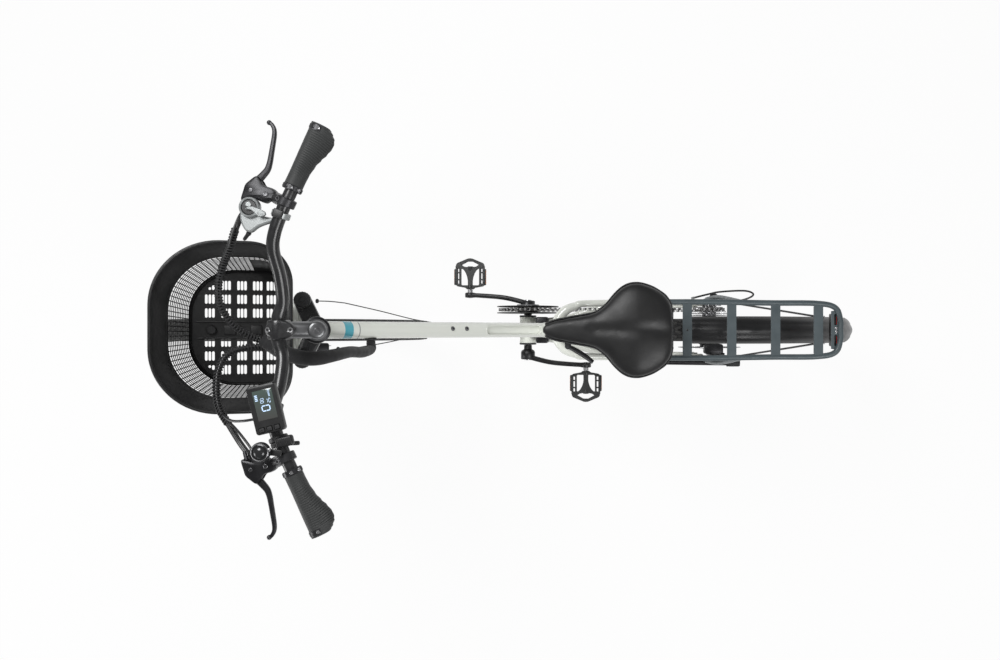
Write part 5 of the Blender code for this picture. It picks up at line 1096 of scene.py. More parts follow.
def fork():
    arms = []
    for side in (1, -1):
        bearing = math.degrees(math.atan2(side * LEG_SIDE, LEG_AHEAD))
        outline = arc((LEG_AHEAD, side * LEG_SIDE), 0.0182, bearing - 84, bearing + 84, 20)
        outline += arc((0.0, 0.0), 0.0196, bearing + 96, bearing + 264, 20)
        arms.append(plate(outline, 0.030, on_steering(0.427), CROWN_LEVEL, bevel=0.0065))
    boss = ring_on(on_steering(0.410), STEER_AXIS, 0.0205, 0.0, 0.034, 0.0016, 0.0, 56)
    steerer = tube([on_steering(0.43), on_steering(0.770)], 0.0142, 40)
    piece("crown", [*arms, boss, steerer], "steering", BLACK_PAINT, ["fork_crown"], 40)
    for side, name in SIDES:
        offset = side * LEG_SIDE
        leg = lathe(
            [(0.0, 0.120), (0.0138, 0.120), (0.0140, 0.1212), (0.0140, 0.418)],
            on_steering(0, LEG_AHEAD, offset),
            STEER_AXIS,
            48,
        )
        piece(f"stanchion_{name}", [leg], "steering", CHROME)
        knob = [
            (0.0172, 0.410), (0.0172, 0.4440), (0.0160, 0.4452), (0.0160, 0.4470), (0.0170, 0.4482),
            (0.0172, 0.4500), (0.0172, 0.4660), (0.0164, 0.4720), (0.0140, 0.4738), (0.0070, 0.4740),
            (0.0066, 0.4722), (0.0, 0.4722),
        ]
        shapes = [lathe(knob, on_steering(0, LEG_AHEAD, offset), STEER_AXIS, 60)]
        for k in range(20):
            angle = 2 * math.pi * k / 20
            normal, other = frames_along([on_steering(0), on_steering(1)])[0]
            spot = on_steering(0.4580, LEG_AHEAD, offset) + (
                normal * math.cos(angle) + other * math.sin(angle)
            ) * 0.0171
            shapes.append(tube([spot - STEER_AXIS * 0.0062, spot + STEER_AXIS * 0.0062], 0.0009, 8))
        piece(f"fork_knob_{name}", shapes, "steering", BLACK_PLASTIC)
    shapes = []
    seals = []
    for side in (1, -1):
        offset = side * LEG_SIDE
        profile = [
            (0.0, 0.0140), (0.0110, 0.0140), (0.0150, 0.0165), (0.0166, 0.0220), (0.0172, 0.0400),
            (0.0172, 0.2380), (0.0175, 0.2440), (0.0175, 0.2870), (0.0170, 0.2890), (0.0144, 0.2890),
        ]
        shapes.append(lathe(profile, on_steering(0, LEG_AHEAD, offset), STEER_AXIS, 56))
        ear = [
            (-0.016, -0.030), (0.016, -0.030), (0.017, -0.010), (0.015, 0.030), (0.006, 0.035),
            (-0.015, 0.035),
        ]
        shapes.append(
            plate(
                ear,
                0.007,
                on_steering(0.018, 0.035, side * 0.0535),
                frame_of(-STEER_AHEAD, STEER_AXIS),
                bevel=0.0010,
            )
        )
        seal = [(0.0142, 0.2890), (0.0172, 0.2890), (0.0168, 0.2920), (0.0152, 0.2945), (0.0143, 0.2950)]
        seals.append(lathe(seal, on_steering(0, LEG_AHEAD, offset), STEER_AXIS, 48))
    arch = [
        (0.255, 0.038, -0.060), (0.300, 0.052, -0.057), (0.338, 0.052, -0.038), (0.350, 0.052, 0.0),
        (0.338, 0.052, 0.038), (0.300, 0.052, 0.057), (0.255, 0.038, 0.060),
    ]
    for back in (0.0, 0.009, 0.018, 0.027):
        route = [
            on_steering(up - back * 0.1, ahead - back * (1 if abs(side) < 0.05 else 0.4), side)
            for up, ahead, side in arch
        ]
        shapes.append(tube(route, 0.0064, 28, 8, stretch=0.88))
    piece("fork_legs", shapes, "fork_lowers", FRAME_PAINT, ["fork_lower_legs"], 40)
    piece("fork_seals", seals, "fork_lowers", SOFT_RUBBER)


def axle_nuts(centre, level, radius, height):
    shapes = []
    for side in (1, -1):
        foot = centre + RIGHT * side * level
        shapes.append(bolt(foot + RIGHT * side * 0.0012, RIGHT * side, radius * 0.93, height, socket=False))
        shapes.append(ring_on(foot, RIGHT * side, radius * 1.10, 0.0, 0.0014, 0.0003, 0.0, 40))
    return shapes


def axles():
    shapes = [tube([FRONT_AXLE - RIGHT * 0.0648, FRONT_AXLE + RIGHT * 0.0648], 0.005, 24)]
    shapes += axle_nuts(FRONT_AXLE, 0.0575, 0.0088, 0.0055)
    piece("front_axle_nuts", shapes, "fork_lowers", STEEL, ["front_axle"])
    shapes = [tube([REAR_AXLE - RIGHT * 0.0850, REAR_AXLE + RIGHT * 0.0850], 0.0058, 24)]
    shapes += axle_nuts(REAR_AXLE, 0.0740, 0.0098, 0.0085)
    piece("rear_axle_nuts", shapes, "frame", STEEL, ["rear_axle"])


def caliper(name, body, centre, lie, size, disc_level, node, extra=()):
    """A disc caliper: a body with a slot over the disc, two bolts and the cable's arm."""
    body_shape = box(centre, size, lie, 0.0055, 4)
    slot = box(Vector((centre.x, disc_level, centre.z)), (size[0] * 2, 0.0040, size[2] * 0.9), lie, 0.0002, 1)
    drop = lie @ Vector((0, 0, -size[2] * 0.45))
    slot.transform(Matrix.Translation(drop))
    main = cut_by(body_shape, [slot])
    ahead = lie @ REARWARD
    out = -RIGHT
    face = centre + out * size[1] / 2
    arm = tapered(
        [face + ahead * 0.004, face + ahead * 0.018 + UP * 0.008, face + ahead * 0.024 + UP * 0.018],
        [0.0040, 0.0034, 0.0030],
        16,
        5,
    )
    dial = ring_on(face + ahead * 0.002 - UP * 0.002, out, 0.0110, -0.002, 0.0030, 0.0010, 0.0, 40)
    piece(name, [main, arm, dial, *extra], body, BLACK_ALLOY, [node], 40)
    bolts = [bolt(face - ahead * 0.014 + UP * z, out, 0.0034, 0.0022) for z in (-0.011, 0.011)]
    bolts.append(bolt(face + ahead * 0.002 - UP * 0.002 + out * 0.0030, out, 0.0042, 0.0014))
    piece(name + "_bolts", bolts, body, DARK_STEEL)


def calipers():
    lug = box(on_steering(0.060, 0.008, FRONT_DISC - 0.0125), (0.010, 0.0110, 0.028), SQUARE_TO_FORK, 0.002)
    caliper(
        "front_caliper_body",
        "fork_lowers",
        on_steering(0.060, -0.012, FRONT_DISC - 0.0035),
        SQUARE_TO_FORK,
        (0.039, 0.0235, 0.045),
        FRONT_DISC,
        "front_caliper",
        [lug],
    )
    mount = box(REAR_AXLE + Vector((0.002, -0.0620, 0.056)), (0.020, 0.0095, 0.060), None, 0.0025)
    caliper(
        "rear_caliper_body",
        "frame",
        REAR_AXLE + Vector((0, REAR_DISC - 0.0025, 0.080)),
        Matrix.Identity(3),
        (0.047, 0.0245, 0.034),
        REAR_DISC,
        "rear_caliper",
        [mount],
    )


fork()
axles()
calipers()


# Wheels

def tread(centre, body, name):
    """Blocks of the tread: a middle rib of arrows and a row of shoulder blocks at each side."""
    shape = bmesh.new()
    radius = WHEEL_RADIUS - 0.0034

    def block_at(angle, across, size, lean, rise):
        made = bmesh.ops.create_cube(shape, size=1)["verts"]
        fold = Matrix.Diagonal((*size, 1))
        place = (
            Matrix.Translation(centre)
            @ Matrix.Rotation(angle, 4, "Y")
            @ Matrix.Translation((0, across, radius - rise))
            @ Matrix.Rotation(-across / 0.030, 4, "X")
            @ Matrix.Rotation(lean, 4, "Z")
            @ fold
        )
        bmesh.ops.transform(shape, matrix=place, verts=made)

    count = 96
    for k in range(count):
        angle = 2 * math.pi * k / count
        block_at(angle, 0.0042, (0.0150, 0.0062, 0.0052), 0.42, 0.0000)
        block_at(angle, -0.0042, (0.0150, 0.0062, 0.0052), -0.42, 0.0000)
        half = angle + math.pi / count
        for side in (1, -1):
            block_at(half, side * 0.0128, (0.0125, 0.0058, 0.0052), side * 0.25, 0.0032)
            block_at(angle, side * 0.0196, (0.0105, 0.0062, 0.0052), side * -0.10, 0.0086)
    made = stored(shape)
    piece(name, [made], body, TYRE_RUBBER)


def wheel(prefix, body, centre):
    half = 0.0252
    inner = WHEEL_RADIUS - 0.050
    middle = inner + 0.0275
    tall = WHEEL_RADIUS - 0.0028 - middle
    outside = [
        (middle + tall * math.sin(math.radians(a)), half * math.cos(math.radians(a)))
        for a in range(0, 181, 10)
    ]
    bead = 0.013
    profile = [(inner, bead), (inner + 0.004, bead + 0.0022), (inner + 0.006, bead + 0.0012)]
    profile += [(inner + 0.012, half * 0.88)] + outside + [(inner + 0.012, -half * 0.88)]
    profile += [
        (inner + 0.006, -bead - 0.0012), (inner + 0.004, -bead - 0.0022), (inner, -bead), (inner, bead)
    ]
    piece(
        prefix + "_tyre_body",
        [lathe(profile, centre, RIGHT, 128)],
        body,
        TYRE_RUBBER,
        [prefix + "_tyre"],
        50,
    )
    tread(centre, body, prefix + "_tyre_tread")
    high = inner - 0.0006
    rim = lathe(
        [
            (high, 0.0126), (high + 0.0002, 0.0142), (high - 0.0010, 0.0150), (high - 0.0100, 0.0146),
            (high - 0.0120, 0.0128), (high - 0.0190, 0.0070), (high - 0.0200, 0.0050),
            (high - 0.0200, -0.0050), (high - 0.0190, -0.0070), (high - 0.0120, -0.0128),
            (high - 0.0100, -0.0146), (high - 0.0010, -0.0150), (high + 0.0002, -0.0142), (high, -0.0126),
            (high, 0.0126),
        ],
        centre,
        RIGHT,
        128,
    )
    piece(prefix + "_rim_hoop", [rim], body, BLACK_ALLOY, [prefix + "_rim"], 40)
    away = Vector((math.sin(0.9), 0, math.cos(0.9)))
    foot = centre + away * (high - 0.020)
    valve = lathe(
        [
            (0.0, 0.034), (0.0030, 0.034), (0.0038, 0.0325), (0.0038, 0.020), (0.0030, 0.019),
            (0.0030, 0.004), (0.0048, 0.0035), (0.0048, 0.0),
        ],
        foot,
        -away,
        24,
    )
    piece(prefix + "_valve", [valve], body, SOFT_RUBBER)
    return high - 0.020


def laced(prefix, body, centre, rim_radius, flange_radius, offsets):
    """Thirty-six spokes in crossing pairs, with heads at the flanges and nipples at the rim."""
    wires = []
    nipples = []
    for side, offset in enumerate(offsets):
        for number in range(18):
            leading = number % 2
            angle = number * 2 * math.pi / 18 + side * math.pi / 18
            swing = (1 if leading else -1) * math.radians(38 if flange_radius < 0.04 else 20)
            across = offset + (0.0018 if leading else -0.0018)
            start = Vector(
                (flange_radius * math.cos(angle + swing), across, flange_radius * math.sin(angle + swing))
            )
            level = 0.003 if side else -0.003
            end = around(rim_radius, level, angle)
            wires.append(tube([centre + start, centre + end], 0.0010, 10))
            way = (start - end).normalized()
            nipples.append(
                lathe(
                    [(0.0, 0.0110), (0.0014, 0.0108), (0.0019, 0.0095), (0.0020, 0.0)],
                    centre + end - way * 0.001,
                    way,
                    10,
                )
            )
            nipples.append(
                lathe(
                    [(0.0, 0.0008), (0.0017, 0.0004), (0.0020, -0.0006)],
                    centre + start,
                    RIGHT * (1 if leading else -1),
                    10,
                )
            )
    piece(prefix + "_spokes", wires, body, DARK_STEEL)
    piece(prefix + "_nipples", nipples, body, STEEL)


def brake_disc(prefix, body, centre, level):
    windows = []
    for number in range(5):
        start = number * 72 + 14
        windows.append(
            arc((0, 0), 0.063, start, start + 46, 12) + arc((0, 0), 0.030, start + 58, start + 12, 8)
        )
    holes = [round_hole(0, 0, 0.0117, 40)]
    for number in range(40):
        angle = math.radians(9 * number)
        for radius, lag in ((0.0690, 0.0), (0.0725, 0.05), (0.0760, 0.10)):
            if (number + round(lag * 20)) % 2:
                continue
            holes.append(
                round_hole(radius * math.cos(angle + lag), radius * math.sin(angle + lag), 0.0014, 8)
            )
    ring = plate(
        arc((0, 0), 0.080, 0, 357, 119),
        0.002,
        centre + RIGHT * level,
        frame_of(REARWARD, UP),
        windows + holes,
        0.0002,
    )
    piece(prefix + "_rotor", [ring], body, DISC_STEEL, [prefix + "_brake_disc"])
    bolts = []
    for k in range(6):
        angle = math.radians(60 * k + 20)
        spot = centre + around(0.0220, level - 0.0010, angle)
        bolts.append(bolt(spot, -RIGHT, 0.0034, 0.0020))
    piece(prefix + "_rotor_bolts", bolts, body, DARK_STEEL)


def wheels():
    rim_radius = wheel("front", "front_wheel", FRONT_AXLE)
    hub = [
        (0.0054, 0.049), (0.0100, 0.049), (0.0110, 0.048), (0.0110, 0.0340), (0.0130, 0.0330),
        (0.0262, 0.0330), (0.0270, 0.0322), (0.0270, 0.0258), (0.0262, 0.0250), (0.0200, 0.0240),
        (0.0165, 0.0190), (0.0158, 0.0),
    ]
    hub += [(radius, -height) for radius, height in reversed(hub[:-1])]
    piece(
        "front_hub_shell",
        [lathe(hub, FRONT_AXLE, RIGHT, 64)],
        "front_wheel",
        HUB_METAL,
        ["front_hub"],
        40,
    )
    laced("front", "front_wheel", FRONT_AXLE, rim_radius, 0.024, (-0.029, 0.029))
    brake_disc("front", "front_wheel", FRONT_AXLE, FRONT_DISC)
    rim_radius = wheel("rear", "rear_wheel", REAR_AXLE)
    right, left = 0.029, -0.033
    motor = [
        (0.0064, right + 0.002), (0.0300, right + 0.0012), (0.0320, right - 0.0005), (0.0460, right - 0.0010),
        (0.0500, right - 0.0002), (0.0560, right - 0.0040), (0.0660, right - 0.0095),
        (0.0692, right - 0.0100), (0.0700, right - 0.0110), (0.0700, right - 0.0155),
        (0.0690, right - 0.0165), (0.0640, right - 0.0170), (0.0620, right - 0.0190), (0.0620, 0.0050),
        (0.0612, 0.0040), (0.0612, 0.0000), (0.0620, -0.0010), (0.0620, left + 0.0190),
        (0.0640, left + 0.0170), (0.0690, left + 0.0165), (0.0700, left + 0.0155), (0.0700, left + 0.0110),
        (0.0692, left + 0.0100), (0.0660, left + 0.0095), (0.0560, left + 0.0040), (0.0500, left + 0.0002),
        (0.0300, left - 0.0006), (0.0240, left - 0.0040), (0.0240, left - 0.0100), (0.0064, left - 0.0100),
    ]
    piece(
        "motor_shell",
        [lathe(motor, REAR_AXLE, RIGHT, 96)],
        "rear_wheel",
        HUB_METAL,
        ["rear_motor_hub"],
        40,
    )
    screws = []
    for side, level in ((1, right - 0.0030), (-1, left + 0.0030)):
        for k in range(8):
            angle = math.radians(45 * k + 10)
            spot = REAR_AXLE + around(0.0545, level, angle)
            screws.append(bolt(spot, RIGHT * side, 0.0030, 0.0016))
    piece("motor_screws", screws, "rear_wheel", DARK_STEEL)
    laced("rear", "rear_wheel", REAR_AXLE, rim_radius, 0.067, (left + 0.013, right - 0.013))
    brake_disc("rear", "rear_wheel", REAR_AXLE, REAR_DISC)


wheels()


# Handlebar, stem and controls

BAR_POINTS = [
    (0.0000, 0.0000, 0.000), (0.0016, 0.0280, 0.001), (0.0087, 0.0514, 0.006), (0.0085, 0.0941, 0.020),
    (0.0025, 0.1360, 0.034), (0.0072, 0.1662, 0.040), (0.0236, 0.2084, 0.043), (0.0359, 0.2338, 0.044),
    (0.0860, 0.3480, 0.040),
]
LEVER_PIVOT = Vector((-0.356787, 0.238, 1.09239))
SHIFTER_CENTRE = Vector((-0.354787, 0.2075, 1.10839))
BELL_CENTRE = Vector((-0.326787, -0.203, 1.13339))
HOSE_WAY = Vector((-0.43, -0.86, -0.28)).normalized()
HOSE_START = LEVER_PIVOT + HOSE_WAY * 0.024
BAR_BORE = 0.0114
DISPLAY_TILT = Matrix.Rotation(math.radians(13.6), 3, "Z")


def bar_point(index, share=0.0, side=1):
    here = Vector(BAR_POINTS[index])
    there = Vector(BAR_POINTS[min(index + 1, len(BAR_POINTS) - 1)])
    place = here.lerp(there, share)
    return BAR_CLAMP + Vector((place.x, side * place.y, place.z))


GRIP_START = bar_point(7, 0.02)
GRIP_END = bar_point(8)
GRIP_AXIS = (GRIP_END - GRIP_START).normalized()


def both_sides(name, shapes, bodies, material, nodes=(), angle=32):
    """The right-hand piece and its mirror image."""
    for side, change in (("right", lambda mesh: mesh), ("left", mirrored)):
        piece(
            f"{name}_{side}",
            [change(mesh) for mesh in shapes],
            bodies.format(side),
            material,
            [node.format(side) for node in nodes],
            angle,
        )


def handlebar():
    left = [bar_point(index, side=-1) for index in range(len(BAR_POINTS) - 1, 0, -1)]
    right = [bar_point(index) for index in range(len(BAR_POINTS))]
    clamped = [BAR_CLAMP + RIGHT * side * 0.0185 for side in (-1, 1)]
    route = smooth_route([*left, clamped[0], right[0], clamped[1], *right[1:]], 8)

    def ring(index, share):
        reach = abs(route[index].y)
        wide = min(max((0.042 - reach) / 0.018, 0), 1)
        return circle(0.0110 + 0.0017 * wide, 32)

    bar = sweep(route, ring)
    piece("bar", [bar], "steering", BLACK_PAINT, ["handlebar"], 50)


def stem():
    tower = lathe(
        [
            (0.0148, 0.0), (0.0188, 0.0), (0.0196, 0.0012), (0.0196, 0.0060), (0.0166, 0.0085),
            (0.0164, 0.0320), (0.0155, 0.0372), (0.0130, 0.0396), (0.0090, 0.0400), (0.0, 0.0400),
        ],
        on_steering(0.732),
        STEER_AXIS,
        64,
    )
    arm = box(on_steering(0.752, 0.029), (0.058, 0.0300, 0.0330), SQUARE_TO_FORK, 0.0115, 8)
    piece("stem_arm", [tower, arm], "steering", STEM_METAL, ["stem"], 45)
    spacers = [
        ring_on(on_steering(0.6283 + 0.0215 * k), STEER_AXIS, 0.0182, 0.0002, 0.0211, 0.0007, 0.0148, 56)
        for k in range(5)
    ]
    piece("stem_spacers", spacers, "steering", BLACK_ALLOY)
    barrel = [
        (0.0132, 0.0174), (0.0165, 0.0175), (0.0190, 0.0160), (0.0198, 0.0125), (0.0200, 0.0),
        (0.0198, -0.0125), (0.0190, -0.0160), (0.0165, -0.0175), (0.0132, -0.0174),
    ]
    clamp = lathe(barrel, BAR_CLAMP, RIGHT, 72)
    cap = plate(
        [(0.0262 * math.cos(6.2832 * k / 48), 0.0176 * math.sin(6.2832 * k / 48)) for k in range(48)],
        0.0110,
        BAR_CLAMP + Vector((0.0070, 0, 0.0135)),
        Matrix.Identity(3),
        bevel=0.0040,
    )
    piece("stem_clamp", [clamp, cap], "steering", BLACK_PAINT, angle=45)
    bolts = [
        bolt(BAR_CLAMP + Vector((-0.0120, 0, 0.0172)), Vector((-0.25, 0, 1)), 0.0048, 0.0040),
        bolt(BAR_CLAMP + Vector((0.0262, 0, 0.0172)), Vector((0.20, 0, 1)), 0.0048, 0.0040),
    ]
    piece("stem_bolts", bolts, "steering", CHROME)
    centre = bolt(on_steering(0.7716), STEER_AXIS, 0.0046, 0.0026)
    collar = ring_on(on_steering(0.7712), STEER_AXIS, 0.0066, 0.0, 0.0016, 0.0005, 0.0, 48)
    piece("stem_centre_bolt", [centre, collar], "steering", DARK_STEEL)


def grips():
    rearward = GRIP_AXIS.cross(UP).normalized()
    rearward = rearward if rearward.x > 0 else -rearward
    upward = GRIP_AXIS.cross(rearward).normalized()
    upward = upward if upward.z > 0 else -upward
    length = (GRIP_END - GRIP_START).length - 0.002
    stations = [
        (0.0100, 0.0158, 0.0158, 0.0158), (0.0200, 0.0156, 0.0158, 0.0157), (0.0350, 0.0154, 0.0166, 0.0158),
        (0.0550, 0.0155, 0.0200, 0.0162), (0.0680, 0.0157, 0.0248, 0.0162), (0.0800, 0.0158, 0.0300, 0.0160),
        (0.0920, 0.0160, 0.0336, 0.0154), (0.1000, 0.0160, 0.0340, 0.0150), (0.1080, 0.0160, 0.0314, 0.0150),
        (0.1150, 0.0161, 0.0256, 0.0152), (0.1200, 0.0162, 0.0200, 0.0156), (0.1225, 0.0162, 0.0164, 0.0160),
    ]

    def at(distance):
        for low, high in zip(stations, stations[1:]):
            if distance <= high[0]:
                share = (distance - low[0]) / (high[0] - low[0])
                share = share * share * (3 - 2 * share)
                return [a + (b - a) * share for a, b in zip(low[1:], high[1:])]
        return stations[-1][1:]

    rings = []
    first, last, sides = 0.0102, 0.1222, 64
    count = 224
    for index in range(count + 1):
        distance = first + (last - first) * index / count
        front, rear, tall = at(distance)
        ring = []
        for number in range(sides):
            angle = 2 * math.pi * number / sides
            across, height = math.cos(angle), math.sin(angle)
            reach = rear if across > 0 else front
            fan = min(max((distance - 0.020) / 0.020, 0), 1) * min(max((0.116 - distance) / 0.012, 0), 1)
            lean = distance + 0.010 * across * abs(across) * (0.6 if across > 0 else 0.1)
            groove = (0.5 + 0.5 * math.cos(2 * math.pi * lean / 0.0040)) ** 3
            ripple = -0.0016 * fan * math.sqrt(max(height, 0.0)) * min(max(across + 0.5, 0), 1) * groove
            fine = 0.00018 * math.cos(2 * math.pi * distance / 0.0017) * max(-across, 0)
            swell = 1 + (ripple + fine) / 0.016
            spot = rearward * across * reach * swell + upward * height * tall * swell
            ring.append(GRIP_START + GRIP_AXIS * distance + spot)
        rings.append(ring)
    both_sides("grip_body", [loft(rings)], "steering", GRIP_RUBBER, ["grip_{}"], 70)
    clamps = []
    for low, high in ((0.0002, 0.0100), (length - 0.0108, length)):
        base = GRIP_START + GRIP_AXIS * low
        clamps.append(ring_on(base, GRIP_AXIS, 0.0166, 0.0, high - low, 0.0010, 0.0113, 56))
        for k in range(10):
            angle = 2 * math.pi * k / 10
            spot = (rearward * math.cos(angle) + upward * math.sin(angle)) * 0.0166
            lie = Matrix((GRIP_AXIS, spot.normalized(), GRIP_AXIS.cross(spot.normalized()))).transposed()
            clamps.append(
                box(
                    base + GRIP_AXIS * (high - low) * 0.5 + spot,
                    ((high - low) * 0.62, 0.0014, 0.0042),
                    lie,
                    0.0005,
                    2,
                )
            )
    both_sides("grip_clamps", clamps, "steering", BLACK_ALLOY)
    bolts = []
    for level in (0.0052, length - 0.0056):
        for angle in (0.55, 1.35):
            away = rearward * math.cos(angle) + upward * math.sin(angle)
            bolts.append(bolt(GRIP_START + GRIP_AXIS * level + away * 0.0166, away, 0.0030, 0.0022))
    cap = lathe(
        [(0.0, 0.0028), (0.0060, 0.0026), (0.0110, 0.0012), (0.0128, 0.0), (0.0128, -0.001)],
        GRIP_START + GRIP_AXIS * length,
        GRIP_AXIS,
        40,
    )
    both_sides("grip_bolts", bolts, "steering", CHROME)
    both_sides("grip_cap", [cap], "steering", BLACK_PLASTIC)


# Outlines of the lever's body and of the shifter, seen from above, in metres
LEVER_BODY = [
    (-0.3748, 0.2226), (-0.3708, 0.2390), (-0.3672, 0.2490), (-0.3600, 0.2556), (-0.3512, 0.2622),
    (-0.3455, 0.2620), (-0.3392, 0.2545), (-0.3336, 0.2462), (-0.3214, 0.2420), (-0.3152, 0.2362),
    (-0.3140, 0.2312), (-0.3060, 0.2262), (-0.3030, 0.2196), (-0.3080, 0.2120), (-0.3180, 0.2160),
    (-0.3262, 0.2206), (-0.3340, 0.2172), (-0.3470, 0.2218), (-0.3540, 0.2250), (-0.3640, 0.2226),
]
SHIFTER_BODY = [
    (-0.3450, 0.2010), (-0.3400, 0.1965), (-0.3300, 0.1930), (-0.3160, 0.1893), (-0.3180, 0.1832),
    (-0.3280, 0.1800), (-0.3420, 0.1745), (-0.3540, 0.1660), (-0.3630, 0.1680), (-0.3700, 0.1780),
    (-0.3735, 0.1920), (-0.3700, 0.2070), (-0.3550, 0.2200), (-0.3400, 0.2100),
]


def rounded(outline, steps=5):
    """A smooth closed outline through the points."""
    return [(p.x, p.y) for p in smooth_route([Vector((x, y, 0)) for x, y in outline], steps, True)]


def brake_controls():
    clamp_middle = bar_point(6, 0.35)
    clamp_axis = (bar_point(7) - bar_point(6)).normalized()
    level = LEVER_PIVOT.z
    body = plate(
        rounded(LEVER_BODY), 0.0200, Vector((0, 0, level - 0.0005)), Matrix.Identity(3), bevel=0.0044
    )
    slot = plate(
        [(-0.3640, 0.2420), (-0.3500, 0.2720), (-0.3250, 0.2720), (-0.3340, 0.2380), (-0.3500, 0.2300)],
        0.0100,
        Vector((0, 0, level)),
        Matrix.Identity(3),
        bevel=0.0003,
    )
    band = ring_on(clamp_middle, clamp_axis, 0.0166, -0.0072, 0.0072, 0.0012, BAR_BORE, 56)
    bridge = tube(
        [clamp_middle + Vector((-0.006, 0.002, 0.002)), Vector((-0.3180, 0.2270, level - 0.001))], 0.0098, 24
    )
    barrels = []
    for lag, reach in ((0.0, 0.0), (0.0125, 0.004)):
        foot = Vector((-0.3660 + lag, 0.2290, level - 0.002))
        way = Vector((-0.30, -0.93, -0.10)).normalized()
        barrels.append(
            lathe(
                [
                    (0.0, 0.0), (0.0052, 0.0), (0.0054, 0.0060), (0.0046, 0.0070), (0.0046, 0.0090),
                    (0.0038, 0.0100), (0.0036, 0.0190), (0.0028, 0.0220), (0.0, 0.0220),
                ],
                foot + way * reach,
                way,
                24,
            )
        )
    main = cut_by(body, [slot])
    shapes = [main, band, bridge, *barrels]
    both_sides("brake_body", shapes, "steering", BLACK_ALLOY, ["brake_housing_{}"], 40)
    fixings = [
        bolt(Vector((-0.3310, 0.2318, level + 0.0095)), UP, 0.0042, 0.0022),
        bolt(LEVER_PIVOT + UP * 0.0096, UP, 0.0034, 0.0012),
        bolt(Vector((-0.3085, 0.2255, level + 0.0095)), UP, 0.0034, 0.0018),
        bolt(
            clamp_middle + clamp_axis.cross(UP).normalized() * -0.010 + UP * 0.0120,
            Vector((-0.3, 0, 1)),
            0.0040,
            0.0030,
        ),
    ]
    both_sides("brake_bolts", fixings, "steering", DARK_STEEL)
    blade_points = [
        (-0.3568, 0.2380, 0.0064), (-0.3500, 0.2530, 0.0066), (-0.3400, 0.2640, 0.0060),
        (-0.3318, 0.2740, 0.0052), (-0.3278, 0.2850, 0.0046), (-0.3250, 0.2999, 0.0042),
        (-0.3220, 0.3180, 0.0040), (-0.3196, 0.3340, 0.0037), (-0.3200, 0.3440, 0.0034),
        (-0.3240, 0.3520, 0.0032), (-0.3284, 0.3552, 0.0032),
    ]
    halves = [half for x, y, half in blade_points]
    route = smooth_route([Vector((x, y, level)) for x, y, half in blade_points], 7)

    def section(index, share):
        half = between(halves, min(index / 7, len(halves) - 1.001))
        return squarish(0.0044 - 0.0010 * share, half, 0.55, 24)

    blade = sweep(route, section, side=UP)
    tip = lathe(
        [
            (0.0, 0.0042), (0.0030, 0.0034), (0.0042, 0.0010), (0.0042, -0.0010), (0.0030, -0.0034),
            (0.0, -0.0042),
        ],
        Vector((-0.3284, 0.3552, level)),
        UP,
        28,
    )
    hub = ring_on(LEVER_PIVOT, UP, 0.0094, -0.0044, 0.0044, 0.0006, 0.0031, 40)
    both_sides(
        "brake_blade", [blade, tip, hub], "brake_lever_{}", BLACK_ALLOY, ["brake_lever_{}"], 50
    )


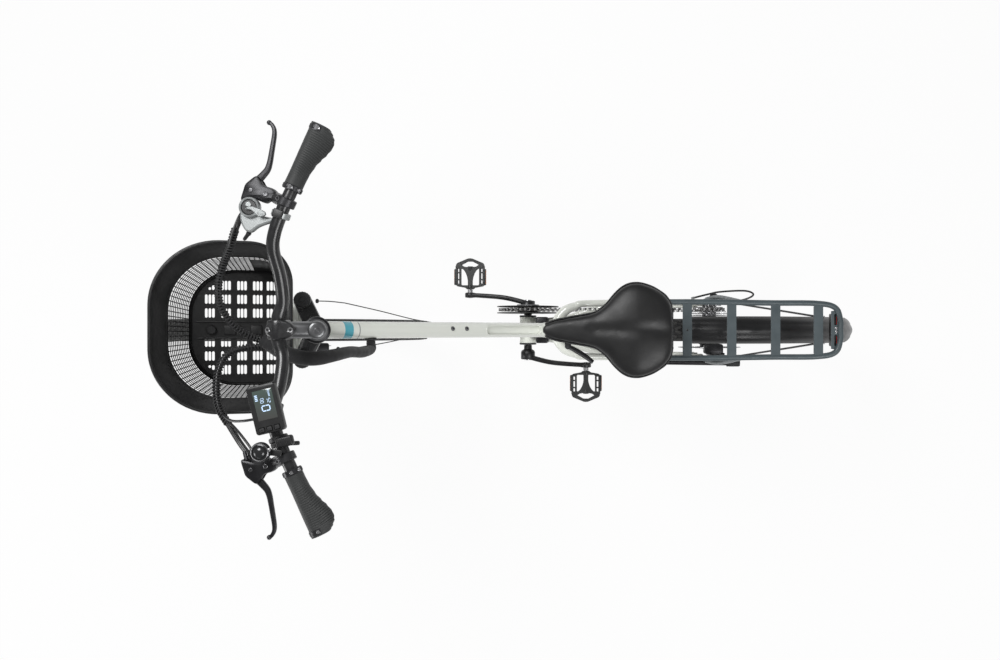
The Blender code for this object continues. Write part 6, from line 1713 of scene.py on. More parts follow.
def shifter():
    middle = bar_point(5, 0.70)
    along = (bar_point(6) - bar_point(5)).normalized()
    level = SHIFTER_CENTRE.z
    base = plate(
        rounded(SHIFTER_BODY), 0.0120, Vector((0, 0, level - 0.0065)), Matrix.Identity(3), bevel=0.0035
    )
    collar = lathe(
        [
            (0.0120, -0.0060), (0.0168, -0.0060), (0.0176, -0.0030), (0.0176, 0.0040), (0.0168, 0.0070),
            (0.0150, 0.0080), (0.0136, 0.0072), (0.0134, 0.0020), (0.0120, 0.0010),
        ],
        SHIFTER_CENTRE,
        UP,
        72,
    )
    band = ring_on(middle, along, 0.0160, -0.0052, 0.0052, 0.0010, BAR_BORE, 56)
    piece(
        "shifter_body",
        [base, collar, band],
        "steering",
        SILVER_PAINT,
        ["shifter_housing"],
        40,
    )
    square = box(
        middle + UP * 0.0150, (0.0170, 0.0150, 0.0060), Matrix.Rotation(math.radians(-20), 3, "Z"), 0.0016
    )
    relief = []
    for foot, way in (
        (Vector((-0.3590, 0.1660, level - 0.0070)), Vector((-0.65, -0.72, -0.25))),
        (Vector((-0.3735, 0.1900, level - 0.0070)), Vector((-0.45, -0.85, -0.28))),
    ):
        relief.append(
            lathe(
                [
                    (0.0, 0.0), (0.0042, 0.0), (0.0042, 0.0040), (0.0034, 0.0050), (0.0030, 0.0150),
                    (0.0020, 0.0170), (0.0, 0.0170),
                ],
                foot,
                way,
                20,
            )
        )
    piece("shifter_trim", [square, *relief], "steering", BLACK_PLASTIC)
    dial = lathe(
        [(0.0, 0.0062), (0.0118, 0.0060), (0.0130, 0.0052), (0.0130, 0.0008), (0.0, 0.0008)],
        SHIFTER_CENTRE,
        UP,
        60,
    )
    piece("shift_dial", [dial], "shift_lever", CASE_PLASTIC, ["shift_lever"])
    wedge = [(-0.0052, 0.0030), (-0.0030, 0.0086), (0.0030, 0.0086), (0.0058, 0.0022), (0.0, 0.0)]
    mark = plate(
        wedge, 0.0026, SHIFTER_CENTRE + UP * 0.0070, Matrix.Rotation(math.radians(8), 3, "Z"), bevel=0.0005
    )
    tab_outline = rounded(
        [
            (-0.0050, -0.0035), (0.0060, -0.0060), (0.0175, -0.0165), (0.0290, -0.0145), (0.0280, -0.0080),
            (0.0150, -0.0020), (0.0040, 0.0010),
        ],
        5,
    )
    tab = plate(tab_outline, 0.0052, SHIFTER_CENTRE + UP * 0.0086, Matrix.Identity(3), bevel=0.0014)
    grooves = []
    for k in range(4):
        spot = SHIFTER_CENTRE + Vector((0.0165 + 0.0028 * k, -0.0105 - 0.0006 * k, 0.0110))
        grooves.append(
            box(spot, (0.0010, 0.0070, 0.0012), Matrix.Rotation(math.radians(-20), 3, "Z"), 0.0004, 2)
        )
    piece("shift_tab", [mark, tab, *grooves], "shift_lever", SILVER_PAINT)


def segments(centre, tilt, height, width, thick, lit="abcdef"):
    """A seven-segment digit that a rider at the rear reads upright."""
    up, across = -height / 2, width / 2
    places = {
        "a": ((up, 0), (thick, width - thick)),
        "d": ((-up, 0), (thick, width - thick)),
        "g": ((0, 0), (thick, width - thick)),
        "b": ((up / 2, across), (height / 2 - thick * 0.4, thick)),
        "c": ((-up / 2, across), (height / 2 - thick * 0.4, thick)),
        "f": ((up / 2, -across), (height / 2 - thick * 0.4, thick)),
        "e": ((-up / 2, -across), (height / 2 - thick * 0.4, thick)),
    }
    made = []
    for key in lit:
        (x, y), (along, side) = places[key]
        made.append(box(centre + tilt @ Vector((x, y, 0)), (along, side, 0.0003), tilt, 0.0001, 1))
    return made


def display():
    centre = BAR_CLAMP + Vector((0.0022, -0.1316, 0.0630))
    case = plate(soft_rectangle(0.0195, 0.0360, 0.0050, 8), 0.0150, centre, DISPLAY_TILT, bevel=0.0024)
    wells = [
        box(
            centre + DISPLAY_TILT @ Vector((0.0012, 0.0070, 0.0082)),
            (0.0340, 0.0510, 0.0030),
            DISPLAY_TILT,
            0.0006,
            2,
        )
    ]
    for x in (-0.013, 0, 0.013):
        wells.append(
            box(
                centre + DISPLAY_TILT @ Vector((x, -0.0335, 0.0085)),
                (0.0104, 0.0090, 0.0060),
                DISPLAY_TILT,
                0.0012,
                3,
            )
        )
    main = cut_by(case, wells)
    foot = bar_point(3, 0.88, -1)
    along = (bar_point(4, 0, -1) - bar_point(3, 0, -1)).normalized()
    rise = centre.z - foot.z
    band = ring_on(foot, along, 0.0152, -0.0065, 0.0065, 0.0010, BAR_BORE, 48)
    post = box(foot + UP * rise * 0.55, (0.018, 0.014, rise * 0.62), None, 0.003, 4)
    piece("display_case", [main, band, post], "steering", CASE_PLASTIC, ["display"], 40)
    glass = box(
        centre + DISPLAY_TILT @ Vector((0.0012, 0.0070, 0.0066)),
        (0.0336, 0.0506, 0.0012),
        DISPLAY_TILT,
        0.0003,
        2,
    )
    piece("display_glass", [glass], "steering", SCREEN)
    face = 0.00735
    numbers = segments(
        centre + DISPLAY_TILT @ Vector((0.0022, 0.0010, face)), DISPLAY_TILT, 0.0130, 0.0086, 0.0019
    )
    for k, y in enumerate((0.0120, 0.0165)):
        numbers += segments(
            centre + DISPLAY_TILT @ Vector(
                (-0.0020 + 0.0006 * k, y, face)
            ), DISPLAY_TILT, 0.0052, 0.0030, 0.0008
        )
    numbers += segments(
        centre + DISPLAY_TILT @ Vector((0.0095, 0.0105, face)), DISPLAY_TILT, 0.0048, 0.0028, 0.0008, "abged"
    )
    numbers += segments(
        centre + DISPLAY_TILT @ Vector((0.0095, 0.0148, face)), DISPLAY_TILT, 0.0048, 0.0028, 0.0008, "acdfg"
    )
    for k in range(4):
        numbers.append(
            box(
                centre + DISPLAY_TILT @ Vector((-0.0105, 0.0160 + 0.0028 * k, face)),
                (0.0046, 0.0018, 0.0003),
                DISPLAY_TILT,
                0.0001,
                1,
            )
        )
    for k in range(6):
        numbers.append(
            box(
                centre + DISPLAY_TILT @ Vector((0.0120, 0.0200 + 0.0020 * k, face)),
                (0.0030, 0.0010, 0.0003),
                DISPLAY_TILT,
                0.0001,
                1,
            )
        )
    piece("display_numbers", numbers, "steering", DIGITS)
    screws = [bolt(foot + along.cross(UP).normalized() * 0.0155, along.cross(UP), 0.0030, 0.0020)]
    piece("display_screw", screws, "steering", DARK_STEEL)
    for number, x in enumerate((-0.013, 0.0, 0.013), 1):
        place = centre + DISPLAY_TILT @ Vector((x, -0.0335, 0.0065))
        cap = box(place + UP * 0.0006, (0.0086, 0.0072, 0.0042), DISPLAY_TILT, 0.0013, 4)
        mark = box(place + UP * 0.0029, (0.0034, 0.0009, 0.0004), DISPLAY_TILT, 0.0001, 1)
        shapes = [cap, mark]
        if number == 1:
            shapes.append(box(place + UP * 0.0029, (0.0009, 0.0034, 0.0004), DISPLAY_TILT, 0.0001, 1))
        piece(
            f"button_cap_{number}",
            shapes,
            f"button_{number}",
            SOFT_RUBBER,
            [f"display_button_{number}"],
        )


def throttle_and_bell():
    middle = bar_point(5, 0.55, -1)
    outward = (bar_point(6, 0, -1) - bar_point(5, 0, -1)).normalized()
    ring = ring_on(middle, outward, 0.0162, -0.0092, -0.0003, 0.0014, BAR_BORE, 56)
    hump = box(middle + Vector((0.0142, 0.0020, 0.0150)), (0.030, 0.0180, 0.0125), DISPLAY_TILT, 0.0042, 5)
    ribs = []
    for k in range(6):
        spot = middle + Vector((0.0142, 0.0020, 0.0150)) + DISPLAY_TILT @ Vector(
            (-0.0095 + 0.0038 * k, 0, 0.0062)
        )
        ribs.append(box(spot, (0.0013, 0.0130, 0.0012), DISPLAY_TILT, 0.0005, 2))
    piece(
        "throttle_body",
        [ring, hump, *ribs],
        "steering",
        BLACK_PLASTIC,
        ["throttle_housing"],
        40,
    )
    turning = ring_on(middle, outward, 0.0158, 0.0003, 0.0080, 0.0010, BAR_BORE, 56)
    lie = Matrix.Rotation(math.radians(25), 3, "Y")
    place = middle + outward * 0.0042 + Vector((0.0190, 0, -0.0070))
    shapes = [turning, box(place, (0.022, 0.0072, 0.0066), lie, 0.0024, 4)]
    for k in range(5):
        shapes.append(
            box(
                place + lie @ Vector((-0.0030 + 0.0026 * k, 0, 0.0034)),
                (0.0010, 0.0060, 0.0009),
                lie,
                0.0003,
                2,
            )
        )
    piece("throttle_thumb", shapes, "throttle", SOFT_RUBBER, ["throttle_paddle"], 40)
    foot = bar_point(5, 0.936, -1)
    base = Vector((foot.x, foot.y, BELL_CENTRE.z - 0.0050))
    arm = Vector((BELL_CENTRE.x, BELL_CENTRE.y, base.z)) - base
    shapes = [
        tube([foot + UP * 0.0115, base], 0.0040, 20),
        box(base + arm / 2, (arm.length + 0.012, 0.0110, 0.0040), frame_of(arm), 0.0014, 4),
        ring_on(base + arm, UP, 0.0066, -0.0010, 0.0031, 0.0006, 0.0, 32),
    ]
    piece("bell_bracket", shapes, "steering", BLACK_PLASTIC, ["bell_base"], 40)
    profile = [
        (0.0, 0.0122), (0.0040, 0.0118), (0.0078, 0.0104), (0.0098, 0.0086), (0.0104, 0.0076),
        (0.0112, 0.0076), (0.0120, 0.0086), (0.0132, 0.0082), (0.0136, 0.0066), (0.0150, 0.0060),
        (0.0162, 0.0044), (0.0165, 0.0016), (0.0164, -0.0010), (0.0150, -0.0014), (0.0, -0.0016),
    ]
    dome = lathe(profile, BELL_CENTRE, UP, 72)
    piece("bell_top", [dome], "bell_dome", BELL_METAL, ["bell_dome"], 30)
    hoop = lathe(
        [
            (0.0133, 0.0080), (0.0139, 0.0086), (0.0146, 0.0080), (0.0146, 0.0066), (0.0133, 0.0066),
            (0.0133, 0.0080),
        ],
        BELL_CENTRE,
        UP,
        72,
    )
    nub = box(BELL_CENTRE + Vector((0.0150, 0.0040, 0.0050)), (0.0060, 0.0060, 0.0050), None, 0.0016, 4)
    piece("bell_hoop", [hoop, nub], "bell_dome", STEEL)


handlebar()
stem()
grips()
brake_controls()
shifter()
display()
throttle_and_bell()


# Basket

BASKET_LENGTH = 0.2385
BASKET_HALF = 0.1555
BASKET_SIDE = 0.005
BASKET_LOW = 0.425
BASKET_AHEAD = 0.045
BASKET_COUNT = 172


def basket_ring(inset, height, count=BASKET_COUNT, ribs=False):
    """Points round the basket at an inset from its mouth and a height over its floor, in pairs for ribs."""
    rear = inset * 0.35
    corners = []
    for ahead, side, radius, start in (
        (BASKET_LENGTH, BASKET_HALF, 0.116, 0),
        (BASKET_LENGTH, -BASKET_HALF, 0.116, -90),
        (0, -BASKET_HALF, 0.074, -180),
        (0, BASKET_HALF, 0.074, -270),
    ):
        own = rear if ahead == 0 else inset
        small = max(radius - inset * 0.7, 0.014)
        centre_ahead = ahead - math.copysign(own + small, ahead - BASKET_LENGTH / 2)
        centre_side = side - math.copysign(inset + small, side)
        for step in range(17):
            angle = math.radians(start + 90 - 90 * step / 16)
            corners.append((centre_ahead + small * math.cos(angle), centre_side + small * math.sin(angle)))
    lengths = [0.0]
    closed = corners + [corners[0]]
    for near, far in zip(closed, closed[1:]):
        lengths.append(lengths[-1] + math.hypot(far[0] - near[0], far[1] - near[1]))
    total = lengths[-1]
    loop = []
    place = 0
    for number in range(count):
        wanted = total * (number + (0.6 if ribs and number % 2 else 0)) / count
        while lengths[place + 1] < wanted:
            place += 1
        share = (wanted - lengths[place]) / (lengths[place + 1] - lengths[place])
        a = closed[place][0] + (closed[place + 1][0] - closed[place][0]) * share
        b = closed[place][1] + (closed[place + 1][1] - closed[place][1]) * share
        loop.append(on_steering(BASKET_LOW + height, BASKET_AHEAD + a, b + BASKET_SIDE))
    return loop


def basket_wall(height):
    """The inset of the wall at a height: nearly straight, then flaring at the rim."""
    stations = [
        (0.0, 0.0415), (0.010, 0.0370), (0.180, 0.0235), (0.192, 0.0215), (0.205, 0.0170), (0.222, 0.0090),
        (0.235, 0.0),
    ]
    for low, high in zip(stations, stations[1:]):
        if height <= high[0]:
            share = (height - low[0]) / (high[0] - low[0])
            return low[1] + (high[1] - low[1]) * share
    return 0.0


def thicken(shape, thickness):
    helper = helper_object(stored(shape))
    wall = helper.modifiers.new("wall", "SOLIDIFY")
    wall.thickness = thickness
    wall.offset = 0
    wall.use_even_offset = False
    return baked(helper)


def within(x, y, outline, margin):
    """True where a point lies inside an outline, at least a margin from its corners."""
    inside = False
    for (x1, y1), (x2, y2) in zip(outline, outline[1:] + outline[:1]):
        if (y1 > y) != (y2 > y) and x < x1 + (x2 - x1) * (y - y1) / (y2 - y1):
            inside = not inside
    return inside and min(math.hypot(x - a, y - b) for a, b in outline) > margin


def basket():
    count = BASKET_COUNT
    rows = 12
    pitch = 0.0142
    first = 0.0110
    heights = [0.0, 0.004, first]
    for row in range(rows):
        base = first + row * pitch
        heights += [base + 0.0030, base + pitch]
    heights += [0.192, 0.200, 0.210, 0.220, 0.229, 0.235]
    heights = sorted(set(round(h, 5) for h in heights))
    shape = bmesh.new()
    rings = [[shape.verts.new(p) for p in basket_ring(basket_wall(h), h, count, True)] for h in heights]
    for level, (low, high) in enumerate(zip(rings, rings[1:])):
        middle = (heights[level] + heights[level + 1]) / 2
        row = (middle - first) / pitch
        opened = 0 <= row < rows and (row - int(row)) > 0.45
        for k in range(count):
            then = (k + 1) % count
            side = low[k].co.y
            ahead = (low[k].co - on_steering(BASKET_LOW, BASKET_AHEAD)).dot(STEER_AHEAD)
            rear_panel = ahead < 0.075
            if opened and k % 2 == 0 and not (rear_panel and abs(side) > 0.10 and int(row) < rows - 2):
                continue
            shape.faces.new((low[k], low[then], high[then], high[k]))
    walls = thicken(shape, 0.0011)
    corner = [
        (p - on_steering(BASKET_LOW, BASKET_AHEAD, BASKET_SIDE))
        for p in basket_ring(basket_wall(0.0), 0.0, 240)
    ]
    outline = [(p.dot(STEER_AHEAD), p.y) for p in corner]
    holes = []
    for ahead in (0.0600, 0.0897, 0.1166, 0.1470, 0.1778, 0.2085):
        for side in (0.030, 0.0585, 0.087, 0.111):
            for sign in (1, -1):
                for lag in (-0.0067, 0.0, 0.0067):
                    x = ahead - BASKET_AHEAD + lag
                    near = side - 0.0096
                    for far in (side + 0.0096, side + 0.0050, side, side - 0.0040):
                        if within(x, sign * (far + 0.004), outline, 0.004):
                            middle = sign * (near + far) / 2
                            holes.append(slot_hole(x, middle, far - near, 0.0052, math.pi / 2, 5))
                            break
    for ahead in (0.088, 0.152):
        holes.append(slot_hole(ahead - BASKET_AHEAD, 0.0, 0.012, 0.0075, 0.0, 4))
    floor = plate(
        outline, 0.0030, on_steering(BASKET_LOW, BASKET_AHEAD, BASKET_SIDE), CROWN_LEVEL, holes, bevel=0.0005
    )
    rim = sweep(basket_ring(0.0002, 0.2345, 160), lambda index, share: circle(0.0031, 14), closed=True)
    belt_line = sweep(
        basket_ring(basket_wall(0.192) - 0.0006, 0.1915, 160),
        lambda index, share: circle(0.0018, 10),
        closed=True,
    )
    foot_line = sweep(
        basket_ring(basket_wall(0.004) - 0.0005, 0.0035, 160),
        lambda index, share: circle(0.0020, 10),
        closed=True,
    )
    bars = []
    for side in (-0.017, 0.017):
        bars.append(box(on_steering(0.4275, 0.150, side), (0.170, 0.0035, 0.0035), SQUARE_TO_FORK, 0.0010, 3))
    shapes = [walls, floor, rim, belt_line, foot_line, *bars]
    piece("basket_shell", shapes, "steering", BASKET_PLASTIC, ["basket"], 45)
    clips = [
        box(on_steering(0.4290, ahead, 0.0), (0.022, 0.020, 0.0050), SQUARE_TO_FORK, 0.0018, 4)
        for ahead in (0.119, 0.170)
    ]
    knob = lathe(
        [(0.0, 0.0060), (0.0080, 0.0058), (0.0095, 0.0045), (0.0098, 0.0010), (0.0098, 0.0)],
        on_steering(0.4290, 0.205),
        STEER_AXIS,
        40,
    )
    piece("basket_clips", [*clips, knob], "steering", BLACK_PLASTIC)
    arm = box(on_steering(0.4192, 0.1327), (0.170, 0.0290, 0.0042), SQUARE_TO_FORK, 0.0014, 3)
    ear = box(on_steering(0.4150, 0.0500), (0.0044, 0.0290, 0.0140), SQUARE_TO_FORK, 0.0014, 3)
    screws = [
        bolt(on_steering(0.4170, ahead, 0.0), -STEER_AXIS, 0.0045, 0.0026) for ahead in (0.080, 0.130, 0.185)
    ]
    piece("basket_arm", [arm, ear], "steering", BLACK_PAINT, ["basket_bracket"])
    piece("basket_arm_screws", screws, "steering", DARK_STEEL)


# Saddle

SADDLE_STATIONS = (
    (0.0000, 0.0080, 0.0170, 0.0140), (0.0060, 0.0139, 0.0145, 0.0220), (0.0260, 0.0218, 0.0120, 0.0300),
    (0.0435, 0.0250, 0.0114, 0.0322), (0.0583, 0.0283, 0.0110, 0.0340), (0.0800, 0.0318, 0.0100, 0.0372),
    (0.1030, 0.0368, 0.0090, 0.0400), (0.1140, 0.0436, 0.0080, 0.0424), (0.1257, 0.0536, 0.0070, 0.0450),
    (0.1429, 0.0744, 0.0050, 0.0500), (0.1577, 0.0877, 0.0030, 0.0540), (0.1720, 0.0945, 0.0012, 0.0565),
    (0.1877, 0.0961, 0.0000, 0.0580), (0.2020, 0.0936, 0.0006, 0.0575), (0.2173, 0.0881, 0.0020, 0.0560),
    (0.2300, 0.0810, 0.0042, 0.0540), (0.2423, 0.0721, 0.0070, 0.0500), (0.2500, 0.0625, 0.0102, 0.0440),
    (0.2545, 0.0536, 0.0130, 0.0380), (0.2580, 0.0360, 0.0190, 0.0260),
)
CLAMP = on_seat_tube(0.571)
NOSE = CLAMP.x - 0.136
SADDLE_TOP = CLAMP.z + 0.0725


def saddle_ring(distance, half, drop, depth, sides, shrink=0.0):
    ring = []
    length = SADDLE_STATIONS[-1][0]
    for number in range(sides):
        angle = 2 * math.pi * number / sides
        across, height = math.cos(angle), math.sin(angle)
        reach = (half - shrink) * math.copysign(abs(across) ** 0.75, across)
        share = min(distance / 0.10, 1) * min((length - distance) / 0.03, 1)
        if height >= 0:
            groove = 0.0045 * share * math.exp(-((reach / 0.010) ** 2))
            rise = (depth * 0.45 - shrink) * height ** 0.8 - groove
        else:
            rise = -(depth * 0.55 - shrink) * (-height) ** 0.7
            reach *= 1 + 0.35 * height
        ring.append(Vector((NOSE + distance, reach, SADDLE_TOP - drop - depth * 0.45 + rise)))
    return ring


def cushion(start):
    """The padded cover: the shape swollen by a cloth simulation and smoothed once."""
    helper = helper_object(start)
    helper.name = "saddle_form"
    remesh = helper.modifiers.new("even", "REMESH")
    remesh.mode = "VOXEL"
    remesh.voxel_size = 0.0045
    mesh = baked(helper)
    soft = helper_object(mesh)
    low = min(v.co.z for v in mesh.vertices)
    group = soft.vertex_groups.new(name="held")
    held = [v.index for v in mesh.vertices if v.co.z < low + 0.012 or v.normal.z < -0.35]
    group.add(held, 1.0, "REPLACE")
    cloth = soft.modifiers.new("swell", "CLOTH")
    settings = cloth.settings
    settings.use_pressure = True
    settings.uniform_pressure_force = 4.0
    settings.mass = 0.4
    settings.tension_stiffness = 60
    settings.compression_stiffness = 60
    settings.shear_stiffness = 30
    settings.bending_stiffness = 4.0
    settings.quality = 6
    settings.vertex_group_mass = "held"
    settings.effector_weights.gravity = 0
    cloth.point_cache.frame_start = 1
    cloth.point_cache.frame_end = 20
    before = [v.co.copy() for v in mesh.vertices]
    for number in range(1, 21):
        scene.frame_set(number)
    graph = bpy.context.evaluated_depsgraph_get()
    swollen = bpy.data.meshes.new_from_object(soft.evaluated_get(graph))
    scene.frame_set(1)
    bpy.data.objects.remove(soft, do_unlink=True)
    for vertex, old in zip(swollen.vertices, before):
        moved = vertex.co - old
        if moved.length > 0.006:
            vertex.co = old + moved.normalized() * 0.006
    finer = helper_object(swollen)
    smooth = finer.modifiers.new("smooth", "SMOOTH")
    smooth.iterations = 6
    smooth.factor = 0.5
    levels = finer.modifiers.new("fine", "SUBSURF")
    levels.levels = 1
    levels.render_levels = 1
    return baked(finer)


def saddle():
    rings = [saddle_ring(*station, 56, shrink=0.0030) for station in SADDLE_STATIONS]
    form = loft(rings)
    cover = cushion(form)
    made = piece("saddle_cover", [cover], "seatpost", LEATHER, ["saddle"], 80)
    seam = []
    for side in (1, -1):
        line = []
        for distance, half, drop, depth in SADDLE_STATIONS[1:]:
            line.append(
                Vector((NOSE + distance, side * (half - 0.0012) * 0.985, SADDLE_TOP - drop - depth * 0.50))
            )
        seam.append(tube(line, 0.0012, 10, 4, stretch=1.4))
    back = [
        Vector((NOSE + 0.2578, 0.036 * k / 4, SADDLE_TOP - 0.019 - 0.013 + 0.001 * (4 - abs(k)) / 4))
        for k in range(-4, 5)
    ]
    seam.append(tube(back, 0.0012, 10, 3))
    piece("saddle_piping", seam, "seatpost", SOFT_RUBBER, angle=70)
    shell_rings = []
    for distance, half, drop, depth in SADDLE_STATIONS[1:-1]:
        ring = []
        low = SADDLE_TOP - drop - depth * 0.62
        for number in range(36):
            angle = 2 * math.pi * number / 36
            across, height = math.cos(angle), math.sin(angle)
            reach = (half * 0.965) * math.copysign(abs(across) ** 0.75, across)
            rise = 0.004 * height if height > 0 else depth * 0.36 * -((-height) ** 0.8)
            if height < 0:
                reach *= 1 + 0.25 * height
            ring.append(Vector((NOSE + distance, reach, low + rise)))
        shell_rings.append(ring)
    piece("saddle_base", [loft(shell_rings)], "seatpost", BLACK_PLASTIC, angle=50)
    level = CLAMP.z + 0.006
    rails = []
    for side in (1, -1):
        rails.append(
            tube(
                [
                    Vector((NOSE + 0.048, side * 0.0090, SADDLE_TOP - 0.0380)),
                    Vector((NOSE + 0.056, side * 0.0110, SADDLE_TOP - 0.0500)),
                    Vector((NOSE + 0.070, side * 0.0150, level + 0.004)),
                    Vector((NOSE + 0.100, side * 0.0220, level)),
                    Vector((NOSE + 0.180, side * 0.0220, level)),
                    Vector((NOSE + 0.205, side * 0.0300, level + 0.003)),
                    Vector((NOSE + 0.222, side * 0.0360, SADDLE_TOP - 0.0580)),
                    Vector((NOSE + 0.227, side * 0.0375, SADDLE_TOP - 0.0480)),
                ],
                0.0035,
                20,
                6,
            )
        )
    post = lathe(
        [
            (0.0, -0.135), (0.0138, -0.135), (0.0143, -0.1340), (0.0143, 0.2400), (0.0132, 0.2420),
            (0.0, 0.2420),
        ],
        on_seat_tube(0.320),
        SEAT_AXIS,
        48,
    )
    piece("seat_rails", rails, "seatpost", DARK_STEEL, angle=50)
    piece("seat_post", [post], "seatpost", BLACK_PAINT, ["seatpost"])
    clamp = [
        box(Vector((CLAMP.x, 0, level - 0.0070)), (0.036, 0.056, 0.0120), None, 0.0040, 4),
        box(Vector((CLAMP.x, 0, level + 0.0045)), (0.032, 0.054, 0.0060), None, 0.0022, 4),
        tube([Vector((CLAMP.x, -0.0270, level)), Vector((CLAMP.x, 0.0270, level))], 0.0062, 24),
    ]
    piece("seat_clamp", clamp, "seatpost", BLACK_ALLOY)
    nuts = [
        bolt(Vector((CLAMP.x, side * 0.0275, level)), RIGHT * side, 0.0060, 0.0045, False) for side in (1, -1)
    ]
    piece("seat_clamp_nuts", nuts, "seatpost", STEEL)


def seat_collar():
    pivot = Vector((0.164461, -0.0375, 0.579889))
    ring = ring_on(on_seat_tube(0.304), SEAT_AXIS, 0.0214, 0.0, 0.0160, 0.0012, 0.0175, 64)
    ears = box(pivot + RIGHT * 0.009, (0.0144, 0.028, 0.012), ALONG_SEAT_TUBE, 0.0028, 4)
    slot = lathe([(0.0, 0.0036), (0.0145, 0.0036), (0.0145, -0.0036), (0.0, -0.0036)], pivot, SEAT_AXIS, 40)
    pin = tube([pivot - SEAT_AXIS * 0.0072, pivot + SEAT_AXIS * 0.0072], 0.0020, 20)
    piece(
        "collar", [ring, cut_by(ears, [slot]), pin], "frame", BLACK_ALLOY, ["seat_collar"], 40
    )
    reach = Vector((0.066, -0.037, 0.0))
    reach -= SEAT_AXIS * reach.dot(SEAT_AXIS)
    flat = SEAT_AXIS.cross(reach).normalized()
    route = smooth_route(
        [pivot, pivot + reach * 0.30 + flat * 0.0018, pivot + reach * 0.65 + flat * 0.0020, pivot + reach], 8
    )

    def section(index, share):
        return squarish(0.0029, 0.0048 + 0.0012 * math.sin(math.pi * share), 0.6, 24)

    blade = sweep(route, section, side=SEAT_AXIS)
    hub = ring_on(pivot, SEAT_AXIS, 0.0070, -0.0030, 0.0030, 0.0007, 0.0026, 40)
    piece("collar_lever", [blade, hub], "seat_lever", BLACK_ALLOY, ["seat_lever"], 50)


basket()
saddle()
seat_collar()


# Drive

PITCH = 0.0127
COGS = (14, 16, 18, 20, 22, 24, 28)
FLAT = frame_of(REARWARD, UP)
# The side, name and axle of each pedal
PEDALS = ((1, "right", Vector((-0.1029, 0, 0.286))), (-1, "left", Vector((0.2011, 0, 0.294))))


def pin_radius(teeth):
    return PITCH / (2 * math.sin(math.pi / teeth))


def toothed(teeth, root=-0.0041, tip=0.0030):
    """The outline of a sprocket: a round seat for each roller and a pointed tooth between."""
    radius = pin_radius(teeth)
    loop = []
    for k in range(teeth):
        for share, rise in (
            (-0.18, root + 0.0004), (0.0, root), (0.18, root + 0.0004), (0.32, -0.0005), (0.43, tip * 0.8),
            (0.5, tip), (0.57, tip * 0.8), (0.68, -0.0005),
        ):
            angle = 2 * math.pi * (k + share) / teeth
            loop.append(((radius + rise) * math.cos(angle), (radius + rise) * math.sin(angle)))
    return loop


def freewheel():
    cogs = []
    for number, teeth in enumerate(COGS):
        level = CHAINLINE + (2 - number) * 0.005
        holes = [round_hole(0, 0, 0.0170, 32)]
        outline = toothed(teeth, tip=0.0024 if number != 2 else 0.0016)
        cogs.append(plate(outline, 0.0019, REAR_AXLE + RIGHT * level, FLAT, holes, bevel=0.0002))
    piece("cogs", cogs, "freewheel", STEEL, ["freewheel"], 40)
    carrier = lathe(
        [
            (0.0066, 0.0130), (0.0130, 0.0130), (0.0140, 0.0124), (0.0172, 0.0120), (0.0178, 0.0110),
            (0.0178, -0.0200), (0.0066, -0.0200),
        ],
        REAR_AXLE + RIGHT * CHAINLINE,
        RIGHT,
        48,
    )
    piece("freewheel_carrier", [carrier], "freewheel", DARK_STEEL)


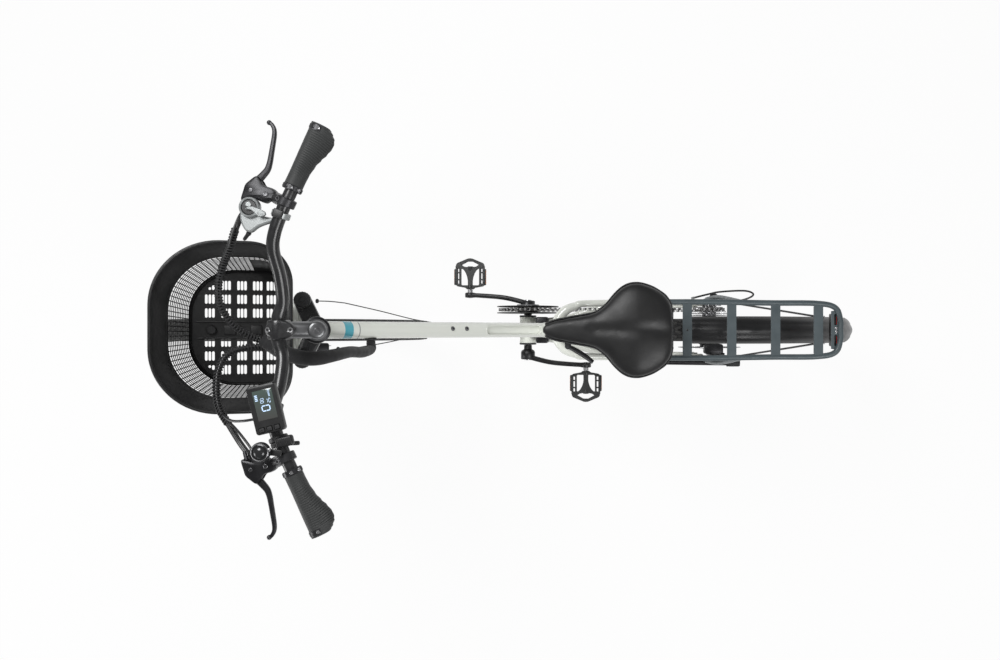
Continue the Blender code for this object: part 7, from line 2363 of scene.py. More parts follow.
def crankset():
    windows = []
    for number in range(5):
        start = number * 72 + 14
        windows.append(arc((0, 0), 0.0505, start, start + 44, 10) + arc((0, 0), 0.0320, start + 44, start, 6))
    ring = plate(
        toothed(36, tip=0.0020),
        0.0030,
        BRACKET + RIGHT * CHAINLINE,
        FLAT,
        [*windows, round_hole(0, 0, 0.0195, 32)],
        0.0003,
    )
    spider = ring_on(BRACKET + RIGHT * CHAINLINE, RIGHT, 0.0270, -0.0080, 0.0080, 0.0008, 0.0195, 48)
    piece("chainring_teeth", [ring, spider], "crank", CRANK_ALLOY, ["chainring"], 40)
    guards = []
    for level in (-0.00825, 0.00825):
        holes = [round_hole(0, 0, 0.0200, 32)]
        for number in range(5):
            start = number * 72 + 8
            holes.append(
                arc((0, 0), 0.0660, start, start + 54, 12) + arc((0, 0), 0.0350, start + 54, start, 8)
            )
        guards.append(
            plate(
                arc((0, 0), 0.0805, 0, 357, 119),
                0.0025,
                BRACKET + RIGHT * (CHAINLINE + level),
                FLAT,
                holes,
                0.0006,
            )
        )
    piece("chain_guards", guards, "crank", BLACK_PLASTIC, angle=40)
    bolts = []
    for number in range(5):
        angle = math.radians(72 * number)
        spot = around(0.0300, 0.0096, angle)
        bolts.append(bolt(BRACKET + RIGHT * CHAINLINE + spot, RIGHT, 0.0042, 0.0020))
    piece("chainring_bolts", bolts, "crank", STEEL)
    inner = CHAINLINE + 0.0098
    for side, name, axle in PEDALS:
        across = RIGHT * side
        start = BRACKET + across * (inner + 0.007)
        end = axle + across * 0.092
        bend = start.lerp(end, 0.42) + across * 0.006
        along = (end - start).normalized()
        route = smooth_route([start - along * 0.006, start, bend, end, end + along * 0.006], 10)

        def section(index, share):
            tall = 0.0150 - 0.0050 * share - 0.0090 * max(0, share - 0.93) / 0.07
            wide = 0.0070 - 0.0015 * share - 0.0020 * max(0, share - 0.93) / 0.07
            return squarish(tall, wide, 0.5, 32)

        arm = sweep(route, section, side=UP)
        boss = lathe(
            [
                (0.0, 0.0393), (0.0102, 0.0393), (0.0106, 0.0500), (0.0168, 0.0540), (0.0184, 0.0580),
                (0.0184, inner + 0.0120), (0.0164, inner + 0.0140), (0.0, inner + 0.0140),
            ],
            BRACKET,
            across,
            56,
        )
        eye = ring_on(axle, across, 0.0136, 0.0850, 0.0980, 0.0018, 0.0, 40)
        piece(
            f"crank_{name}", [arm, boss, eye], "crank", CRANK_ALLOY, [f"crank_arm_{name}"], 50
        )
        cap = bolt(BRACKET + across * (inner + 0.0140), across, 0.0098, 0.0024)
        pin = lathe(
            [
                (0.0, 0.1655), (0.0044, 0.1652), (0.0047, 0.1645), (0.0047, 0.1060), (0.0070, 0.1058),
                (0.0070, 0.0980), (0.0, 0.0980),
            ],
            axle,
            across,
            32,
        )
        end_cap = bolt(axle + across * 0.0850, -across, 0.0060, 0.0010)
        piece(f"crank_pin_{name}", [cap, pin, end_cap], "crank", STEEL)
        if side > 0:
            spindle = tube([BRACKET - RIGHT * 0.0390, BRACKET + RIGHT * 0.0480], 0.0085, 32)
            flange = ring_on(BRACKET, RIGHT, 0.0290, inner, inner + 0.0040, 0.0008, 0.0, 56)
            piece("crank_spindle", [spindle, flange], "crank", DARK_STEEL)


def pedals():
    half = 0.039
    shoulder = 0.065
    edge = [
        (0.0080, 0.0000), (0.0130, 0.0040), (0.0330, 0.0075), (0.0360, 0.0100), (half - 0.0006, 0.0260),
        (half, 0.0380), (half - 0.0006, 0.0520), (0.0365, shoulder), (0.0335, 0.0690), (0.0060, 0.0805),
        (0.0000, 0.0812),
    ]
    outline = edge + [(-x, y) for x, y in reversed(edge[:-1])]
    window = [(0.0060, 0.0105), (0.0215, 0.0105), (0.0236, 0.0130), (0.0236, 0.0530), (0.0215, 0.0545)]
    window += [(0.0160, 0.0500), (0.0110, 0.0420), (0.0075, 0.0320), (0.0055, 0.0200)]
    windows = [window, [(-x, y) for x, y in window]]
    windows.append(
        [
            (-0.0225, 0.0640), (-0.0160, 0.0595), (-0.0060, 0.0580), (0.0, 0.0600), (0.0060, 0.0580),
            (0.0160, 0.0595),
        ]
        + [(0.0225, 0.0640), (0.0060, 0.0728), (-0.0060, 0.0728)]
    )
    for side in (1, -1):
        for low, high in ((0.0150, 0.0235), (0.0270, 0.0420), (0.0455, 0.0540)):
            windows.append(
                [(side * 0.0285, low), (side * 0.0325, low), (side * 0.0325, high), (side * 0.0285, high)]
            )
    for side, name, axle in PEDALS:
        across = RIGHT * side
        origin = axle + across * 0.107
        lie = Matrix((REARWARD, across, UP)).transposed()
        cage = plate(outline, 0.0130, origin, lie, windows, bevel=0.0012)
        sleeve = lathe(
            [
                (0.0050, 0.0004), (0.0082, 0.0004), (0.0086, 0.0016), (0.0084, 0.0080), (0.0066, 0.0120),
                (0.0064, 0.0480), (0.0078, 0.0520), (0.0078, 0.0590), (0.0066, 0.0600), (0.0050, 0.0600),
            ],
            origin,
            across,
            40,
        )
        studs = []
        for edge in (1, -1):
            for k in range(7):
                for level in (1, -1):
                    studs.append(
                        box(
                            origin + Vector(
                                (edge * (half - 0.0028), side * (0.0120 + 0.0078 * k), level * 0.0066)
                            ),
                            (0.0036, 0.0032, 0.0016),
                            None,
                            0.0006,
                            2,
                        )
                    )
        for x in (-0.024, -0.012, 0.0, 0.012, 0.024):
            y = 0.0772 - 0.40 * max(abs(x) - 0.004, 0)
            for level in (1, -1):
                studs.append(
                    box(
                        origin + Vector((x, side * y, level * 0.0066)),
                        (0.0034, 0.0030, 0.0016),
                        None,
                        0.0006,
                        2,
                    )
                )
        frames = []
        for edge in (1, -1):
            frames.append(
                box(
                    origin + Vector((edge * (half - 0.0005), side * 0.032, 0)),
                    (0.0055, 0.0420, 0.0118),
                    None,
                    0.0012,
                    3,
                )
            )
        piece(
            f"pedal_cage_{name}",
            [cage, sleeve, *studs, *frames],
            f"pedal_{name}",
            PEDAL_PLASTIC,
            [f"pedal_{name}"],
            40,
        )
        lenses = [
            box(
                origin + Vector((edge * (half + 0.0020), side * 0.032, 0)),
                (0.0016, 0.0370, 0.0086),
                None,
                0.0005,
                2,
            )
            for edge in (1, -1)
        ]
        piece(f"pedal_lenses_{name}", lenses, f"pedal_{name}", AMBER_LENS)


def belt_points(circles):
    """Points of a band round circles (x, z, radius, way), way -1 where it passes on the far side."""
    count = len(circles)
    tangents = []
    for index in range(count):
        (x1, y1, r1, s1), (x2, y2, r2, s2) = circles[index], circles[(index + 1) % count]
        distance = math.hypot(x2 - x1, y2 - y1)
        lean = math.atan2(y2 - y1, x2 - x1) - math.pi / 2
        tangents.append(lean + math.asin((r1 * s1 - r2 * s2) / distance))
    loop = []
    for index in range(count):
        x, y, radius, way = circles[index]
        start, end = tangents[index - 1], tangents[index]
        turn = (end - start) % (2 * math.pi)
        if way < 0:
            turn -= 2 * math.pi
        steps = max(4, round(abs(turn) / 0.03))
        for step in range(steps + 1):
            angle = start + turn * step / steps
            loop.append((x + radius * way * math.cos(angle), y + radius * way * math.sin(angle)))
    return loop


def chain():
    pulley = pin_radius(11)
    loop = belt_points(
        [
            (REAR_AXLE.x, REAR_AXLE.z, pin_radius(18), 1),
            (BRACKET.x, BRACKET.z, pin_radius(36), 1),
            (TENSION_PULLEY.x, TENSION_PULLEY.z, pulley, 1),
            (GUIDE_PULLEY.x, GUIDE_PULLEY.z, pulley, -1),
        ]
    )
    closed = loop + [loop[0]]
    reach = [0.0]
    for near, far in zip(closed, closed[1:]):
        reach.append(reach[-1] + math.hypot(far[0] - near[0], far[1] - near[1]))
    total = reach[-1]
    count = 2 * round(total / PITCH / 2)
    pins = []
    place = 0
    for number in range(count):
        wanted = total * number / count
        while reach[place + 1] < wanted:
            place += 1
        share = (wanted - reach[place]) / max(reach[place + 1] - reach[place], 1e-9)
        pins.append(
            Vector(
                (
                    closed[place][0] + (closed[place + 1][0] - closed[place][0]) * share,
                    CHAINLINE,
                    closed[place][1] + (closed[place + 1][1] - closed[place][1]) * share,
                )
            )
        )
    half = total / count / 2
    outline = arc((half, 0), 0.0040, -90, 90, 8) + [(half * 0.45, 0.0030), (-half * 0.45, 0.0030)]
    outline += arc((-half, 0), 0.0040, 90, 270, 8) + [(-half * 0.45, -0.0030), (half * 0.45, -0.0030)]
    inner = plate(outline, 0.0009, Vector((0, 0, 0)), Matrix.Identity(3), bevel=0.00015)
    plates, rollers = [], []
    for number in range(count):
        here, there = pins[number], pins[(number + 1) % count]
        way = (there - here).normalized()
        turned_to = Matrix((way, way.cross(RIGHT) * -1, RIGHT)).transposed()
        level = 0.0031 if number % 2 else 0.0020
        for side in (1, -1):
            copy = inner.copy()
            copy.transform(Matrix.Translation((here + there) / 2 + RIGHT * side * level) @ turned_to.to_4x4())
            plates.append(copy)
        rollers.append(
            lathe(
                [
                    (0.0, 0.0036), (0.0016, 0.0036), (0.0018, 0.0034), (0.0018, -0.0034), (0.0016, -0.0036),
                    (0.0, -0.0036),
                ],
                here,
                RIGHT,
                10,
            )
        )
        rollers.append(
            lathe([(0.0036, 0.0014), (0.0039, 0.0011), (0.0039, -0.0011), (0.0036, -0.0014)], here, RIGHT, 12)
        )
    piece("chain_plates", plates, "frame", CHAIN_STEEL, ["chain"], 40)
    piece("chain_rollers", rollers, "frame", STEEL, angle=40)


def derailleur():
    for name, centre in (("guide", GUIDE_PULLEY), ("tension", TENSION_PULLEY)):
        holes = [round_hole(0, 0, 0.0034, 20)]
        for k in range(5):
            angle = math.radians(72 * k)
            holes.append(round_hole(0.0105 * math.cos(angle), 0.0105 * math.sin(angle), 0.0024, 12))
        wheel_shape = plate(
            toothed(11, tip=0.0016), 0.0044, centre + RIGHT * CHAINLINE, FLAT, holes, bevel=0.0005
        )
        piece(
            f"{name}_wheel",
            [wheel_shape],
            f"{name}_pulley",
            BLACK_PLASTIC,
            [f"{name}_pulley"],
            40,
        )
    direction = (GUIDE_PULLEY - TENSION_PULLEY).normalized()
    middle = (GUIDE_PULLEY + TENSION_PULLEY) / 2
    half = (GUIDE_PULLEY - TENSION_PULLEY).length / 2
    outline = arc((half, 0), 0.0115, -80, 80, 12) + [(half * 0.3, 0.0070), (-half * 0.3, 0.0070)]
    outline += arc((-half, 0), 0.0115, 100, 260, 12) + [(-half * 0.3, -0.0070), (half * 0.3, -0.0070)]
    lie = frame_of(direction, direction.cross(RIGHT))
    cages = []
    for side in (1, -1):
        cages.append(
            plate(
                outline,
                0.0018,
                middle + RIGHT * (CHAINLINE + side * 0.0058),
                lie,
                [slot_hole(0, 0, half * 1.0, 0.0065, 0, 6)],
                bevel=0.0003,
            )
        )
    side_gap = 0.0048
    knuckle = GUIDE_PULLEY + RIGHT * (CHAINLINE + side_gap)
    hanger = REAR_AXLE + Vector((0.016, DROPOUT_OUTSIDE + 0.012, -0.030))
    link = hanger - (knuckle + RIGHT * 0.018)
    shapes = [
        *cages,
        ring_on(knuckle, RIGHT, 0.0110, 0.0, 0.0220, 0.0016, 0.0, 40),
        box(hanger - link / 2, (link.length + 0.012, 0.0215, 0.0138), frame_of(link, REARWARD), 0.0042, 4),
        ring_on(hanger, RIGHT, 0.0086, -0.0120, 0.0080, 0.0012, 0.0, 40),
    ]
    piece("derailleur_body", shapes, "frame", BLACK_ALLOY, ["derailleur"], 40)
    fixings = [bolt(hanger + RIGHT * 0.0078, RIGHT, 0.0060, 0.0026)]
    for centre in (GUIDE_PULLEY, TENSION_PULLEY):
        fixings.append(
            tube([centre + RIGHT * (CHAINLINE - 0.0064), centre + RIGHT * (CHAINLINE + 0.0064)], 0.0028, 16)
        )
        fixings.append(bolt(centre + RIGHT * (CHAINLINE + 0.0066), RIGHT, 0.0042, 0.0016))
    fixings.append(bolt(knuckle + RIGHT * 0.0220, RIGHT, 0.0052, 0.0020))
    for z in (-0.004, 0.004):
        fixings.append(
            bolt(hanger - link * 0.5 + Vector((0.012, 0.002, z + 0.004)), Vector((1, 0, 0.2)), 0.0020, 0.0016)
        )
    piece("derailleur_bolts", fixings, "frame", STEEL)
    loop = [
        REAR_AXLE + Vector((-0.045, DROPOUT_OUTSIDE + 0.0078, -0.006)),
        REAR_AXLE + Vector((0.000, DROPOUT_OUTSIDE + 0.0190, -0.012)),
        REAR_AXLE + Vector((0.035, DROPOUT_OUTSIDE + 0.0260, -0.030)),
        REAR_AXLE + Vector((0.100, DROPOUT_OUTSIDE + 0.0290, -0.045)),
        REAR_AXLE + Vector((0.124, DROPOUT_OUTSIDE + 0.0200, -0.058)),
        REAR_AXLE + Vector((0.105, DROPOUT_OUTSIDE + 0.0080, -0.066)),
        REAR_AXLE + Vector((0.060, DROPOUT_OUTSIDE - 0.0010, -0.070)),
        GUIDE_PULLEY + RIGHT * (DROPOUT_OUTSIDE - 0.003),
    ]
    housing = tube(loop, 0.0025, 14, 10)
    ends = [
        lathe(
            [(0.0, 0.0), (0.0032, 0.0), (0.0032, 0.0090), (0.0026, 0.0100), (0.0, 0.0100)],
            loop[0],
            loop[1] - loop[0],
            20,
        ),
        lathe(
            [(0.0, 0.0), (0.0034, 0.0), (0.0034, 0.0110), (0.0028, 0.0120), (0.0, 0.0120)],
            loop[6],
            loop[5] - loop[6],
            20,
        ),
    ]
    piece("derailleur_cable", [housing], "frame", CABLE_JACKET, angle=60)
    piece("derailleur_cable_ends", ends, "frame", STEEL)


# Rack, lamp and mudguard

def rack():
    high = 0.410
    half, end_half, rear = 0.059, 0.056, 0.226
    route = [
        (-0.155, half), (-0.05, half), (0.08, half - 0.002), (rear - 0.050, end_half),
        (rear - 0.011, end_half - 0.009), (rear, end_half - 0.036), (rear, 0),
    ]
    left = [(x, -y) for x, y in reversed(route[:-1])]
    rail = tube([REAR_AXLE + Vector((x, y, high)) for x, y in route + left], 0.0060, 28, 10)
    shapes = [rail]
    for number, x in enumerate((-0.097, -0.0035, 0.089, 0.179)):
        width = 2 * (half - 0.0015 * number)
        outline = soft_rectangle(0.0072, width / 2 - 0.003, 0.0025, 5)
        holes = [round_hole(0, 0, 0.0022, 16)] if number == 0 else []
        shapes.append(
            plate(
                outline, 0.0028, REAR_AXLE + Vector((x, 0, high + 0.0032)), Matrix.Identity(3), holes, 0.0007
            )
        )
        for edge in (1, -1):
            shapes.append(
                box(
                    REAR_AXLE + Vector((x + edge * 0.0088, 0, high + 0.0012)),
                    (0.0018, width - 0.010, 0.0050),
                    None,
                    0.0006,
                    3,
                )
            )
    end_outline = [(-0.0105, -0.040), (0.0100, -0.043), (0.0100, 0.043), (-0.0105, 0.040)]
    end_holes = [
        slot_hole(-0.001, 0.022, 0.024, 0.0060, math.pi / 2, 6),
        slot_hole(-0.001, -0.022, 0.024, 0.0060, math.pi / 2, 6),
    ]
    shapes.append(
        plate(
            end_outline,
            0.0034,
            REAR_AXLE + Vector((rear - 0.0085, 0, high - 0.0032)),
            Matrix.Identity(3),
            end_holes,
            0.0008,
        )
    )
    front = REAR_AXLE + Vector((-0.149, 0, high))
    shapes.append(tube([front - RIGHT * (half - 0.002), front + RIGHT * (half - 0.002)], 0.0048, 24))
    leg_level = DROPOUT_OUTSIDE + 0.005
    stay = {side: seatstay_points(side) for side in (1, -1)}
    welds = []
    for side in (1, -1):
        leg = [
            REAR_AXLE + Vector((0.0200, side * (half - 0.0015), high - 0.0010)),
            REAR_AXLE + Vector((0.0160, side * (half + 0.0040), high - 0.0500)),
            REAR_AXLE + Vector((0.000, side * (leg_level - 0.001), high * 0.45)),
            REAR_AXLE + Vector((-0.008, side * leg_level, 0.060)),
            REAR_AXLE + Vector((-0.008, side * leg_level, 0.016)),
        ]
        shapes.append(tube(leg, 0.0050, 24, 10))
        shapes.append(
            box(leg[-1] + Vector((0, side * -0.0012, -0.002)), (0.0160, 0.0050, 0.0240), None, 0.0018, 4)
        )
        foot = stay[side][-3].lerp(stay[side][-2], 0.55) + Vector((0, 0, 0.006))
        head = front + Vector((0.006, side * (half - 0.0007), -0.0012))
        shapes.append(tube([head, foot], 0.0042, 20))
        welds.append(weld_bead(head, (foot - head), 0.0042, front, REARWARD, 0.0058, 0.0010))
    piece("rack_frame", shapes, "frame", RACK_PAINT, ["rear_rack"], 40)
    bolts = [
        bolt(REAR_AXLE + Vector((-0.008, side * (leg_level + 0.0018), 0.014)), RIGHT * side, 0.0044, 0.0026)
        for side in (1, -1)
    ]
    bolts += [
        bolt(REAR_AXLE + Vector((rear - 0.0085, y, high - 0.0014)), UP, 0.0028, 0.0014)
        for y in (-0.004, 0.004)
    ]
    piece("rack_bolts", bolts, "frame", STEEL)
    lamp_at = REAR_AXLE + Vector((rear - 0.006, 0, high - 0.00552 - 0.0153))
    lens = box(lamp_at + Vector((0.0022, 0, -0.0010)), (0.0150, 0.068, 0.0270), None, 0.0045, 5)
    case = box(lamp_at + Vector((-0.0050, 0, 0)), (0.0096, 0.070, 0.0295), None, 0.0030, 4)
    piece("lamp_lens", [lens], "frame", RED_LENS, ["tail_lamp"], 40)
    piece("lamp_case", [case], "frame", BLACK_PLASTIC, angle=40)


def mudguard():
    radius_out, half, curve, depth = 0.352, 0.0285, math.radians(72), 0.016
    fall = 1 - math.cos(curve)
    profile = []
    for number in range(-14, 15):
        angle = curve * number / 14
        ridge = 0.0016 * math.exp(-((number / 2.2) ** 2)) - 0.0010 * math.exp(
            -(((abs(number) - 5.0) / 1.1) ** 2)
        )
        profile.append(
            (
                radius_out - depth * (1 - math.cos(angle)) / fall + ridge,
                half * math.sin(angle) / math.sin(curve),
            )
        )
    start, span, steps = -106.0, 126.0, 96
    shape = bmesh.new()
    rings = []
    for k in range(steps + 1):
        angle = math.radians(start + span * k / steps)
        end_share = min(k, steps - k) / 3
        narrow = 1 if end_share >= 1 else 0.86 + 0.14 * math.sqrt(max(1 - (1 - end_share) ** 2, 0))
        rings.append(
            [
                shape.verts.new(REAR_AXLE + Vector((r * math.cos(angle), y * narrow, -r * math.sin(angle))))
                for r, y in profile
            ]
        )
    for near, far in zip(rings, rings[1:]):
        for k in range(len(profile) - 1):
            shape.faces.new((near[k], near[k + 1], far[k + 1], far[k]))
    bmesh.ops.recalc_face_normals(shape, faces=shape.faces)
    guard = thicken(shape, 0.0022)
    edges = []
    for index in (0, -1):
        edge = []
        for k in range(2, steps - 1):
            angle = math.radians(start + span * k / steps)
            r, y = profile[index]
            edge.append(REAR_AXLE + Vector((r * math.cos(angle), y, -r * math.sin(angle))))
        edges.append(sweep(edge, lambda number, share: circle(0.0016, 8)))
    piece("mudguard_shell", [guard, *edges], "frame", GUARD_PLASTIC, ["rear_mudguard"], 50)
    level = DROPOUT_OUTSIDE + 0.0024
    reach = radius_out - depth + 0.003
    bearing = math.radians(43)
    stays = []
    fixings = []
    for side in (1, -1):
        foot = REAR_AXLE + Vector((0.014, side * level, 0.013))
        end = REAR_AXLE + Vector((reach * math.sin(bearing), side * half, reach * math.cos(bearing)))
        stays.append(tube([foot, end], 0.0024, 18))
        stays.append(ring_on(foot, RIGHT * side, 0.0068, -0.0022, 0.0022, 0.0006, 0.0, 28))
        fixings.append(bolt(foot + RIGHT * side * 0.0022, RIGHT * side, 0.0040, 0.0022))
        fixings.append(bolt(end + RIGHT * side * 0.0022, RIGHT * side, 0.0036, 0.0018))
    fixings.append(bolt(REAR_AXLE + UP * 0.3538 + REARWARD * 0.012, UP, 0.0038, 0.0014))
    piece("mudguard_stays", stays, "frame", BLACK_PAINT)
    piece("mudguard_bolts", fixings, "frame", STEEL)


# Kickstand and power

def kickstand():
    pivot = Vector((KICKSTAND_X, -0.08, 0.288))
    start = pivot - RIGHT * 0.0025
    end = pivot + Vector((0.271, -0.0070, 0.004))
    way = (end - start).normalized()
    hub = ring_on(pivot, RIGHT, 0.0110, -0.0090, 0.0045, 0.0012, 0.0055, 48)
    leg = tapered(
        [start, start.lerp(end, 0.3), start.lerp(end, 0.7), end - way * 0.030],
        [0.0076, 0.0074, 0.0070, 0.0066],
        32,
        6,
    )
    piece("stand_leg", [hub, leg], "kickstand", BLACK_ALLOY, ["kickstand_leg"])
    foot = lathe(
        [
            (0.0066, 0.0), (0.0088, 0.0006), (0.0094, 0.0030), (0.0092, 0.0060), (0.0094, 0.0090),
            (0.0092, 0.0120), (0.0094, 0.0150), (0.0092, 0.0200), (0.0090, 0.0320), (0.0078, 0.0355),
            (0.0, 0.0360),
        ],
        end - way * 0.036,
        way,
        40,
    )
    piece("stand_foot", [foot], "kickstand", SOFT_RUBBER)


def power():
    low, high, front, depth, width = 0.262, 0.455, 0.0228, 0.068, 0.068
    middle = (low + high) / 2
    case = box(
        on_seat_tube(middle, front + depth / 2), (high - low, width, depth), ALONG_SEAT_TUBE, 0.0105, 6
    )
    space = tube([REAR_AXLE - RIGHT * 0.07, REAR_AXLE + RIGHT * 0.07], 0.347, 160)
    main = cut_by(case, [space])
    tongue_length = SEAT_TUBE_LENGTH - COLLAR_HEIGHT - low - 0.008
    tongue_reach = front + 0.010 - SEAT_TUBE_RADIUS - 0.0003
    tongue = box(
        on_seat_tube(low + 0.002 + tongue_length / 2, front + 0.010 - tongue_reach / 2),
        (tongue_length, 0.016, tongue_reach),
        ALONG_SEAT_TUBE,
        0.0010,
        2,
    )
    piece("battery", [main, tongue], "frame", CASE_PLASTIC, ["battery_case"], 40)
    trims = []
    for side in (1, -1):
        for k in range(4):
            spot = on_seat_tube(middle + 0.020 + 0.012 * k, front + depth * 0.42, side * (width / 2 + 0.0002))
            trims.append(box(spot, (0.0022, 0.0012, 0.034), ALONG_SEAT_TUBE, 0.0005, 2))
    handle = tube(
        [
            on_seat_tube(high - 0.002, front + 0.016),
            on_seat_tube(high + 0.006, front + 0.022),
            on_seat_tube(high + 0.006, front + 0.044),
            on_seat_tube(high - 0.002, front + 0.050),
        ],
        0.0040,
        20,
        8,
    )
    piece("battery_trim", [*trims, handle], "frame", SOFT_RUBBER)
    lock = lathe(
        [
            (0.0, 0.0006), (0.0018, 0.0006), (0.0020, 0.0016), (0.0070, 0.0018), (0.0080, 0.0006),
            (0.0080, -0.0010),
        ],
        on_seat_tube(low + 0.030, front + 0.020, -width / 2),
        -RIGHT,
        36,
    )
    piece("battery_lock", [lock], "frame", STEEL)
    shell = box(BRACKET + Vector((0.0405, 0, 0.0410)), (0.030, 0.067, 0.0515), None, 0.0040, 4)
    tube_space = tube([BRACKET, on_seat_tube(0.37)], 0.0174, 48)
    fins = [
        box(BRACKET + Vector((0.0560, 0, 0.0200 + 0.0070 * k)), (0.0016, 0.058, 0.0030), None, 0.0006, 2)
        for k in range(7)
    ]
    piece(
        "controller",
        [cut_by(shell, [tube_space]), *fins],
        "frame",
        BLACK_ALLOY,
        ["controller_case"],
        40,
    )


freewheel()
crankset()
pedals()
chain()
derailleur()
rack()
mudguard()
kickstand()
power()


# Cables and wiring

def route_length(route):
    return sum((b - a).length for a, b in zip(route, route[1:]))


def spiral(route, radius, pitch, thick, start=0.0, end=None):
    """A flat band wound round a route."""
    total = route_length(route)
    end = total if end is None else end
    pairs = frames_along(route)
    reaches = [0.0]
    for a, b in zip(route, route[1:]):
        reaches.append(reaches[-1] + (b - a).length)
    line = []
    count = int((end - start) / pitch * 14)
    place = 0
    for k in range(count + 1):
        distance = start + (end - start) * k / count
        while place < len(route) - 2 and reaches[place + 1] < distance:
            place += 1
        span = reaches[place + 1] - reaches[place]
        share = (distance - reaches[place]) / span if span else 0
        point = route[place].lerp(route[place + 1], share)
        normal, other = pairs[place]
        angle = 2 * math.pi * k / 14
        line.append(point + (normal * math.cos(angle) + other * math.sin(angle)) * radius)
    return sweep(line, lambda index, share: circle(thick, 8, 1.0))


def bundle(name, trunk, branches, node, wrap_from, wrap_to, lags):
    """Cables side by side in a spiral wrap, with the ends that leave for the controls."""
    route = smooth_route(trunk, 8)
    pairs = frames_along(route)
    shapes = []
    for angle, radius in lags:
        line = [
            point + normal * math.cos(angle) * 0.0030 + other * math.sin(angle) * 0.0030
            for point, (normal, other) in zip(route, pairs)
        ]
        shapes.append(sweep(line, lambda index, share: circle(radius, 14)))
    for points in branches:
        shapes.append(tube(points, 0.0023, 14, 10))
    piece(name, shapes, "steering", CABLE_JACKET, [node], 60)
    total = route_length(route)
    wrap = spiral(route, 0.0058, 0.0058, 0.0015, total * wrap_from, total * wrap_to)
    piece(name + "_wrap", [wrap], "steering", SOFT_RUBBER, angle=60)
    return route


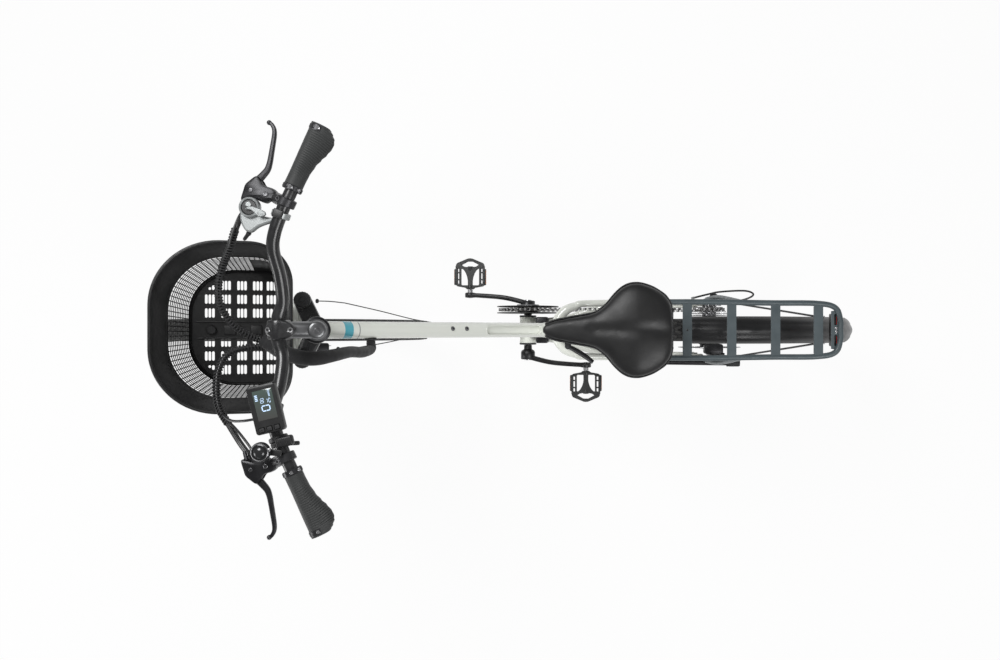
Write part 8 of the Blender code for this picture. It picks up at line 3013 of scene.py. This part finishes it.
def cables():
    sleeve_start = BAR_CLAMP + Vector((-0.033, -0.034, -0.080))
    sleeve_way = Vector((0.85, -0.52, -0.05)).normalized()
    aside = sleeve_way.cross(UP).normalized() * 0.0054

    def at(*places):
        return [BAR_CLAMP + Vector(place) for place in places]

    lags = ((0.4, 0.0026), (2.5, 0.0024), (4.6, 0.0026))
    right_end = sleeve_start - aside
    right_trunk = [
        HOSE_START,
        HOSE_START + HOSE_WAY * 0.008,
        *at(
            (-0.0605, 0.1943, 0.0176), (-0.0780, 0.1680, 0.0020), (-0.0905, 0.1453, -0.0120),
            (-0.1110, 0.1168, -0.0320), (-0.1250, 0.0800, -0.0440), (-0.1240, 0.0400, -0.0540),
            (-0.1020, 0.0040, -0.0660), (-0.0740, -0.0140, -0.0760),
        ),
        right_end - sleeve_way * 0.012,
        right_end,
    ]
    right_branch = at(
        (-0.0400, 0.1990, 0.0390), (-0.0560, 0.1900, 0.0360), (-0.0780, 0.1640, 0.0100),
        (-0.0930, 0.1420, -0.0120),
    )
    bundle("cables_right", right_trunk, [right_branch], "cable_bundle_right", 0.16, 0.93, lags)
    left_start = Vector((HOSE_START.x, -HOSE_START.y, HOSE_START.z))
    left_way = Vector((HOSE_WAY.x, -HOSE_WAY.y, HOSE_WAY.z))
    left_end = sleeve_start + aside
    left_trunk = [
        left_start,
        left_start + left_way * 0.008,
        *at(
            (-0.0620, -0.1943, 0.0160), (-0.0880, -0.1650, 0.0000), (-0.1110, -0.1380, -0.0150),
            (-0.1210, -0.1080, -0.0270), (-0.1230, -0.0740, -0.0390), (-0.1140, -0.0470, -0.0500),
            (-0.0950, -0.0350, -0.0620), (-0.0690, -0.0310, -0.0730),
        ),
        left_end - sleeve_way * 0.012,
        left_end,
    ]
    loop = at(
        (-0.0194, -0.1500, 0.0610), (-0.0450, -0.1540, 0.0500), (-0.0746, -0.1560, 0.0220),
        (-0.0990, -0.1490, -0.0040), (-0.1130, -0.1350, -0.0170),
    )
    second = [
        Vector((LEVER_PIVOT.x + 0.0050, -0.2180, LEVER_PIVOT.z)),
        Vector((LEVER_PIVOT.x - 0.0080, -0.1980, LEVER_PIVOT.z - 0.003)),
        *at((-0.0700, -0.1720, 0.0120), (-0.1010, -0.1500, -0.0060), (-0.1130, -0.1350, -0.0170)),
    ]
    bundle("cables_left", left_trunk, [loop, second], "cable_bundle_left", 0.24, 0.93, lags)
    boots = []
    for foot, way in ((HOSE_START, HOSE_WAY), (left_start, left_way)):
        boots.append(
            lathe(
                [
                    (0.0, 0.0), (0.0042, 0.0), (0.0044, 0.0040), (0.0034, 0.0052), (0.0031, 0.0150),
                    (0.0, 0.0150),
                ],
                foot - way * 0.0060,
                way,
                24,
            )
        )
    piece("cable_boots", boots, "steering", SOFT_RUBBER)
    tube_at = UPPER_START + UPPER_AXIS * 0.120 - RIGHT * 0.0181
    points = [
        sleeve_start - sleeve_way * 0.0300,
        sleeve_start - sleeve_way * 0.0100,
        sleeve_start + sleeve_way * 0.0120,
        *at(
            (0.0050, -0.0500, -0.0840), (0.0330, -0.0530, -0.0980), (0.0560, -0.0480, -0.1350),
            (0.0700, -0.0430, -0.1900),
        ),
        tube_at + Vector((-0.004, -0.0270, 0.0500)),
        tube_at - RIGHT * 0.0220,
        tube_at - RIGHT * 0.0110,
        tube_at,
    ]
    radii = [0.0135, 0.0140, 0.0138, 0.0132, 0.0128, 0.0122, 0.0118, 0.0112, 0.0100, 0.0092, 0.0088]
    route = smooth_route(points, 12)

    def section(index, share):
        radius = between(radii, min(index / 12, len(radii) - 1.001))
        crease = 1 + 0.035 * math.sin(index * 1.05) * math.sin(index * 0.31)
        return [
            (
                radius * crease * (1 + 0.05 * math.sin(3 * a + index * 0.12)) * math.cos(a),
                radius * (1 + 0.05 * math.cos(2 * a + index * 0.09)) * math.sin(a),
            )
            for a in (2 * math.pi * k / 36 for k in range(36))
        ]

    sleeve = sweep(route, section)
    made = bpy.data.objects.new("wiring_cover", sleeve)
    scene.collection.objects.link(made)
    sleeve.materials.clear()
    sleeve.materials.append(NEOPRENE)
    sleeve.shade_smooth()
    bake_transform(made)
    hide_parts("wiring_sleeve")
    grommet = lathe(
        [
            (0.0088, 0.0), (0.0120, 0.0), (0.0128, 0.0012), (0.0124, 0.0034), (0.0100, 0.0046),
            (0.0088, 0.0046),
        ],
        tube_at + RIGHT * 0.0006,
        -RIGHT,
        40,
    )
    piece("wiring_grommet", [grommet], "frame", SOFT_RUBBER)


def frame_cables():
    """The thin brake and shift lines that run beside the upper tube."""

    def seen(px, py, height):
        return Vector((0.2381 + (px - 600) * (2.6 - height) / 880, (330 - py) * (2.6 - height) / 880, height))

    right = [seen(345, 303, 0.800), seen(380, 311, 0.722), seen(412, 319, 0.640), seen(432, 322.5, 0.600)]
    left = [seen(352, 348.5, 0.790), seen(384, 343, 0.715), seen(414, 337, 0.640), seen(430, 335.5, 0.606)]
    lines = []
    for points in (right, left):
        lines.append(tube(points, 0.0011, 10, 10))
    front = [
        [seen(317, 301, 0.820), seen(330, 301.4, 0.812), seen(345, 303, 0.800)],
        [seen(338, 349, 0.806), seen(345, 349, 0.798), seen(352, 348.5, 0.790)],
    ]
    for points in front:
        lines.append(tube(points, 0.0011, 10, 10))
    piece("frame_lines", lines, "frame", CABLE_JACKET, angle=60)
    ferrules = []
    for points in front:
        ferrules.append(
            lathe(
                [
                    (0.0, 0.0), (0.0026, 0.0), (0.0044, 0.0016), (0.0044, 0.0050), (0.0026, 0.0066),
                    (0.0, 0.0066),
                ],
                points[0] - (points[1] - points[0]).normalized() * 0.003,
                points[1] - points[0],
                20,
            )
        )
    piece("frame_ferrules", ferrules, "frame", BLACK_PLASTIC)


cables()
frame_cables()
